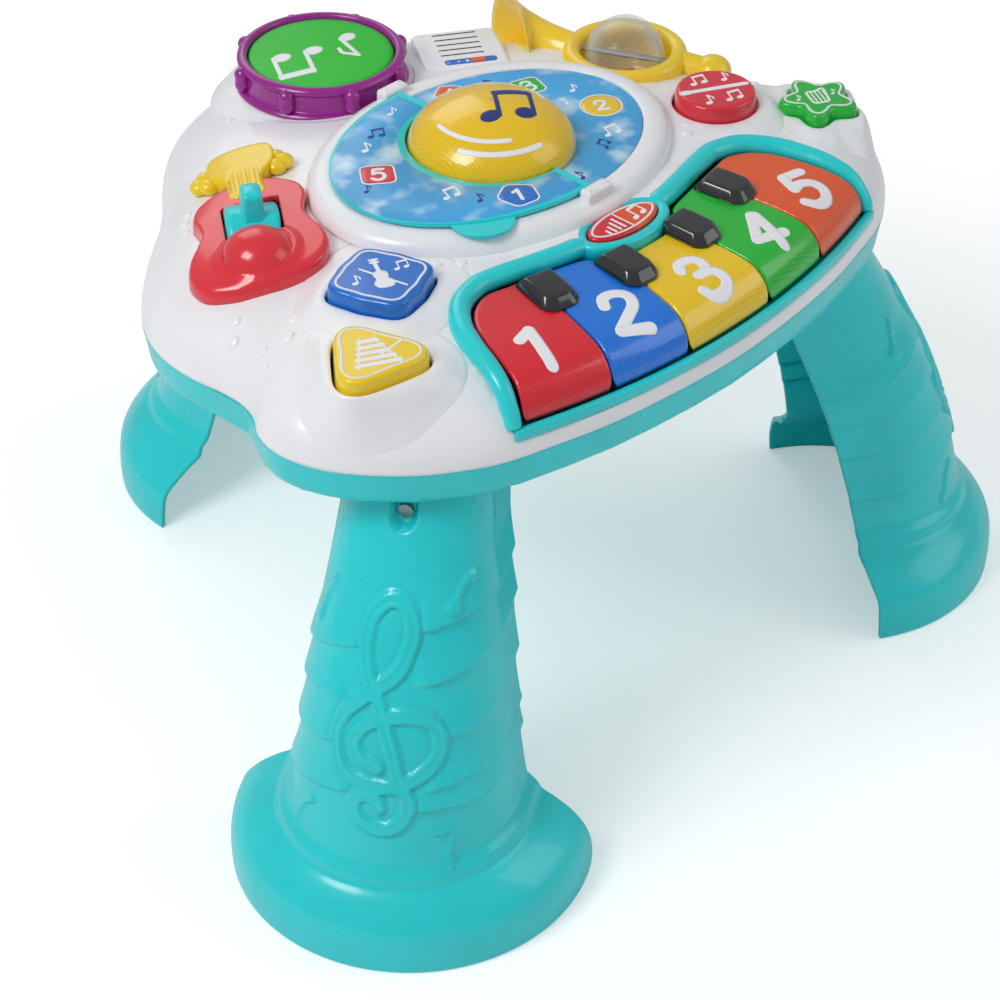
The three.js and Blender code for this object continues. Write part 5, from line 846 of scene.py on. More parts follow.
def blended(tree, factor, one, two):
    """Two colours, or sockets of colour, mixed by a factor."""
    mix = node(tree, "ShaderNodeMix", data_type="RGBA")
    tree.links.new(factor, mix.inputs[0])
    for socket, value in ((mix.inputs[6], one), (mix.inputs[7], two)):
        if isinstance(value, bpy.types.NodeSocket):
            tree.links.new(value, socket)
        else:
            socket.default_value = (*value, 1)
    return mix.outputs[2]


def bumped(tree, shader, height, depth, strength=1.0):
    """Bump from a height of 0 to 1 that stands for a depth in millimetres."""
    one = node(tree, "ShaderNodeBump", {"Strength": strength, "Distance": depth * MM})
    tree.links.new(height, one.inputs["Height"])
    tree.links.new(one.outputs["Normal"], shader.inputs["Normal"])


def coated(shader, weight, rough):
    """Clear coat of a weight and a roughness."""
    shader.inputs["Coat Weight"].default_value = weight
    shader.inputs["Coat Roughness"].default_value = rough


def settings(key):
    """One of the colour settings as a plain colour."""
    return tuple(getattr(colours(), key))


def shaded(rgb, share):
    """A colour made darker or lighter by a share."""
    return tuple(min(1.0, c * share) for c in rgb)


def moulded(name, key, rough=0.3, coat=0.3, grain=0.02, mottle=0.06, under=0.0, ribs=0.0):
    """Moulded plastic: broad soft mottling of the colour from slow noise, roughness that
    wanders with finer noise as handling leaves it, and a fine grain of the mould in the bump.
    With ribs, two crossing waves of that pitch in millimetres show under a clear surface, in the
    bump and as a painted highlight on their crests."""
    mat, tree, shader = fresh(name)
    base = settings(key)
    vector = place(tree)
    tint = spread(tree, noise(tree, vector, 26.0), 0.0, 1.0)
    colour_out = blended(tree, tint, shaded(base, 1.0 + mottle / 2), shaded(base, 1.0 - mottle))
    height = noise(tree, vector, 620.0, 1.0)
    depth = grain
    if ribs:
        waves = []
        for axis in ("X", "Y"):
            pitch = {"Scale": 0.314 / (ribs * MM), "Distortion": 0.0}
            wave = node(tree, "ShaderNodeTexWave", pitch, bands_direction=axis)
            tree.links.new(vector, wave.inputs["Vector"])
            waves.append(wave.outputs["Fac"])
        both = node(tree, "ShaderNodeMath", operation="MULTIPLY")
        tree.links.new(waves[0], both.inputs[0])
        tree.links.new(waves[1], both.inputs[1])
        # Painted highlight: the colour lightens towards white on the crests where the ribs cross.
        painted_rib_highlight = spread(tree, both.outputs[0], 0.0, 0.55, 0.0, 1.0)
        colour_out = blended(tree, painted_rib_highlight, colour_out, shaded(base, 1.7))
        height, depth = both.outputs[0], 0.12
    tree.links.new(colour_out, shader.inputs["Base Color"])
    wander = spread(tree, noise(tree, vector, 60.0, 1.0), max(0.03, rough - 0.04), rough + 0.04)
    tree.links.new(wander, shader.inputs["Roughness"])
    bumped(tree, shader, height, depth, 0.12 if not ribs else 0.5)
    coated(shader, coat, 0.08)
    shader.inputs["Subsurface Weight"].default_value = under
    shader.inputs["Subsurface Radius"].default_value = (0.004, 0.003, 0.002)
    shader.inputs["Subsurface Scale"].default_value = 1.0
    return mat


def printed(name, key, pale, rough=0.34):
    """Printed sky: soft clouds where slow noise is high, fine speckle of the ink in the colour
    and a slight orange peel of the lacquer in the bump."""
    mat, tree, shader = fresh(name)
    vector = place(tree)
    ground, light = settings(key), settings(pale)
    slow = spread(tree, noise(tree, vector, 14.0, 1.0), 0, 1)
    deep = blended(tree, slow, ground, shaded(ground, 0.72))
    cloud = spread(tree, noise(tree, vector, 48.0, 2.5, 0.45), 0.0, 0.95, 0.5, 0.72)
    clouded = blended(tree, cloud, deep, light)
    speck = spread(tree, noise(tree, vector, 900.0, 1.0), 0.0, 0.12, 0.45, 0.75)
    tree.links.new(blended(tree, speck, clouded, shaded(ground, 0.8)), shader.inputs["Base Color"])
    wander = spread(tree, noise(tree, vector, 160.0), rough - 0.05, rough + 0.06)
    tree.links.new(wander, shader.inputs["Roughness"])
    bumped(tree, shader, noise(tree, vector, 700.0, 2.0), 0.02, 0.3)
    coated(shader, 0.3, 0.12)
    return mat


def halved(name, left, right, rough=0.28):
    """Plastic of two colours that meet at x = 0, with the mottling and grain of the others."""
    mat, tree, shader = fresh(name)
    vector = place(tree)
    split = node(tree, "ShaderNodeSeparateXYZ")
    tree.links.new(vector, split.inputs[0])
    side = spread(tree, split.outputs["X"], 0.0, 1.0, -0.0001, 0.0001)
    both = blended(tree, side, settings(left), settings(right))
    tint = spread(tree, noise(tree, vector, 60.0), 0.0, 0.1)
    tree.links.new(blended(tree, tint, both, (0.02, 0.02, 0.02)), shader.inputs["Base Color"])
    wander = spread(tree, noise(tree, vector, 210.0), rough - 0.05, rough + 0.05)
    tree.links.new(wander, shader.inputs["Roughness"])
    bumped(tree, shader, noise(tree, vector, 1300.0, 2.0), 0.02, 0.3)
    shader.inputs["Coat Weight"].default_value = 0.4
    return mat


def brushed(name, key):
    """Plated steel: brushing from noise stretched along one axis, in roughness and bump."""
    mat, tree, shader = fresh(name)
    base = settings(key)
    vector = place(tree, scale=(1, 14, 14))
    lines = noise(tree, vector, 160.0, 4.0)
    toned = blended(tree, spread(tree, lines, 0, 1), base, shaded(base, 0.82))
    tree.links.new(toned, shader.inputs["Base Color"])
    tree.links.new(spread(tree, lines, 0.2, 0.42), shader.inputs["Roughness"])
    bumped(tree, shader, lines, 0.02, 0.3)
    shader.inputs["Metallic"].default_value = 1.0
    return mat


def glassy(name, key):
    """Clear moulded plastic: nearly open where it is seen square on and more opaque towards its
    edges by the facing of the layer, a painted reflection, with a wander of the roughness and
    slow waves of the mould in the bump."""
    mat, tree, shader = fresh(name)
    base = settings(key)
    vector = place(tree)
    tint = spread(tree, noise(tree, vector, 40.0), 0.0, 1.0)
    tree.links.new(blended(tree, tint, base, shaded(base, 0.95)), shader.inputs["Base Color"])
    # Painted reflection: the surface grows more opaque white towards its edges as the facing turns
    # away.
    facing = node(tree, "ShaderNodeLayerWeight", {"Blend": 0.35})
    tree.links.new(
        spread(tree, facing.outputs["Facing"], 0.07, 0.62, 0.15, 1.0), shader.inputs["Alpha"])
    tree.links.new(spread(tree, noise(tree, vector, 120.0), 0.02, 0.07), shader.inputs["Roughness"])
    bumped(tree, shader, noise(tree, vector, 60.0, 1.0), 0.05, 0.25)
    coated(shader, 1.0, 0.02)
    return mat


# Each finish: its maker, the slot it stands for and the maker's settings
FINISHES = {
    "teal_plastic": (moulded, "teal_plastic", "teal", 0.3, 0.32),
    "white_plastic": (moulded, "white_plastic", "white", 0.33, 0.3, 0.02, 0.03),
    "white_print": (moulded, "white_plastic", "white", 0.4, 0.1, 0.02, 0.03),
    "purple_plastic": (moulded, "purple_plastic", "purple", 0.26, 0.4),
    "drum_skin_plastic": (moulded, "green_plastic", "leaf", 0.42, 0.08, 0.03, 0.08, 0.05, 1.4),
    "guitar_red": (moulded, "red_plastic", "coral", 0.22, 0.5),
    "guitar_honey": (moulded, "yellow_plastic", "honey", 0.26, 0.4, 0.02, 0.06, 0.1),
    "trumpet_yellow": (moulded, "yellow_plastic", "brass", 0.26, 0.4, 0.02, 0.06, 0.1),
    "button_blue": (moulded, "blue_plastic", "cobalt", 0.24, 0.45),
    "button_yellow": (moulded, "yellow_plastic", "lemon", 0.26, 0.4, 0.02, 0.05, 0.1),
    "button_red": (moulded, "red_plastic", "rose", 0.24, 0.45),
    "button_green": (moulded, "green_plastic", "grass", 0.26, 0.4),
    "black_gloss": (moulded, "black_plastic", "soot", 0.12, 0.8, 0.01, 0.1),
    "dome_amber": (moulded, "amber_plastic", "amber", 0.18, 0.6, 0.02, 0.06, 0.2, 1.3),
    "sky_print": (printed, "sky_plastic", "sky", "haze"),
    "ink_print": (moulded, "blue_plastic", "ink", 0.4, 0.1, 0.02, 0.05),
    "mode_halves": (halved, "red_plastic", "key_red", "key_orange"),
    "clear_plastic": (glassy, "clear_plastic", "clear"),
    "steel": (brushed, "steel", "steel"),
    "screw_steel": (brushed, "steel", "screw"),
    "grey_rubber": (moulded, "grey_rubber", "rubber", 0.7, 0.0, 0.06, 0.1),
    "circuit_board": (moulded, "board", "board", 0.5, 0.1, 0.05, 0.12),
    "cell_jacket": (moulded, "cell_jacket", "jacket", 0.35, 0.3, 0.02, 0.08),
}
for tone in KEY_TONES:
    FINISHES["key_" + tone] = (
        moulded, tone + "_plastic", "key_" + tone, 0.16, 0.7, 0.02, 0.05, 0.12, 1.1)


def material(name):
    """One of the finishes, made when it is first asked for."""
    own = "finish_" + name
    if own not in bpy.data.materials:
        maker, _, *values = FINISHES[name]
        maker(own, *values)
    return bpy.data.materials[own]


# Shapes that several pieces share


def spaced(outline, count):
    """A closed outline at even distances along its straight sides."""
    p = np.asarray(outline, float)
    p = np.concatenate([p, p[:1]])
    along = np.concatenate([[0], np.cumsum(np.linalg.norm(np.diff(p, axis=0), axis=1))])
    want = np.linspace(0, along[-1], count + 1)[:-1]
    return np.stack([np.interp(want, along, p[:, k]) for k in range(p.shape[1])], -1)


def rounded_top(top, radius, steps=6):
    """Path over a rounded edge: a quarter circle from the wall to the flat."""
    a = np.linspace(0, math.pi / 2, steps)
    return [(-radius * (1 - math.cos(t)), top - radius * (1 - math.sin(t))) for t in a]


def moulded_block(outline, bottom, top, radius, crown=0.0):
    """Closed solid on a plan outline: straight walls, a rounded upper edge, and a top that
    rises to its middle by the square of the share."""
    path = [(0.05, bottom, True), (0.5, bottom, True), (0, bottom), (0, top - 1.6 * radius)]
    path += rounded_top(top, radius)
    reach = np.linalg.norm(outline - outline.mean(axis=0), axis=1).min()
    flat = 1 - 1.15 * radius / reach
    path += [(flat * s, top + crown * (1 - s ** 2), True)
             for s in (0.96, 0.85, 0.7, 0.5, 0.3, 0.1, 0.02)]
    return loft(raised(outline, path))


def stroke(points, width, height, lift, soft=0.0, closed=False):
    """Ribbon of a constant width with round ends, laid on a height field. Its half width near
    an end is the root of the end radius squared less the remaining reach squared."""
    path = eased(points, soft, 6, closed) if soft else np.asarray(points, float)
    if closed:
        path = spaced(path, max(40, int(len(path) * 2)))
        path = np.concatenate([path, path[:1]])
    along = np.concatenate([[0], np.cumsum(np.linalg.norm(np.diff(path, axis=0), axis=1))])
    r = width / 2
    if closed:
        want = along
        half = np.full(len(want), r)
    else:
        ends = r * (1 - np.cos(np.linspace(0, math.pi / 2, 7)))
        inner = np.linspace(r, along[-1] + r, max(3, int(along[-1] / max(0.7, width / 5))))
        want = np.concatenate([ends[:-1], inner, along[-1] + 2 * r - ends[::-1][1:]]) - r
        reach = np.clip(np.minimum(want + r, along[-1] + r - want), 0, r)
        half = np.sqrt(np.maximum(r ** 2 - (r - reach) ** 2, 1e-8))
    clamped = np.clip(want, 0, along[-1])
    line = np.stack([np.interp(clamped, along, path[:, k]) for k in (0, 1)], -1)
    way = np.gradient(line, axis=0)
    first, last = path[1] - path[0], path[-1] - path[-2]
    if closed:
        way[0] = way[-1] = path[1] - path[-2]
    else:
        way[want <= 0] = first
        way[want >= along[-1]] = last
    way /= np.linalg.norm(way, axis=1)[:, None] + 1e-12
    line = line + way * (want - clamped)[:, None]
    side = np.stack([-way[:, 1], way[:, 0]], -1)
    across = np.linspace(1, -1, 7)
    plan = line[:, None] + side[:, None] * (half[:, None] * across)[..., None]
    z = height(plan[..., 0], plan[..., 1])
    top = np.concatenate([plan, (z + lift)[..., None]], -1)
    low = np.concatenate([plan, (z - PRINT_DEPTH)[..., None]], -1)[:, ::-1]
    return loft(np.concatenate([top, low], axis=1))


def patch(outline, height, lift):
    """Filled shape laid on a height field, in rings that shrink towards its middle."""
    shares = (1, 0.8, 0.6, 0.4, 0.2, 0.04)
    low, high = beside(height, -PRINT_DEPTH), beside(height, lift)
    path = [(shares[-1], low, True), (1, low, True)] + [(s, high, True) for s in shares]
    return loft(raised(outline, path))


def edging(outline, outer, inner, height, lift):
    """Closed ribbon between two reaches of an outline, laid on a height field."""
    low, high = beside(height, -PRINT_DEPTH), beside(height, lift)
    rings = [(outer, low), (outer, high), (inner, high), (inner, low)]
    return loft(raised(outline, rings), loop=True)


def at_level(z):
    """A flat height field."""
    return lambda x, y: np.full(np.shape(x), float(z))


def beside(height, offset):
    """A height field moved up or down."""
    return lambda x, y: height(x, y) + offset


# How far a print reaches into what carries it
PRINT_DEPTH = 0.3

# Digits as strokes on a unit box, with the softness of their corners
DIGITS = {
    1: ([[(0.12, 0.78), (0.4, 0.97)], [(0.4, 0.98), (0.4, 0.0)]], 0.02),
    2: ([[(0.03, 0.72), (0.08, 0.98), (0.34, 1.06), (0.62, 0.94), (0.6, 0.62), (0.4, 0.4),
          (0.06, 0.03)],
         [(0.05, 0.0), (0.66, 0.0)]], 0.3),
    3: ([[(0.04, 0.84), (0.14, 1.03), (0.4, 1.05), (0.62, 0.9), (0.56, 0.58), (0.28, 0.54)],
         [(0.26, 0.54), (0.64, 0.52), (0.7, 0.14), (0.46, -0.05), (0.12, -0.05),
          (0.02, 0.16)]], 0.3),
    4: ([[(0.44, 1.0), (0.04, 0.3)], [(0.03, 0.28), (0.72, 0.28)],
         [(0.5, 0.96), (0.5, 0.0)]], 0.02),
    5: ([[(0.62, 1.0), (0.16, 1.0)], [(0.15, 0.98), (0.1, 0.58)],
         [(0.1, 0.56), (0.3, 0.68), (0.6, 0.6), (0.7, 0.3), (0.54, 0.0), (0.2, -0.06),
          (0.02, 0.12)]], 0.3),
}


def digit(number, foot, head, width, height, lift):
    """A digit from its foot to its head in plan: the unit box is carried by the vector between
    them and the one square to it."""
    foot, head = np.array(foot, float), np.array(head, float)
    up = head - foot
    right = np.array([up[1], -up[0]])
    strokes, soft = DIGITS[number]
    reach = np.linalg.norm(up)
    shapes = []
    for k, points in enumerate(strokes):
        p = np.array(points)
        plan = foot + p[:, 1:] * up + (p[:, :1] - 0.34) * right
        shapes.append(stroke(plan, width, height, lift * (1 + 0.16 * k), soft * reach))
    return merged(*shapes)


def notes(x, y, size, turn, height, lift, pair=True):
    """A music note, or a pair under a beam: oval heads, straight stems and a beam or a flag."""
    def put(points):
        return turned_plan(np.array(points, float) * size, x, y, turn)
    line, bold = 0.15 * size, 0.3 * size
    heads = [(0, 0)] + ([(1.1, 0.18)] if pair else [])
    shapes = []
    for hx, hy in heads:
        shapes.append(patch(put(turned_plan(oval(0.34, 0.25, 28), hx, hy, 20)), height, lift))
    for hx, hy in heads:
        stem = put([(hx + 0.28, hy), (hx + 0.28, hy + 1.35)])
        shapes.append(stroke(stem, line, height, lift * 1.12))
    if pair:
        shapes.append(stroke(put([(0.34, 1.26), (1.34, 1.43)]), bold, height, lift * 1.24))
    else:
        flag = put([(0.3, 1.35), (0.5, 1.1), (0.72, 0.95), (0.66, 0.62)])
        shapes.append(stroke(flag, line, height, lift * 1.24, bold))
    return merged(*shapes)


# Play top and lower shell


def shell_wall(obj, thickness):
    """Gives an open skin its wall, on the inside of the surface."""
    wall = obj.modifiers.new("wall", "SOLIDIFY")
    wall.thickness = thickness * MM
    wall.offset = -1


def smooth_share(value):
    """Smooth step from 0 to 1: three squares less two cubes of the clamped value."""
    t = np.clip(value, 0, 1)
    return t * t * (3 - 2 * t)


class TABLE_OT_crown(bpy.types.Operator):
    """Play top: a grid of angles and of height shares w. Near the edge the way out is the root
    of order p of one less w squared, further in the way shrinks evenly to the bezel."""

    bl_idname = "activity_table.crown"
    bl_label = "Play top"

    def execute(self, context):
        angles = np.arange(540) * TAU / 540
        w = np.array(CROWN_ROWS)
        power, edge = edge_power(angles), edge_radius(angles)
        outer = edge * (1 - w[:, None] ** 2) ** (1 / power)
        inner = 1 / np.hypot(np.cos(angles) / 100, np.sin(angles) / 73)
        inward = outer[-1] + np.linspace(0, 1, 44)[1:, None] * (inner - outer[-1])
        radius = np.concatenate([outer, inward])
        x, y = radius * np.cos(angles), radius * np.sin(angles)
        z = crown_at(x * 0.99999, y * 0.99999)
        z[:len(w)] = SEAM + CROWN_RISE * w[:, None]
        grid = np.stack([x, y, z], -1)
        faces = skin_faces(len(radius), len(angles))
        verts = grid.reshape(-1, 3)
        mid = verts[faces].mean(axis=1)
        bar = bar_path(120)[:, :2]
        front = [(136, -190), (-136, -190)]
        inside = np.concatenate([bar, front if bar[-1, 0] > 0 else front[::-1]])
        hole = plan_distance(mid[:, 0], mid[:, 1], inside) < 0.2
        hole &= mid[:, 2] > SEAM + 0.19 * CROWN_RISE
        for name in BUTTONS:
            hole |= plan_distance(mid[:, 0], mid[:, 1], button_outline(name, 5.0)) < 0
        hole |= np.hypot(mid[:, 0] - BALL[0], mid[:, 1] - BALL[1]) < 31
        hole |= np.hypot(mid[:, 0], mid[:, 1] - DRUM_Y) < 46
        hole |= np.hypot(mid[:, 0] / MODE_HOLE[0], (mid[:, 1] - MODE_PLACE[1]) / MODE_HOLE[1]) < 1
        slot = into_guitar(mid[:, 0], mid[:, 1])
        hole |= (np.abs(slot[0] - LEVER_ALONG) < 20) & (np.abs(slot[1]) < 15.5)
        crown = make_piece(
            "play_top", (verts, [faces[~hole]]),
            "white_plastic", replaces=("top_shell",),
        )
        shell_wall(crown, mm("wall"))
        return {"FINISHED"}


class TABLE_OT_crown_bumps(bpy.types.Operator):
    """Small round bumps in clusters on the play top: caps whose height is the bump height times
    one less the square of the way out from their middle."""

    bl_idname = "activity_table.crown_bumps"
    bl_label = "Play top bumps"

    def execute(self, context):
        shapes = []
        for x, y, r in CROWN_BUMPS:
            rise = mm("dimple") * r / 3.4
            path = [(1.02, beside(crown_at, -0.6), True)]
            for share in (1, 0.9, 0.76, 0.6, 0.4, 0.2, 0.03):
                path.append((share, beside(crown_at, rise * (1 - share ** 4)), True))
            shapes.append(loft(raised(oval(r, r, 28, x, y), path)))
        make_piece("play_top_bumps", merged(*shapes), "white_plastic")
        return {"FINISHED"}


class TABLE_OT_collars(bpy.types.Operator):
    """Raised collars round the buttons and the drum pad: the height falls from the collar's top
    by a rounded slope, and ends in the crown."""

    bl_idname = "activity_table.collars"
    bl_label = "Button collars and drum pad"

    def execute(self, context):
        reaches = np.array([0, 0.5, 1.2, 2.0, 3.0, 4.0, 5.2, 6.6, 8.2, 10, 12, 14.2, 16.6])
        shapes = []
        for name in BUTTONS:
            outline = button_outline(name, mm("gap"), 200)
            top = max(collar_top(name), crown_at(outline[:, 0], outline[:, 1]).max() + 0.5)
            centre = np.array(BUTTONS[name][:2])
            way = (outline - centre) / np.linalg.norm(outline - centre, axis=1)[:, None]
            room = -plan_distance(outline[:, 0], outline[:, 1], PLAY[::6])
            spare = np.clip((room - 1.0) / 20, 0.2, 1)
            spare = sum(np.roll(spare, k) for k in range(-6, 7)) / 13

            def ring(reach, height):
                """The outline moved out by a reach, less where there is little room."""
                plan = outline + way * (reach * spare)[:, None]
                return np.concatenate([plan, height(plan[:, 0], plan[:, 1])[:, None]], axis=1)

            def slope(x, y):
                """Height of a collar: its rim, eased down to the play top."""
                low = crown_at(x, y) + 0.15
                return np.maximum((top - soft) * (1 - share) + share * low, low)

            rings = [ring(0, at_level(top - 7.0))]
            for reach in reaches:
                soft = 0.35 * max(0, 1 - reach / 1.2) ** 2
                share = smooth_share((reach - 2.2) / 15)
                rings.append(ring(reach, slope))
            rings.append(ring(17.6, beside(crown_at, -0.9)))
            rings.append(ring(8, lambda x, y: np.minimum(top - 9, crown_at(x, y) - 2.2)))
            shapes.append(loft(rings, loop=True))
        pad = oval(42, 42, 200, 0, DRUM_Y)
        path = [(0, SEAT - 6.5), (0, SEAT - 0.6), (0.6, SEAT - 0.2), (7.2, SEAT - 0.2),
                (8, SEAT - 0.9)]
        for r in (1, 2.5, 4.5, 7, 10, 13):
            path.append((8 + r, lambda x, y, r=r: np.maximum(
                SEAT - 1 - 14 * smooth_share(r / 16), crown_at(x, y) + 0.2 - 0.05 * r)))
        path += [(21.2, beside(crown_at, -1.6)), (8, beside(crown_at, -2.2))]
        shapes.append(loft(raised(pad, path), loop=True))
        make_piece("button_collars", merged(*shapes), "white_plastic")
        return {"FINISHED"}


class TABLE_OT_bezel(bpy.types.Operator):
    """Bezel round the printed disc: ellipse rings whose reach and height follow a rounded
    profile, with the two saddles that hold the page's pins."""

    bl_idname = "activity_table.bezel"
    bl_label = "Bezel and page saddles"

    def execute(self, context):
        rise = DISC + 0.7 - CROWN
        rx, ry = BEZEL_HALVES
        low = DISC - 2.3 - CROWN
        profile = [(rx, ry, -1.6), (rx, ry, 0)]
        profile += [(rx * s, ry * s, z * rise) for s, z in BEZEL_OUTER]
        profile += [(x, y, rise + z) for x, y, z in BEZEL_LIP]
        profile += [(*BEZEL_LIP[-1][:2], low), (90, 64, low), (90, 64, -1.6)]
        rings = [np.insert(oval(x, y, 240), 2, CROWN + z, axis=1) for x, y, z in profile]
        saddles = []
        for side in (-1, 1):
            outline = spaced(block(*SADDLE_BLOCK), 96) + [0, SADDLE_Y * side]
            saddles.append(moulded_block(outline, CROWN - 2, PAGE_AXIS + 3.3, SADDLE_EDGE))
        make_piece("disc_bezel", merged(loft(rings, loop=True), *saddles), "white_plastic")
        return {"FINISHED"}


class TABLE_OT_housing(bpy.types.Operator):
    """Sound housing: a block with rounded edges on the crown, five black strips as painted shade in
    its slots, and a label with three dots that grow."""

    bl_idname = "activity_table.housing"
    bl_label = "Sound housing"

    def execute(self, context):
        x, y, turn = HOUSING
        top = float(crown_at(x, y)) + HOUSING_RISE
        outline = turned_plan(spaced(block(*HOUSING_BLOCK, 8), 200), x, y, turn)
        body = moulded_block(outline, beside(crown_at, -2.5), top, HOUSING_EDGE)
        make_piece("sound_housing", body, "white_plastic")
        # Black strips laid over the slots: painted shade where the openings are.
        slots = []
        for k in range(SLOT_COUNT):
            across = (k - SLOT_COUNT // 2) * SLOT_STEP + SLOT_START
            line = turned_plan([(-SLOT_HALF, across), (SLOT_HALF, across)], x, y, turn)
            slots.append(stroke(line, SLOT_WIDTH, at_level(top), 0.05))
        make_piece("sound_slots", merged(*slots), "black_gloss")
        place_at = turned_plan([(LABEL_X, LABEL_Y)], x, y, turn)[0]
        outline = turned_plan(spaced(block(*LABEL_BLOCK), 96), *place_at, turn)
        label = patch(outline, at_level(top), 0.1)
        make_piece("sound_label", label, "button_blue")
        dots = []
        for at, r in LABEL_DOTS:
            place_at = turned_plan([(at, LABEL_Y)], x, y, turn)[0]
            dots.append(patch(oval(r, r, 24, *place_at), at_level(top + 0.1), 0.08))
        make_piece("sound_label_dots", merged(*dots), "white_print")
        return {"FINISHED"}


class TABLE_OT_band(bpy.types.Operator):
    """Outer band of the lower shell: a profile of reach and height carried round the play top's
    outline, drafted inwards to a rounded lower edge, with a fine groove under the seam."""

    bl_idname = "activity_table.band"
    bl_label = "Lower shell band"

    def execute(self, context):
        low, high = BAND_BOTTOM, SEAM - 0.3
        rise = high - low
        path = [(-6, low - 0.1), (-3.6, low - 0.1), (-2.6, low + 0.4), (-2.0, low + 1.6)]
        path += [(-2.0 + 2.1 * s, low + 1.6 + (rise - 1.6) * s) for s in (0.3, 0.6, 0.86)]
        path += [(-0.1, high - 1.5), (0.1, high - 0.9), (-0.1, high - 0.2)]
        path += [(-0.6, high), (-2.0, high), (-3.4, low + 1.6)]
        make_piece("lower_band", loft(raised(PLAY, path), loop=True), "teal_plastic")
        return {"FINISHED"}


# Legs


def leg_relief(theta, radius, z):
    """Height of the moulding on a leg, from the angle about its axis in degrees and the height:
    distance fields of the clef's curves give a raised band with a fine groove beside it, lines
    give steps that fade upwards, note outlines give small raised heads and stems."""
    rad = math.pi / 180

    def distance(points, closed=False, steps=140):
        """Distance of each point of the leg from a line drawn on it, in millimetres."""
        line = flowing(points, steps, closed)
        best = np.full(theta.shape, 1e9)
        for part in np.array_split(line, 14):
            dx = (theta[..., None] - part[:, 0]) * rad * radius[..., None]
            dz = z[..., None] - part[:, 1]
            best = np.minimum(best, np.sqrt(dx ** 2 + dz ** 2).min(axis=-1))
        return best

    h = np.zeros(theta.shape)
    for points, first, last in LEG_STEPS:
        line = flowing(points, 60)
        if line[0, 0] > line[-1, 0]:
            line = line[::-1]
        level = np.interp(theta, line[:, 0], line[:, 1])
        above = z - level
        fade = np.clip(1 - above / 19, 0, 1) ** 1.2 * smooth_share((above + 0.6) / 1.0)
        inside = smooth_share((theta - first) / 7) * smooth_share((last - theta) / 7)
        h += mm("step") * fade * inside
    clef = np.minimum(distance(CLEF_LOOP), distance(CLEF_STEM))
    flat = smooth_share((clef - 2.4) / 2.6)
    h *= 0.35 + 0.65 * flat
    h += mm("relief") * (1 - smooth_share((clef - 2.9) / 1.1))
    h -= 0.5 * np.exp(-((clef - 4.6) / 0.7) ** 2)
    h -= 0.65 * (1 - smooth_share((clef - 1.1) / 0.9))
    for points in LEG_NOTES:
        stem = distance(points, steps=36)
        head = np.hypot((theta - points[0][0]) * rad * radius, (z - points[0][1]) * 1.25)
        tail = np.hypot((theta - points[-1][0]) * rad * radius, (z - points[-1][1]) * 1.25)
        note = np.minimum(np.minimum(head - 3.3, tail - 1.8), stem - 0.8)
        h += 1.6 * (1 - smooth_share((note - 0.1) / 1.1))
    across = theta * rad * radius
    pocket = np.where(z > SCREW_HEIGHT, np.abs(across), np.hypot(across, z - SCREW_HEIGHT)) - 7.2
    sunk = 1 - smooth_share((pocket + 1.1) / 1.2)
    lip = np.exp(-((pocket - 0.9) / 1.1) ** 2)
    bead = 0.7 * np.exp(-((z - 45) / 3.2) ** 2)
    return (h + bead) * (1 - sunk) + 0.4 * lip - 6.6 * sunk


def leg_grid(columns=192, rows=224):
    """One leg in its own plan frame, outwards first: at each height a half circle between two
    straight sides, whose centre, radius and sides follow the stations, moved outwards along
    the circle by the relief."""
    heights, centres, radii, sides = np.array(LEG_STATIONS).T
    curve = flowing(np.stack([heights, centres, radii, sides], -1), 240)
    share = np.concatenate([[0, 0.002, 0.004], np.linspace(0, 1, rows)[1:]])
    at = [np.interp(share, curve[:, 0], curve[:, k]) for k in (1, 2, 3)]
    centre, radius, side = at[0] * LEG_LEAN, at[1] * FOOT_RADIUS, at[2] * LEG_DEPTH
    z = share * LEG_HEIGHT
    n = columns // 6
    side_t = 1 + np.linspace(0, 1, n + 1)[1:]
    t = np.concatenate([-side_t[::-1], np.linspace(-1, 1, columns - 2 * n), side_t])
    t = np.broadcast_to(t, (len(z), len(t)))
    arc = np.clip(t, -1, 1) * math.pi / 2
    back = np.clip(np.abs(t) - 1, 0, 1) * side[:, None]
    theta = np.degrees(arc) + np.sign(t) * np.degrees(back / radius[:, None])
    zz = np.broadcast_to(z[:, None], t.shape)
    rr = np.broadcast_to(radius[:, None], t.shape)
    r = rr + leg_relief(theta, rr, zz)
    lip = np.array([-0.9, -0.35, 0.0] + [0.0] * (len(z) - 3))
    r = r + lip[:, None]
    u = centre[:, None] + r * np.cos(arc) - back
    v = r * np.sin(arc)
    return u, v, zz


class TABLE_OT_legs(bpy.types.Operator):
    """Three legs: open half shells with a flared foot, a clef, steps and notes in relief, and
    the pocket of the screw."""

    bl_idname = "activity_table.legs"
    bl_label = "Legs"

    def execute(self, context):
        u, v, z = leg_grid()
        for name, (x, y, facing) in LEG_PLACES.items():
            c, s = math.cos(math.radians(facing)), math.sin(math.radians(facing))
            px = x + u * c - v * s
            py = y + u * s + v * c
            grid = np.stack([px, py, z], -1)
            faces = skin_faces(*z.shape, closed=False)
            leg = make_piece(
                name + "_moulded", (grid.reshape(-1, 3), [faces]),
                "teal_plastic", replaces=(name,),
            )
            shell_wall(leg, mm("wall"))
        return {"FINISHED"}


# Piano


def clipped(outline, point, normal):
    """The part of a closed outline behind a line: points behind it, and where a side crosses it
    the point that shares the side by the two distances."""
    side = (outline - point) @ np.asarray(normal)
    after = np.roll(side, -1)
    i = np.nonzero((side <= 0) != (after <= 0))[0]
    t = side[i] / (side[i] - after[i])
    meet = outline[i] + t[:, None] * (np.roll(outline, -1, axis=0)[i] - outline[i])
    keep = np.nonzero(side <= 0)[0]
    order = np.concatenate([keep, i + 0.5])
    return np.concatenate([outline[keep], meet])[np.argsort(order)]


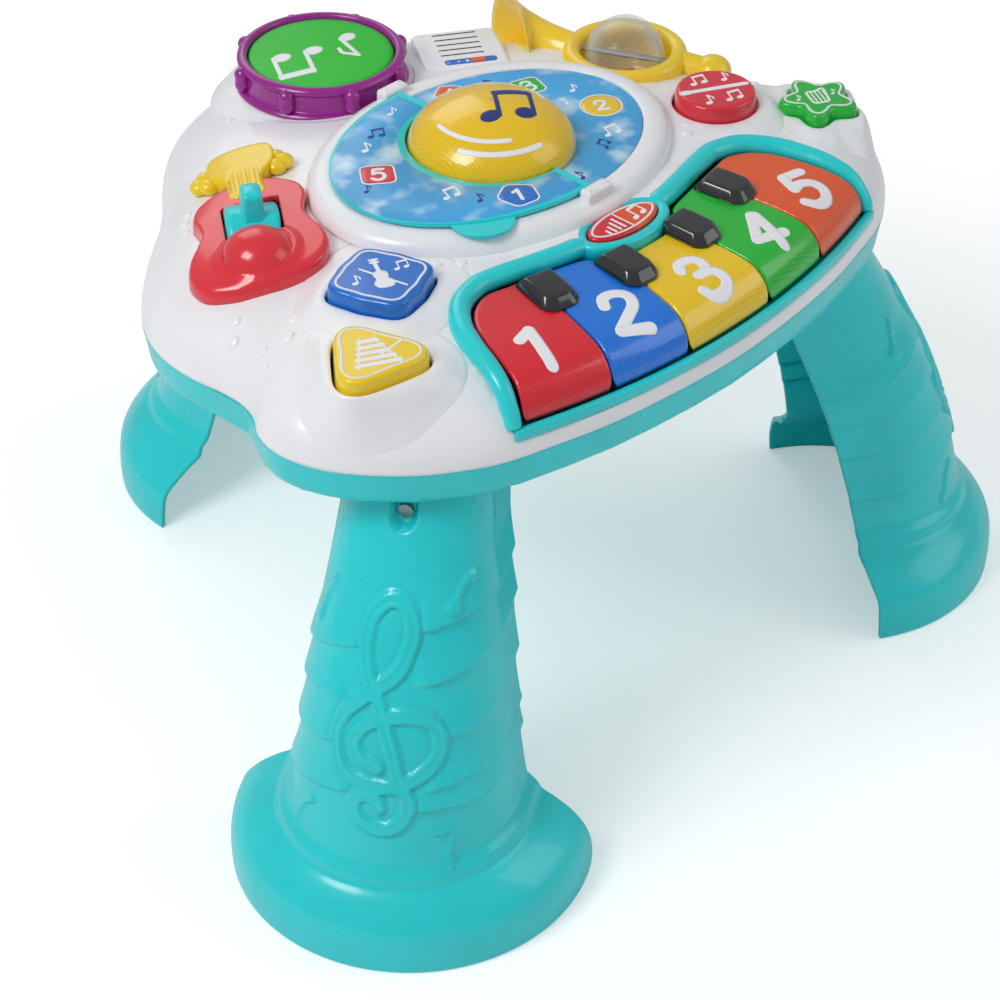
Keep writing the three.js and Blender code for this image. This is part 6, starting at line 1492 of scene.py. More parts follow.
def key_plan(index, gap=0.35, margin=-0.6):
    """Plan outline of a key: the key field between its two split lines, with corners rounded by
    the running mean of even points."""
    outline = field_outline(margin)
    lines = [(-x1, -x2) for x1, x2 in KEY_SPLITS][::-1] + KEY_SPLITS
    for k, way in ((index - 1, -1), (index, 1)):
        if 0 <= k < len(lines):
            top, low = np.array([lines[k][0], SPLIT_Y[0]]), np.array([lines[k][1], SPLIT_Y[1]])
            along = (low - top) / np.linalg.norm(low - top)
            normal = way * np.array([-along[1], along[0]])
            outline = clipped(outline, top - gap * normal, normal)
    even = spaced(outline, 300)
    return sum(np.roll(even, k, axis=0) for k in (-3, -2, -1, 0, 1, 2, 3)) / 7


class TABLE_OT_keys(bpy.types.Operator):
    """Five clear ribbed keys: rings of the key's plan that shrink to its middle, at the height of
    the key tops, less a rounding at the edge, over a body 4 mm thick."""

    bl_idname = "activity_table.keys"
    bl_label = "Keys and digits"

    def execute(self, context):
        for index, tone in enumerate(KEY_TONES):
            plan = key_plan(index)
            after = np.roll(plan, -1, axis=0)
            if np.sum(plan[:, 0] * after[:, 1] - plan[:, 1] * after[:, 0]) < 0:
                plan = plan[::-1]
            path = [(share, beside(key_height, -4.0), True)
                    for share in (0.02, 0.3, 0.6, 0.85, 0.97)]
            path += [(reach, beside(key_height, -drop)) for reach, drop in KEY_EDGE]
            path += [(share, key_height, True) for share in KEY_RINGS]
            name = f"key_{index + 1}"
            make_piece(name + "_clear", loft(raised(plan, path)), "key_" + tone, name, (name,))
            foot, head = (np.array(place_at, float) for place_at in DIGIT_PLACES[index])
            foot = head + DIGIT_SHARE * (foot - head)
            number = digit(index + 1, foot, head, mm("digit"), key_height, mm("lift"))
            make_piece(name + "_digit", number, "white_print", name)
        return {"FINISHED"}


class TABLE_OT_black_keys(bpy.types.Operator):
    """Four black keys: a plan with its front corners cut, carried up to a broad chamfer, whose
    top falls a little from the back to the front."""

    bl_idname = "activity_table.black_keys"
    bl_label = "Black keys"

    def execute(self, context):
        for k, (x, y, turn, hx, hy) in enumerate(BLACK_KEYS):
            cut = 0.42 * hx
            plan = [(-hx, hy), (-hx, cut - hy), (cut - hx, -hy),
                    (hx - cut, -hy), (hx, cut - hy), (hx, hy)]
            outline = turned_plan(spaced(eased(plan, 2.4, 6, closed=True), 160), x, y, turn)

            def slope(_, py, back=y + 6):
                """Height of a black key: level at its back, falling to its front."""
                return KEY_TOP + BLACK_RISE - BLACK_FALL * np.maximum(0, back - py)

            foot = beside(key_height, 0.3)
            path = [(0.05, foot, True), (0.5, foot, True), (0, foot)]
            path += [(share, beside(slope, -drop), True) for share, drop in BLACK_EDGE]
            path += [(share, slope, True) for share in (0.5, 0.36, 0.22, 0.1, 0.02)]
            make_piece(
                f"black_key_{k + 1}_gloss", loft(raised(outline, path)),
                "black_gloss", replaces=(f"black_key_{k + 1}",),
            )
        return {"FINISHED"}


class TABLE_OT_piano_frame(bpy.types.Operator):
    """Bar round the keys: an oval carried along the bar's curve, slimmer to its ends, which
    close by the root of a circle; the ledge in front and the rim of the mode button."""

    bl_idname = "activity_table.piano_frame"
    bl_label = "Piano frame"

    def execute(self, context):
        path = bar_path()
        s = np.linspace(-1, 1, len(path))
        scale = 1 - BAR_SLIMMING * np.clip((np.abs(s) - 0.7) / 0.3, 0, 1)
        cap = np.clip((1 - np.abs(s)) / 0.012, 0, 1)
        scale = scale * np.sqrt(np.maximum(1 - (1 - cap) ** 2, 0.004))
        bar = loft(sweep(path, oval(*BAR_HALVES, 32)[None] * scale[:, None, None]))
        x = np.linspace(-LEDGE_HALF, LEDGE_HALF, 140)
        ledge_path = np.stack([x, front_edge(x) - LEDGE_DROP, np.full(len(x), LEDGE_HEIGHT)], -1)
        ledge = loft(sweep(ledge_path, spaced(block(*LEDGE_BLOCK), 48)))
        shelf = loft(sweep(ledge_path + SHELF_OFFSET, spaced(block(*SHELF_BLOCK, 4), 40)))
        rim = loft(raised(oval(*MODE_RIM, 160, *MODE_PLACE), MODE_RIM_PROFILE), loop=True)
        frame_shape = merged(bar, ledge, shelf, rim)
        make_piece("piano_bar", frame_shape, "teal_plastic", replaces=("piano_frame",))
        return {"FINISHED"}


class TABLE_OT_mode_button(bpy.types.Operator):
    """Mode button: an ellipse block of two colours, a white ring round it, and on its halves
    three bars of rising length and a pair of notes."""

    bl_idname = "activity_table.mode_button"
    bl_label = "Mode button"

    def execute(self, context):
        top = top_of("mode_button")
        ring = oval(*MODE_HALVES, 160, *MODE_PLACE)
        button = moulded_block(ring, top - 12, top, 1.6)
        make_piece("mode_button_halves", button, "mode_halves", "mode_button", ("mode_button",))
        level = at_level(top)
        prints = [edging(ring, -1.7, -2.9, level, mm("lift"))]
        for k in range(4):
            x = -14 + 3.4 * k
            prints.append(stroke([(x, -98.2), (x, -94.5 + 1.9 * k)], 1.4, level, mm("lift")))
        prints.append(stroke([(0, -100.6), (0, -85.4)], 0.9, level, mm("lift")))
        prints.append(notes(6.5, -96.5, 6.2, 0, level, mm("lift")))
        make_piece("mode_button_print", merged(*prints), "white_print", "mode_button")
        return {"FINISHED"}


# Buttons and toys


def button_solid(outline, bottom, top, edge):
    """Closed button: a base a little wider than the top, a wall that draws in by the square
    root of the way up, a rounded edge and a flat top."""
    draw = np.linspace(0, 1, 7)
    path = [(0.05, bottom, True), (0.5, bottom, True), (-0.4, bottom), (0, bottom + 0.8)]
    wall_top = top - edge
    path += [(-1.3 * s ** 1.5, bottom + 1 + (wall_top - bottom - 1) * s) for s in draw]
    a = np.linspace(0, math.pi / 2, 7)[1:]
    path += [(-1.3 - edge * (1 - math.cos(t)), wall_top + edge * math.sin(t)) for t in a]
    path += [(s, top, True) for s in (0.78, 0.66, 0.54, 0.42, 0.3, 0.18, 0.03)]
    return loft(raised(outline, path))


def picture_lines(name, lines, size, width, level, turn):
    """Strokes of a button's picture, given on a unit square, turned and laid on its top. A stroke
    has its softness, whether it closes and its weight; without weight it is filled."""
    x, y = BUTTONS[name][:2]
    shapes = []
    for k, (points, soft, closed, weight) in enumerate(lines):
        plan = turned_plan(np.array(points, float) * size, x, y, turn)
        lift = mm("lift") * (1 + 0.09 * k)
        if weight:
            shapes.append(stroke(plan, width * weight, level, lift, soft * size, closed))
        else:
            shapes.append(patch(spaced(eased(plan, soft * size, 5, closed=True), 120), level, lift))
    return shapes


class TABLE_OT_buttons(bpy.types.Operator):
    """Four press buttons with a white outline band and a picture of an instrument drawn with
    strokes: a fiddle, bars with mallets, a flute and a harp."""

    bl_idname = "activity_table.buttons"
    bl_label = "Press buttons"

    def execute(self, context):
        for name, (finish, inset, size) in BUTTON_LOOKS.items():
            top = top_of(name)
            plan = button_outline(name, 0, 220)
            body = button_solid(plan, low_of(name), top, mm("edge"))
            make_piece(name + "_moulded", body, finish, name, (name,))
            level = at_level(top)
            prints = []
            if name != "red_button":
                prints.append(edging(button_outline(name, -inset, 220), 0, -1.3, level, mm("lift")))
            lines, marks = PICTURES[name]
            prints += picture_lines(name, lines, size, mm("line"), level, PICTURE_TURN)
            x, y = BUTTONS[name][:2]
            for (mx, my), scale, pair in marks:
                at = turned_plan(np.array([(mx, my)]) * size, x, y, PICTURE_TURN)[0]
                prints.append(
                    notes(at[0], at[1], scale * size, PICTURE_TURN, level, mm("lift"), pair))
            make_piece(name + "_print", merged(*prints), "white_print", name)
        return {"FINISHED"}


class TABLE_OT_drum(bpy.types.Operator):
    """Drum: a rim turned from a profile of radius and height, eight lugs round it that swell
    and narrow with the height, and a ribbed skin with notes on it."""

    bl_idname = "activity_table.drum"
    bl_label = "Drum"

    def execute(self, context):
        height = top_of("drum_rim") - SEAT
        path = [(41.2, SEAT)]
        path += [(DRUM_RADIUS * r, SEAT + height * z) for r, z in flowing(DRUM_PROFILE, 60)]
        path += [(41.2, SEAT + height * 0.93)]
        shapes = [loft(lathe(path, 0, DRUM_Y, 160), loop=True)]
        s = np.linspace(0.16, 0.93, 22)
        away = s - 0.545
        swell = LUG_RADIUS * np.sqrt(np.clip(1 - np.abs(away / 0.387) ** 4, 0.001, 1))
        swell = swell * (1 - 0.05 * np.cos(away * 16))
        lug = np.stack([swell, SEAT + height * s], -1)
        for k in range(DRUM_LUGS):
            turn = (2 * k + 1) * math.pi / DRUM_LUGS
            place_at = LUG_REACH * math.cos(turn), DRUM_Y + LUG_REACH * math.sin(turn)
            shapes.append(loft(lathe(lug, *place_at, 28)))
        make_piece("drum_rim_moulded", merged(*shapes), "purple_plastic", replaces=("drum_rim",))
        top, low = top_of("drum_skin"), low_of("drum_skin")
        skin = [(0.5, low), (38, low), (40.2, low), (40.6, low + 1)]
        skin += [(40.6, top - 2), (40.3, top - 1), (39.4, top - 0.3), (38.2, top)]
        skin += [(r, top + SKIN_RISE * (1 - (r / SKIN_RADIUS) ** 2))
                 for r in (36, 32, 26, 20, 14, 8, 2)]
        sheet = loft(lathe(skin, 0, DRUM_Y, 160))
        make_piece("drum_skin_ribbed", sheet, "drum_skin_plastic", "drum_skin", ("drum_skin",))

        def level(x, y):
            """Height of the skin's gentle dome."""
            out = (x ** 2 + (y - DRUM_Y) ** 2) / SKIN_RADIUS ** 2
            return top + SKIN_RISE * (1 - np.minimum(1, out))

        pair = notes(-2, DRUM_Y + 4, 17, 150, level, mm("lift"))
        single = notes(22, DRUM_Y + 2, 16, 165, level, mm("lift"), False)
        make_piece("drum_print", merged(pair, single), "white_print", "drum_skin")
        return {"FINISHED"}


def into_guitar(x, y):
    """Plan point in the guitar's frame: along its neck and across it."""
    c, s = math.cos(math.radians(GUITAR[2])), math.sin(math.radians(GUITAR[2]))
    dx, dy = np.asarray(x) - GUITAR[0], np.asarray(y) - GUITAR[1]
    return dx * c + dy * s, dy * c - dx * s


def guitar_outline(shares, start, span, half, steps):
    """Closed outline from shares of length and half width on one side, mirrored."""
    one = [(start + a * span, w * half) for a, w in shares]
    curve = flowing(one, steps // 2)
    back = curve[::-1][1:-1] * [1, -1]
    outline = np.concatenate([curve, back])[::-1]
    return turned_plan(spaced(outline, steps), *GUITAR)


def guitar_top(x, y):
    """Height of the guitar's body: the crown and its thickness, raised over the bowl's middle
    by the height of an ellipsoid."""
    along, across = into_guitar(x, y)
    far = np.hypot(along - BOWL_ALONG, across) / BOWL_RADIUS
    base = crown_at(x, y) + BODY_RISE
    bowl_at = turned_plan(np.array([(BOWL_ALONG, 0)]), *GUITAR)[0]
    cap = crown_at(*bowl_at) + BOWL_BASE + BOWL_RISE * np.sqrt(np.clip(1 - far ** 2, 0, 1))
    fillet = 1.6 * np.exp(-((far - 1.0) / 0.16) ** 2)
    return np.maximum(base + fillet, np.where(far < 1, cap, 0))


class TABLE_OT_guitar(bpy.types.Operator):
    """Guitar: rings between the body's outline and the lever's opening on a height field, the
    head with grooves that follow its length, and two pegs with three lobes."""

    bl_idname = "activity_table.guitar"
    bl_label = "Guitar"

    def execute(self, context):
        slot = turned_plan(spaced(block(*LEVER_OPENING), 300) + [LEVER_ALONG, 0], *GUITAR)
        mid = slot.mean(axis=0)
        wide = turned_plan(spaced(block(*LEVER_UNDER), 300) + [LEVER_ALONG, 0], *GUITAR)
        body = guitar_outline(GUITAR_BODY, *BODY_SPAN, 600)
        angle = np.arctan2(*(slot - mid).T[::-1])
        own = np.arctan2(*(body - mid).T[::-1])
        order = np.argsort(own)
        far = np.linalg.norm(body - mid, axis=1)[order]
        reach = np.interp(angle, own[order], far, period=TAU)
        outer = mid + np.stack([np.cos(angle), np.sin(angle)], -1) * reach[:, None]

        def ring(share, height, inner=slot):
            """A ring of the body, a share of the way from the lever's opening to the edge."""
            plan = inner + (outer - inner) * share
            return np.concatenate([plan, height(plan[:, 0], plan[:, 1])[:, None]], axis=1)

        under = beside(crown_at, -0.4)
        edge = 1 - np.array([0, 0.012, 0.035, 0.065, 0.11, 0.16])
        drop = [6.4, 2.6, 1.3, 0.55, 0.14, 0]
        rings = [ring(0, under, wide), ring(1, under)]
        rings += [ring(s, beside(guitar_top, -d)) for s, d in zip(edge, drop)]
        rings += [ring(s, guitar_top) for s in np.linspace(0.82, 0.03, 34)]
        rings += [ring(0, beside(guitar_top, -0.5))]
        make_piece(
            "guitar_body_moulded", loft(rings, loop=True),
            "guitar_red", replaces=("guitar_body",),
        )

        head = guitar_outline(GUITAR_HEAD, *HEAD_SPAN, 320)

        def head_top(x, y):
            """Height of the head, with the neck's grooves."""
            along, across = into_guitar(x, y)
            grooves = sum(np.exp(-((across - at) / GROOVE_WIDTH) ** 2) for at in GROOVES)
            drawn = GROOVE_DEPTH * grooves * smooth_share((76 - along) / 8)
            return crown_at(x, y) + HEAD_RISE - drawn

        def deep(x, y):
            """Underside of the head: over the body, then in the play top."""
            return crown_at(x, y) + np.where(into_guitar(x, y)[0] < 63, 7.6, -0.5)

        path = [(0.04, deep, True), (0.5, deep, True), (0.9, deep, True), (0, deep)]
        path += [(r, beside(head_top, -d))
                 for r, d in ((0, 2.2), (-0.3, 1.0), (-0.9, 0.3), (-1.7, 0))]
        path += [(s, head_top, True) for s in np.linspace(0.84, 0.03, 22)]
        shapes = [loft(raised(head, path))]
        for side in (-1, 1):
            for along, across, r in PEG_BALLS:
                x, y = turned_plan(np.array([(along, side * across)]), *GUITAR)[0]
                level = float(crown_at(x, y)) + PEG_LEVEL
                t = np.linspace(0.06, math.pi - 0.06, 20)
                ball = np.stack([r * np.sin(t), level - PEG_RISE * np.cos(t)], -1)
                shapes.append(loft(lathe(ball, x, y, 36)))
        make_piece(
            "guitar_head_moulded", merged(*shapes), "guitar_honey", replaces=("guitar_head",))
        return {"FINISHED"}


class TABLE_OT_lever(bpy.types.Operator):
    """Strum lever: a barrel turned about its own axis with rounded ends, and a fin whose
    sections shrink to a rounded top."""

    bl_idname = "activity_table.lever"
    bl_label = "Strum lever"

    def execute(self, context):
        low, high = (np.array(v) / MM - [0, SHIFT_Y, 0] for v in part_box("strum_lever"))
        axle = low[2] + BARREL_RADIUS
        s = np.linspace(-1, 1, 41)
        out = np.clip((np.abs(s) - 0.785) / 0.215, 0, 1)
        radius = BARREL_RADIUS - BARREL_ROUNDING * (1 - np.sqrt(np.clip(1 - out ** 2, 0, 1)))
        a = np.arange(120) * TAU / 120
        across = BARREL_HALF * s[:, None] + 0 * a
        along, z = radius[:, None] * np.cos(a), radius[:, None] * np.sin(a)
        plan = turned_plan(np.stack([LEVER_ALONG + along, across], -1), *GUITAR)
        barrel = loft(np.concatenate([plan, (axle + z)[..., None]], -1))
        heights = np.linspace(0, 1, 26)
        top, base = high[2], axle + FIN_BASE
        wide = FIN_WIDE - FIN_TAPER * heights
        long = FIN_LONG + FIN_FLARE * (1 - heights) ** 2.2
        over = np.clip((heights - 0.8) / 0.2, 0, 1)
        lid = np.sqrt(np.clip(1 - over ** 2, 0, 1)) * 0.4 + 0.6
        square = spaced(block(1, 1, 0.55, 8), 96)
        local = square[None] * np.stack([long * lid, wide * lid], -1)[:, None] + [LEVER_ALONG, 0]
        z = np.broadcast_to((base + (top - base) * heights)[:, None, None], local.shape[:2] + (1,))
        rings = np.concatenate([turned_plan(local, *GUITAR), z], -1)
        make_piece(
            "strum_lever_moulded", merged(barrel, loft(rings)),
            "teal_plastic", "strum_lever", ("strum_lever",),
        )
        return {"FINISHED"}


class TABLE_OT_trumpet(bpy.types.Operator):
    """Trumpet: a ring turned from a profile, a horn of half ovals carried along a curve with an
    open bell, a mouth tube that tapers, and a knob at its end."""

    bl_idname = "activity_table.trumpet"
    bl_label = "Trumpet"

    def execute(self, context):
        x, y = BALL
        ring = eased(RING_PROFILE, 2.6, 6, closed=True)
        shapes = [loft(lathe(ring, x, y, 160), loop=True)]
        shapes.append(loft(lathe(flowing(BOWL_PROFILE, 60), x, y, 120)))
        params = flowing(HORN, 68)[:-10]

        def arch(row, wall):
            """A half oval of the horn at one station, drawn in by a wall."""
            a = np.arange(96) * TAU / 96
            px, py, half, rise, turn = row
            half, rise = half - wall, rise - wall
            c, s = math.cos(math.radians(turn)), math.sin(math.radians(turn))
            plan = np.stack([px + half * np.cos(a) * c, py + half * np.cos(a) * s], -1)
            z = HORN_BASE + rise * np.sin(a)
            floor = crown_at(plan[:, 0], plan[:, 1]) - 1.2 + wall
            return np.concatenate([plan, np.maximum(z, floor)[:, None]], axis=1)

        flare = 1.6 * np.exp(-np.arange(len(params)) / 3.0)
        inner = [arch(params[k], 2.6 - flare[k] * 0.9) for k in range(26, -1, -2)]
        outer = [arch(row + [0, 0, f, f, 0], 0.0) for row, f in zip(params, flare)]
        lip = [arch(params[0] + [0, 0, flare[0] - 0.4, flare[0] - 0.4, 0], 0.9)]
        shapes.append(loft(inner + lip + outer))
        top = float(crown_at(*KNOB))
        tube = flowing([(153.6, 3.6, top + 4.8), (157.5, -6, top + 4.5), (*KNOB, top + 4.2)], 30)
        taper = np.linspace(1.02, 0.82, 31)
        section = oval(TUBE_RADIUS, TUBE_RADIUS, 40)
        shapes.append(loft(sweep(tube, section[None] * taper[:, None, None])))
        wide, high = KNOB_RADII
        t = np.linspace(0.04, math.pi - 0.04, 30)
        knob = np.stack([wide * np.sin(t), top + 4.2 - high * np.cos(t)], -1)
        shapes.append(loft(lathe(knob, *KNOB, 80)))
        make_piece("trumpet_moulded", merged(*shapes), "trumpet_yellow", replaces=("trumpet_body",))
        return {"FINISHED"}


class TABLE_OT_rattle(bpy.types.Operator):
    """Rattle ball: two clear half spheres with a wall and a flange where they meet, and three
    round beads."""

    bl_idname = "activity_table.rattle"
    bl_label = "Rattle ball"

    def execute(self, context):
        centre = (middle("ball_back") + middle("ball_front")) / 2 - [0, SHIFT_Y, 0]
        low, high = (np.array(v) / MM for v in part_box("ball_back"))
        reach = (high[2] - low[2]) / 2
        mid = {name: middle(name) - [0, SHIFT_Y, 0] - centre
               for name in ("ball_back", "ball_front")}
        normal = np.array([math.cos(BALL_TURN + math.pi / 2), math.sin(BALL_TURN + math.pi / 2), 0])
        side = np.array([math.cos(BALL_TURN), math.sin(BALL_TURN), 0])
        up = np.array([0, 0, 1])
        a = np.arange(96) * TAU / 96
        circle = np.cos(a)[:, None] * side + np.sin(a)[:, None] * up
        for name in ("ball_back", "ball_front"):
            way = normal * (1 if mid[name] @ normal > 0 else -1)
            t = np.linspace(0.02, math.pi / 2, 30)
            outer = [(reach * math.cos(k), reach * math.sin(k)) for k in t[:-2]]
            outer += [(1.2, reach - 0.05), (1.0, reach + 0.3), (0.12, reach + 0.3)]
            within = reach - BALL_WALL
            inside = [(0.12, within)]
            inside += [(within * math.cos(k), within * math.sin(k)) for k in t[::-1][1:]]
            rings = [centre + way * d + r * circle for d, r in outer + inside]
            make_piece(name + "_clear", loft(rings), "clear_plastic", "rattle_ball", (name,))
        for k, finish in enumerate(("key_red", "key_blue", "button_yellow")):
            node_name = f"rattle_bead_{k + 1}"
            x, y, z = middle(node_name) - [0, SHIFT_Y, 0]
            t = np.linspace(0.05, math.pi - 0.05, 26)
            ball = np.stack([BEAD_RADIUS * np.sin(t), z - BEAD_RADIUS * np.cos(t)], -1)
            make_piece(
                node_name + "_round", loft(lathe(ball, x, y, 48)),
                finish, "rattle_ball", (node_name,),
            )
        return {"FINISHED"}


# Disc, page and dome


def dome_top(x, y):
    """Height of the dome: a quarter ellipse of the way out from its middle."""
    low, high = low_of("light_dome"), top_of("light_dome")
    share = np.hypot(x, y) / DOME_RADIUS
    return low + (high - low) * np.sqrt(np.clip(1 - share ** 2, 0, 1))


class TABLE_OT_dome(bpy.types.Operator):
    """Light dome: a quarter ellipse turned about the upright, 2 mm thick, and a printed pair of
    notes between two arcs."""

    bl_idname = "activity_table.dome"
    bl_label = "Light dome"

    def execute(self, context):
        low, high = low_of("light_dome"), top_of("light_dome")
        t = np.linspace(0, math.pi / 2 - 0.01, 44)
        outer = [(DOME_RADIUS * math.cos(k), low + (high - low) * math.sin(k)) for k in t]
        reach, rise = DOME_RADIUS - DOME_WALL, high - low - DOME_WALL
        inside = [(reach * math.cos(k), low + rise * math.sin(k)) for k in t[::-1]]
        make_piece(
            "light_dome_ribbed", loft(lathe(outer + inside, 0, 0, 160)),
            "dome_amber", replaces=("light_dome",),
        )
        marks = notes(-11, -10, 17, DOME_TURN, dome_top, mm("lift"))
        make_piece("light_dome_notes", marks, "ink_print")
        arcs = []
        for reach, first, last in DOME_ARCS:
            a = np.radians(np.linspace(first, last, 40) + DOME_TURN)
            line = reach * np.stack([np.cos(a), np.sin(a)], -1)
            arcs.append(stroke(line, ARC_WIDTH, dome_top, mm("lift")))
        make_piece("light_dome_arcs", merged(*arcs), "white_print")
        return {"FINISHED"}


def badge(number, x, y, size, sides, turn, level):
    """A coloured shape with rounded corners and its digit: a circle, or a polygon of even
    corners about its middle."""
    a = (np.arange(sides or 48) + 0.5) * TAU / (sides or 48)
    outline = size * np.stack([np.cos(a), np.sin(a)], -1)
    outline = turned_plan(spaced(eased(outline, size * 0.3, 5, closed=True), 72), x, y, turn)
    plate = patch(outline, level, mm("lift"))
    rim = edging(outline, 0.9, -0.1, level, mm("lift") + 0.02)
    foot, head = turned_plan(np.array([(0, -0.42 * size), (0, 0.42 * size)]), x, y, turn)
    mark = digit(number, foot, head, size * 0.18, beside(level, mm("lift")), mm("lift") * 0.7)
    return plate, merged(rim, mark)


class TABLE_OT_disc(bpy.types.Operator):
    """Printed disc: an ellipse plate with a rounded edge, coloured shapes with digits, and
    small notes between them."""

    bl_idname = "activity_table.disc"
    bl_label = "Printed disc"

    def execute(self, context):
        plate = moulded_block(oval(*DISC_HALVES, 240), DISC - 2, DISC, 0.5)
        make_piece("disc_print", plate, "sky_print", replaces=("disc_plate",))
        place_badges("disc", DISC_BADGES, DISC_NOTES, at_level(DISC), "table")
        return {"FINISHED"}


def place_badges(name, badges, marks, level, body):
    """Badges with their digits, and small notes, on a printed sheet."""
    whites = []
    for number, x, y, size, sides, turn, finish in badges:
        plate, white = badge(number, x, y, size, sides, turn, level)
        make_piece(f"{name}_badge_{number}", plate, finish, body)
        whites.append(white)
    drawn = [notes(x, y, size, turn, level, mm("lift"), pair) for x, y, size, turn, pair in marks]
    whites += drawn[::2]
    make_piece(f"{name}_white_marks", merged(*whites), "white_print", body)
    make_piece(f"{name}_ink_marks", merged(*drawn[1::2]), "ink_print", body)


def page_rings(low, high, outer_inset, inner_reach, edge, steps=220):
    """Rings of a half ellipse with a round hole: at each angle of the left half a section
    between the hole and the ellipse, rounded at its corners."""
    a = np.linspace(math.pi / 2, 3 * math.pi / 2, steps)
    rx, ry = PAGE_HALVES
    outer = 1 / np.hypot(np.cos(a) / (rx - outer_inset), np.sin(a) / (ry - outer_inset))
    centre = inner_reach + (outer - inner_reach) * 0.5
    share = edge * 0.3
    corner = [(edge, 0), (share, share), (0, edge)]
    up = [(d, low + z) for d, z in corner] + [(d, high - z) for d, z in corner[::-1]]
    section = [(inner_reach + d + 0 * outer, z) for d, z in up] + [(centre, high)]
    section += [(outer - d, z) for d, z in up[::-1]] + [(centre, low)]
    radius = np.stack([r for r, _ in section], -1)
    z = np.broadcast_to(np.array([z for _, z in section]), radius.shape)
    x = radius * np.cos(a)[:, None]
    return np.stack([np.where(np.abs(x) < 1e-6, 0, x), radius * np.sin(a)[:, None], z], -1)


class TABLE_OT_page(bpy.types.Operator):
    """Flip page: half an ellipse with the dome's hole, a tab at its edge and a spine of two
    round rods with pins, printed on both sides."""

    bl_idname = "activity_table.page"
    bl_label = "Flip page"

    def execute(self, context):
        low, high = PAGE_AXIS - PAGE_HALF, PAGE_AXIS + PAGE_HALF
        shapes = [loft(page_rings(low, high, 0, PAGE_HOLE, PAGE_EDGE))]
        for side in (-1, 1):
            for ends, radius, steps in ((ROD_ENDS, ROD_RADIUS, 24), (PIN_ENDS, PIN_RADIUS, 8)):
                line = flowing([(0, side * y, PAGE_AXIS) for y in ends], steps)
                shapes.append(loft(sweep(line, oval(radius, radius, 28), up=(1, 0, 0))))
        tab = oval(TAB_HALF, TAB_HALF, 96, *TAB_PLACE)
        shapes.append(moulded_block(tab, low, low + TAB_RISE, PAGE_EDGE))
        make_piece("flip_page_sheet", merged(*shapes), "teal_plastic", "flip_page", ("flip_page",))
        for name, base, way in (("front", high, 1), ("back", low, -1)):
            faces_at = sorted((base, base + way * SHEET_RISE))
            sheet = page_rings(*faces_at, SHEET_INSET, SHEET_HOLE, 0.02)
            sheet[..., 0] -= SHEET_STEP
            make_piece(f"flip_page_{name}_print", loft(sheet), "sky_print", "flip_page")
        place_badges("page", PAGE_BADGES, PAGE_NOTES, at_level(high + SHEET_RISE), "flip_page")
        return {"FINISHED"}


# Frame nodes that keep their own shape, by the start of their name, with their finish
KEPT = {
    "bottom_shell": "teal_plastic", "battery_door": "teal_plastic", "battery_cell": "cell_jacket",
    "battery_door_screw": "screw_steel", "housing_screw": "screw_steel",
    "leg_screw": "screw_steel", "circuit_board": "circuit_board", "light_board": "circuit_board",
    "drum_switch": "circuit_board", "blue_switch": "circuit_board",
    "yellow_switch": "circuit_board", "red_switch": "circuit_board",
    "star_switch": "circuit_board", "key_contact_strip": "grey_rubber", "key_axle": "steel",
    "strum_axle": "steel", "ball_axle": "steel", "power_switch": "key_orange",
    "speaker": "black_gloss",
}


class TABLE_OT_kept_nodes(bpy.types.Operator):
    """Finishes of the frame nodes that keep their own shape: every material slot of each."""

    bl_idname = "activity_table.kept_nodes"
    bl_label = "Screws, boards and cells"

    def execute(self, context):
        for start, finish in sorted(KEPT.items(), key=lambda pair: len(pair[0])):
            for name, obj in NODES.items():
                if name.startswith(start):
                    for slot in obj.material_slots:
                        slot.material = material(finish)
        return {"FINISHED"}


def backdrop_material():
    """Pale floor: soft white with slow mottling and a faint grain, lifted to white for the
    camera alone, so that it keeps the table's shadow."""
    mat, tree, shader = fresh("floor_white")
    vector = place(tree)
    tint = spread(tree, noise(tree, vector, 1.3), 0.0, 1.0)
    pale = blended(tree, tint, (0.93, 0.935, 0.94), (0.955, 0.955, 0.955))
    tree.links.new(pale, shader.inputs["Base Color"])
    bumped(tree, shader, noise(tree, vector, 400.0), 0.02, 0.2)
    shader.inputs["Roughness"].default_value = 0.75
    shader.inputs["Specular IOR Level"].default_value = 0.2
    shader.inputs["Emission Color"].default_value = (1, 1, 1, 1)
    rays = node(tree, "ShaderNodeLightPath")
    far = node(tree, "ShaderNodeVectorMath", operation="LENGTH")
    tree.links.new(vector, far.inputs[0])
    lift = spread(tree, far.outputs["Value"], FLOOR_GLOW, 1.0, 0.5, 2.2)
    glow = node(tree, "ShaderNodeMath", operation="MULTIPLY")
    tree.links.new(lift, glow.inputs[1])
    tree.links.new(rays.outputs["Is Camera Ray"], glow.inputs[0])
    tree.links.new(glow.outputs[0], shader.inputs["Emission Strength"])
    return mat


def area_lamp(name, place_at, target, size, watts):
    """Soft square lamp turned so that its minus z axis runs to the target."""
    lamp = bpy.data.lights.new(name, "AREA")
    lamp.shape, lamp.size, lamp.energy = "SQUARE", size, watts
    obj = bpy.data.objects.new(name, lamp)
    obj.location = place_at
    obj.rotation_euler = (Vector(target) - Vector(place_at)).to_track_quat("-Z", "Y").to_euler()
    bpy.context.scene.collection.objects.link(obj)


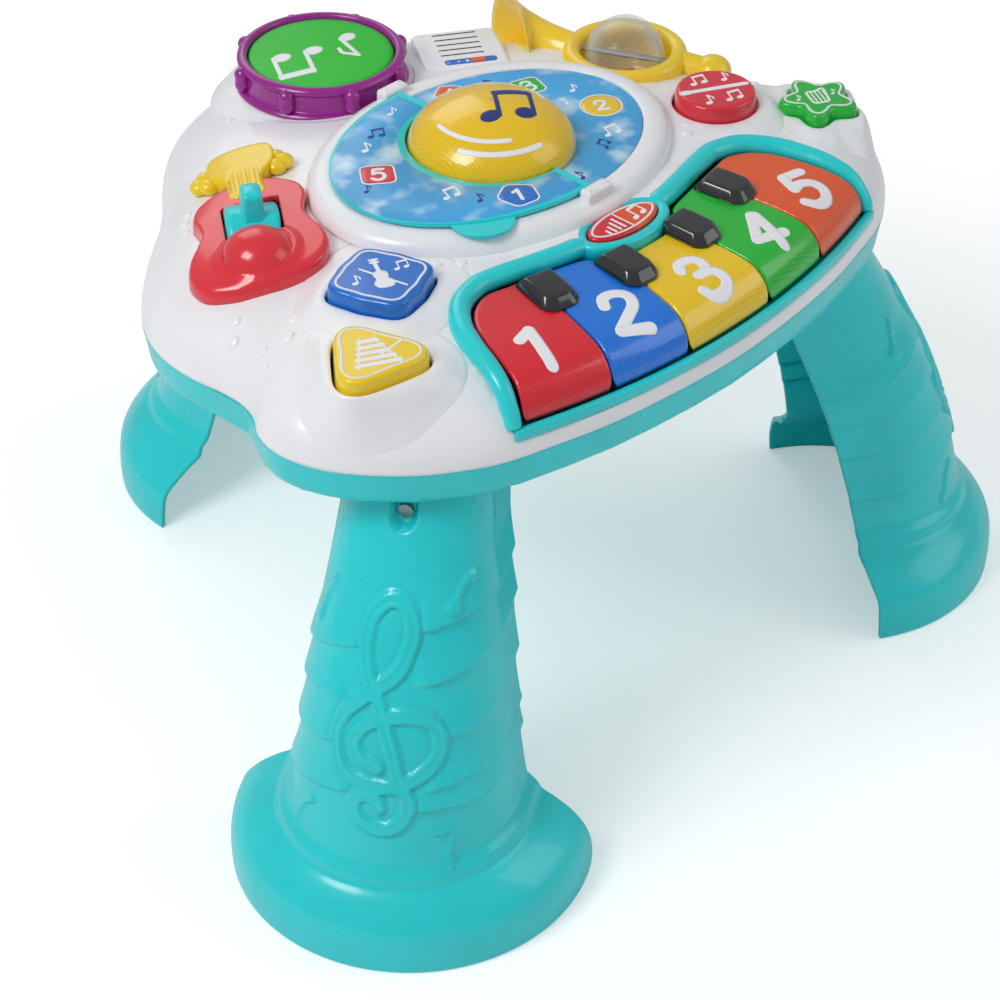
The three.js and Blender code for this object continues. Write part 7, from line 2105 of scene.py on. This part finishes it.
class TABLE_OT_stage(bpy.types.Operator):
    """Floor disc with even rings, white world and soft lamps, and the camera: a turned basis of
    right, up and back axes at the place that the photograph was taken from."""

    bl_idname = "activity_table.stage"
    bl_label = "Stage, lamps and camera"

    def execute(self, context):
        scene = context.scene
        rings = lathe([(0.5, 0), (300, 0), (900, 0), (2400, 0), (6000, 0)], 0, -SHIFT_Y, 72)
        verts, faces = loft(rings, ends=False)
        verts = (verts + [0, SHIFT_Y, -0.05]) * MM
        mesh = bpy.data.meshes.new("floor")
        mesh.from_pydata(verts.tolist(), [], [f.tolist() for part in faces for f in part])
        mesh.materials.append(backdrop_material())
        floor = bpy.data.objects.new("floor", mesh)
        scene.collection.objects.link(floor)

        world = scene.world or bpy.data.worlds.new("studio")
        scene.world = world
        world.use_nodes = True
        tree = world.node_tree
        tree.nodes.clear()
        out = tree.nodes.new("ShaderNodeOutputWorld")
        soft = node(tree, "ShaderNodeBackground", {"Color": (0.96, 0.98, 1, 1), "Strength": 0.4})
        clear = node(tree, "ShaderNodeBackground", {"Color": (1, 1, 1, 1), "Strength": 1.0})
        rays = tree.nodes.new("ShaderNodeLightPath")
        most = node(tree, "ShaderNodeMath", operation="MAXIMUM")
        tree.links.new(rays.outputs["Is Camera Ray"], most.inputs[0])
        tree.links.new(rays.outputs["Is Transmission Ray"], most.inputs[1])
        mix = tree.nodes.new("ShaderNodeMixShader")
        tree.links.new(most.outputs[0], mix.inputs[0])
        tree.links.new(soft.outputs[0], mix.inputs[1])
        tree.links.new(clear.outputs[0], mix.inputs[2])
        tree.links.new(mix.outputs[0], out.inputs[0])

        for lamp in LAMPS:
            area_lamp(*lamp)

        camera = bpy.data.cameras.new("photo_camera")
        camera.sensor_width = SENSOR_WIDTH
        camera.lens = CAMERA_FOCUS * SENSOR_WIDTH / PICTURE_WIDTH
        camera.shift_x = (PICTURE_WIDTH / 2 - CAMERA_MIDDLE[0]) / PICTURE_WIDTH
        camera.shift_y = (CAMERA_MIDDLE[1] - PICTURE_WIDTH / 2) / PICTURE_WIDTH
        camera.clip_end = 50
        obj = bpy.data.objects.new("photo_camera", camera)
        basis = np.array(CAMERA_AXES)
        obj.rotation_mode = "XYZ"
        obj.rotation_euler = Matrix(basis.T.tolist()).to_euler("XYZ")
        obj.location = [(v + shift) * MM for v, shift in zip(CAMERA_PLACE, (0, SHIFT_Y, 0))]
        scene.collection.objects.link(obj)
        scene.camera = obj
        scene.view_settings.view_transform = "Standard"
        return {"FINISHED"}


class VIEW3D_PT_activity_table(bpy.types.Panel):
    """Activity table: its sizes and colours, and one button for each piece."""

    bl_label = "Activity table"
    bl_space_type = "VIEW_3D"
    bl_region_type = "UI"
    bl_category = "Activity table"

    def draw(self, context):
        for group in (context.scene.activity_table_sizes, context.scene.activity_table_colours):
            box = self.layout.box()
            for key in group.__annotations__:
                box.prop(group, key)
        for operator in OPERATORS:
            self.layout.operator(operator.bl_idname)


OPERATORS = (
    TABLE_OT_stage, TABLE_OT_crown, TABLE_OT_crown_bumps, TABLE_OT_collars, TABLE_OT_bezel,
    TABLE_OT_housing, TABLE_OT_band, TABLE_OT_legs, TABLE_OT_keys, TABLE_OT_black_keys,
    TABLE_OT_piano_frame, TABLE_OT_mode_button, TABLE_OT_buttons, TABLE_OT_drum,
    TABLE_OT_guitar, TABLE_OT_lever, TABLE_OT_trumpet, TABLE_OT_rattle, TABLE_OT_dome,
    TABLE_OT_disc, TABLE_OT_page, TABLE_OT_kept_nodes,
)
CLASSES = (TableSizes, TableColours, *OPERATORS, VIEW3D_PT_activity_table)


def register():
    """Registers the classes and the scene's settings."""
    for one in CLASSES:
        bpy.utils.register_class(one)
    bpy.types.Scene.activity_table_sizes = bpy.props.PointerProperty(type=TableSizes)
    bpy.types.Scene.activity_table_colours = bpy.props.PointerProperty(type=TableColours)


def unregister():
    """Takes the settings and the classes away again."""
    del bpy.types.Scene.activity_table_colours
    del bpy.types.Scene.activity_table_sizes
    for one in reversed(CLASSES):
        bpy.utils.unregister_class(one)


def main():
    """Makes the whole table."""
    register()
    for operator in OPERATORS:
        group, name = operator.bl_idname.split(".")
        result = getattr(getattr(bpy.ops, group), name)()
        if result != {"FINISHED"}:
            raise RuntimeError(f"{operator.bl_label} did not finish")
    bpy.context.view_layer.update()


if __name__ == "__main__":
    main()
